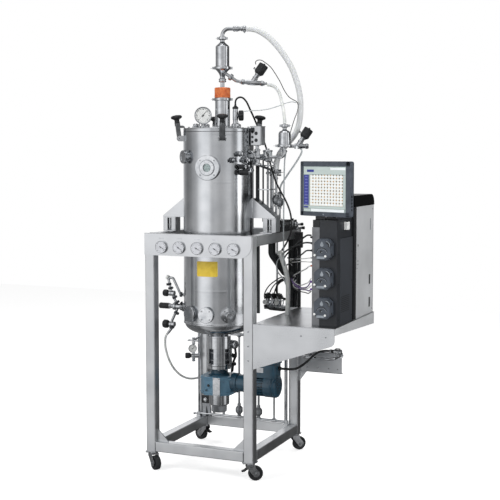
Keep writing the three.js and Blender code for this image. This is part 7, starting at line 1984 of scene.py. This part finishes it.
# Solenoid heads, barbs and spill tubes of the valve bank on the shelf side of the frame
def makeBankFittings():
    made, (dx, dy), z = newShape(), rack["drop"], rack["bank"]
    for k, offset in enumerate((-52, -20, 12)):
        x = dx + offset
        addPuck(made, (x, dy - 34, z + 24), (x, dy - 10, z + 24), 8, 1.2, 28, 0)
        addTurned(made, [(11, 0), (12.5, 1.5), (12.5, 9), (7, 11), (6, 18)], (x, dy - 32, z + 24),
                (0, -1, 0.25), 28, 1 if k != 1 else 0)
        addBox(made, x - 11, x + 11, dy - 14, dy + 16, z + 40, z + 66, 2, 3)
        addPuck(made, (x, dy, z + 64), (x, dy, z + 72), 6, 1, 20, 0)
        addPuck(made, (x + 10, dy - 4, z + 52), (x + 24, dy - 12, z + 56), 5, 1, 20, 2)
        tube = [(x + 22, dy - 12, z + 56), (x + 34, dy - 26, z + 50), (x + 36, dy - 34, z + 20),
                (x + 22, dy - 30, z - 6)]
        addTube(made, bentPath(tube, 14), 2.6, 12, 3)
    addTube(made, bentPath([(dx - 60, dy - 24, z + 4), (dx - 20, dy - 46, z - 8), (dx + 50, dy - 40, z - 12),
            (dx + 62, dy - 4, z - 12)], 20), 6.2, 20, 2)
    for x in (-40, 0, 34):
        addPuck(made, (dx + x, dy - 32, z - 4), (dx + x, dy - 19, z - 4), 8, 1, 28, 0)
        addPuck(made, (dx + x, dy - 33.4, z - 4), (dx + x, dy - 31.4, z - 4), 4.4, 0.4, 20, 2)
    finishPiece(made, "valve_bank_fittings", [buffedFitting, dialEnamel, blackNylon, clearPvc], sharp=35)


# Behind the lantern: the harvest valve; at the rear left: the feed cock of the condensate line
def makeLowerFittings():
    made = newShape()
    addTurned(made, [(8, -14), (8, 0), (21, 1), (23, 3), (23, 30), (21, 32), (21, 37), (23, 39), (23, 44),
            (21, 46), (21, 52), (23, 54), (23, 60), (21, 62), (21, 68), (8, 70), (8, 84)], (0, 84, 612),
            (0.96, -0.28, 0), 48, 0)
    addRod(made, (-12, 86, 640), (4, 82, 612), 9, 24)
    addTube(made, bentPath([(60, 66, 596), (66, 64, 560), (52, 62, 520), (46, 62, 470)], 18), 6, 20, 1)
    addPuck(made, (38, 70, 555), (66, 62, 552), 11, 2, 32, 1)
    addPuck(made, (24, 74, 500), (62, 66, 512), 9, 2, 32, 1)
    addRod(made, (42, 60, 592), (42, 60, 466), 3.6, 16, 2)
    addPuck(made, (-34, 60, 655), (-34, 60, 632), 7, 1, 24, 1)
    addBox(made, -262, -208, 330, 360, 222, 262, 1, 3)
    addTurned(made, [(12, 0), (12, 5), (8, 7), (8, 12), (0.1, 12.4)], (-236, 330, 243), (0, -1, 0), 32, 0)
    addPrism(made, [(-262, 147), (-208, 147), (-216, 222), (-254, 222)], "XZ", -352, -340, 3, 1)
    addPrism(made, [(-240, 148), (-222, 148), (-236, 204)], "XZ", -341, -338, 1, 0.6)
    finishPiece(made, "lower_fittings", [buffedFitting, blackNylon, clearPvc, tumbledCasting], sharp=35)


makeLeads()
makeHeadBox()
makePortCluster()
makeRiserGroup()
makeBankFittings()
makeLowerFittings()
print("leads and small fittings made")


# The studio: a matt floor lifted to white for the camera only, and a room that only polished metal sees in
# full. Reach is in metres; low is where the room's lower levels take over, as the height of the way looked in.
studio = {"reach": 6, "paint": "#dedede", "lift": 0.62, "seen": 1.0, "fill": 0.42, "mirrored": 4.0,
          "blue": 1.015, "low": (-0.085, -0.115)}
white = (1, 1, 1, 1)
reach = studio["reach"]
floor = bpy.data.objects.new("studio_floor", bpy.data.meshes.new("studio_floor"))
floor.data.from_pydata([(-reach, -reach, 0), (reach, -reach, 0), (reach, reach, 0), (-reach, reach, 0)], [],
        [(0, 1, 2, 3)])
scene.collection.objects.link(floor)
floorPaint = emptied(bpy.data.materials.new("white_floor_paint"))  # matt floor paint
rays = addNode(floorPaint, "ShaderNodeLightPath")
matt = addNode(floorPaint, "ShaderNodeBsdfDiffuse", {"Color": linear(studio["paint"])})
lift = addNode(floorPaint, "ShaderNodeMath", {"operation": "MULTIPLY", 1: studio["lift"]},
        {0: rays.outputs["Is Camera Ray"]})
glow = addNode(floorPaint, "ShaderNodeEmission", {"Color": white}, {"Strength": lift.outputs[0]})
both = addNode(floorPaint, "ShaderNodeAddShader", links={0: matt.outputs[0], 1: glow.outputs[0]})
addNode(floorPaint, "ShaderNodeOutputMaterial", links={"Surface": both.outputs[0]})
floor.data.materials.append(floorPaint)
floor.visible_glossy = False  # steel sees the room below its horizon too

# The room as the metal sees it: white walls all round with broad darker bands between the lamps.
room = emptied(bpy.data.worlds.new("studio_room"))
scene.world = room
# brightness by compass: degrees from the front, towards the right
levels = [
    (-180, 0.16), (-171, 0.40), (-158, 1.25), (-134, 0.75), (-115, 0.40), (-97, 0.26), (-79, 0.33), (-64, 0.52),
    (-51, 0.68), (-40, 1.12), (-28, 1.32), (-8, 1.20), (3, 0.70), (13, 0.78), (23, 0.68), (32, 0.60),
    (42, 0.68), (53, 0.88), (63, 0.92), (70, 0.60), (77, 0.40), (85, 0.50), (92, 1.60), (102, 1.60),
    (110, 0.14), (150, 0.10), (180, 0.16)]
lowLevels = [
    (-180, 0.12), (-158, 0.45), (-128, 0.50), (-104, 0.46), (-85, 0.48), (-70, 0.56), (-62, 0.52), (-56, 0.10),
    (-51, 0.45), (-44, 1.05), (-33, 1.48), (-21, 1.42), (-10, 1.25), (0, 0.98), (8, 0.50), (19, 0.58),
    (29, 0.34), (39, 0.30), (49, 0.24), (59, 0.18), (70, 0.26), (80, 0.50), (90, 1.60), (106, 1.60),
    (114, 0.24), (150, 0.12), (180, 0.12)]

# strength by height: dim towards the floor, level at the eye, dimmer above, bright under the overhead softbox
rise = [
    (-1.0, 0.34), (-0.24, 0.36), (-0.13, 0.98), (0.25, 1.0), (0.75, 0.55), (0.86, 0.70), (0.92, 2.0), (1.0, 2.0)]

direction = addNode(room, "ShaderNodeTexCoord")
xyz = addNode(room, "ShaderNodeSeparateXYZ", links={0: direction.outputs["Generated"]})
toFront = addNode(room, "ShaderNodeMath", {"operation": "MULTIPLY", 1: -1.0}, {0: xyz.outputs[1]})
around = addNode(room, "ShaderNodeMath", {"operation": "ARCTAN2"}, {0: xyz.outputs[0], 1: toFront.outputs[0]})
turn = addNode(room, "ShaderNodeMapRange", {"From Min": -math.pi, "From Max": math.pi, "To Min": 0,
        "To Max": 1}, {"Value": around.outputs[0]})
height = addNode(room, "ShaderNodeMapRange", {"From Min": -1.0, "From Max": 1.0, "To Min": 0, "To Max": 1},
        {"Value": xyz.outputs[2]})
low = addNode(room, "ShaderNodeMapRange", {"From Min": studio["low"][0], "From Max": studio["low"][1],
        "To Min": 0, "To Max": 1}, {"Value": xyz.outputs[2]})

# A ramp holds no more than 1, so the levels are halved here and doubled in the strength.
ramps = []
for factor, stops, start, span, blue, between in ((turn, levels, -180, 360, studio["blue"], "EASE"),
        (turn, lowLevels, -180, 360, studio["blue"], "EASE"), (height, rise, -1, 2, 1.0, "LINEAR")):
    ramp = addNode(room, "ShaderNodeValToRGB", links={"Fac": factor.outputs[0]})
    ramp.color_ramp.interpolation = between
    for _ in stops[2:]:
        ramp.color_ramp.elements.new(0.5)
    for element, (place, level) in zip(ramp.color_ramp.elements, stops):
        element.position = (place - start) / span
        element.color = (level / 2, level / 2, level / 2 * blue, 1)
    ramps.append(ramp.outputs[0])
bands = addNode(room, "ShaderNodeMix", {"data_type": "RGBA"}, {0: low.outputs[0], 6: ramps[0], 7: ramps[1]})
strength = addNode(room, "ShaderNodeMath", {"operation": "MULTIPLY", 1: studio["mirrored"]}, {0: ramps[2]})
mirrored = addNode(room, "ShaderNodeBackground", links={"Color": bands.outputs[2],
        "Strength": strength.outputs[0]})
lit = addNode(room, "ShaderNodeBackground", {"Color": white, "Strength": studio["fill"]})
seen = addNode(room, "ShaderNodeBackground", {"Color": white, "Strength": studio["seen"]})
rays = addNode(room, "ShaderNodeLightPath")
glossy = addNode(room, "ShaderNodeMixShader", links={0: rays.outputs["Is Glossy Ray"], 1: lit.outputs[0],
        2: mirrored.outputs[0]})
clear = addNode(room, "ShaderNodeMath", {"operation": "MAXIMUM"}, {0: rays.outputs["Is Camera Ray"],
        1: rays.outputs["Is Transmission Ray"]})
every = addNode(room, "ShaderNodeMixShader", links={0: clear.outputs[0], 1: glossy.outputs[0],
        2: seen.outputs[0]})
addNode(room, "ShaderNodeOutputWorld", links={"Surface": every.outputs[0]})

# Softboxes: places and targets in mm, sizes in metres, power in watts
lamps = [
    {"name": "key_softbox", "place": (-2600, -3200, 3600), "target": (0, 0, 1200), "size": (1.8, 2.4), "power": 120},
    {"name": "side_softbox", "place": (3300, -1800, 2600), "target": (100, 0, 1000), "size": (1.2, 2.4), "power": 70},
    {"name": "top_softbox", "place": (200, 600, 4300), "target": (100, 0, 600), "size": (2.4, 2.4), "power": 60},
]
for lamp in lamps:
    data = bpy.data.lights.new(lamp["name"], "AREA")
    data.shape, (data.size, data.size_y), data.energy = "RECTANGLE", lamp["size"], lamp["power"]
    light = bpy.data.objects.new(lamp["name"], data)
    scene.collection.objects.link(light)
    light.visible_glossy = False  # the bands of the room do the reflecting
    light.location = mm(*lamp["place"])
    light.rotation_euler = (mm(*lamp["target"]) - light.location).to_track_quat("-Z", "Y").to_euler()

# Two narrow strip lights close to the right of the vessel: they only show as the bright line down its wall.
strips = [
    {"name": "strip_light_low", "place": (462, -42, 940), "width": 0.126, "tall": 0.31},
    {"name": "strip_light_high", "place": (462, -56, 1297), "width": 0.078, "tall": 0.39},
]
stripBrightness = 1.5  # as seen, against white at 1
for strip in strips:
    data = bpy.data.lights.new(strip["name"], "AREA")
    data.shape, data.size, data.size_y = "RECTANGLE", strip["tall"], strip["width"]
    data.energy = stripBrightness * math.pi * strip["width"] * strip["tall"]
    light = bpy.data.objects.new(strip["name"], data)
    scene.collection.objects.link(light)
    light.visible_camera = light.visible_diffuse = light.visible_transmission = False
    light.location = mm(*strip["place"])
    light.rotation_euler = (0, math.radians(90), 0)

scene.view_settings.view_transform = "Standard"
print("studio lit")
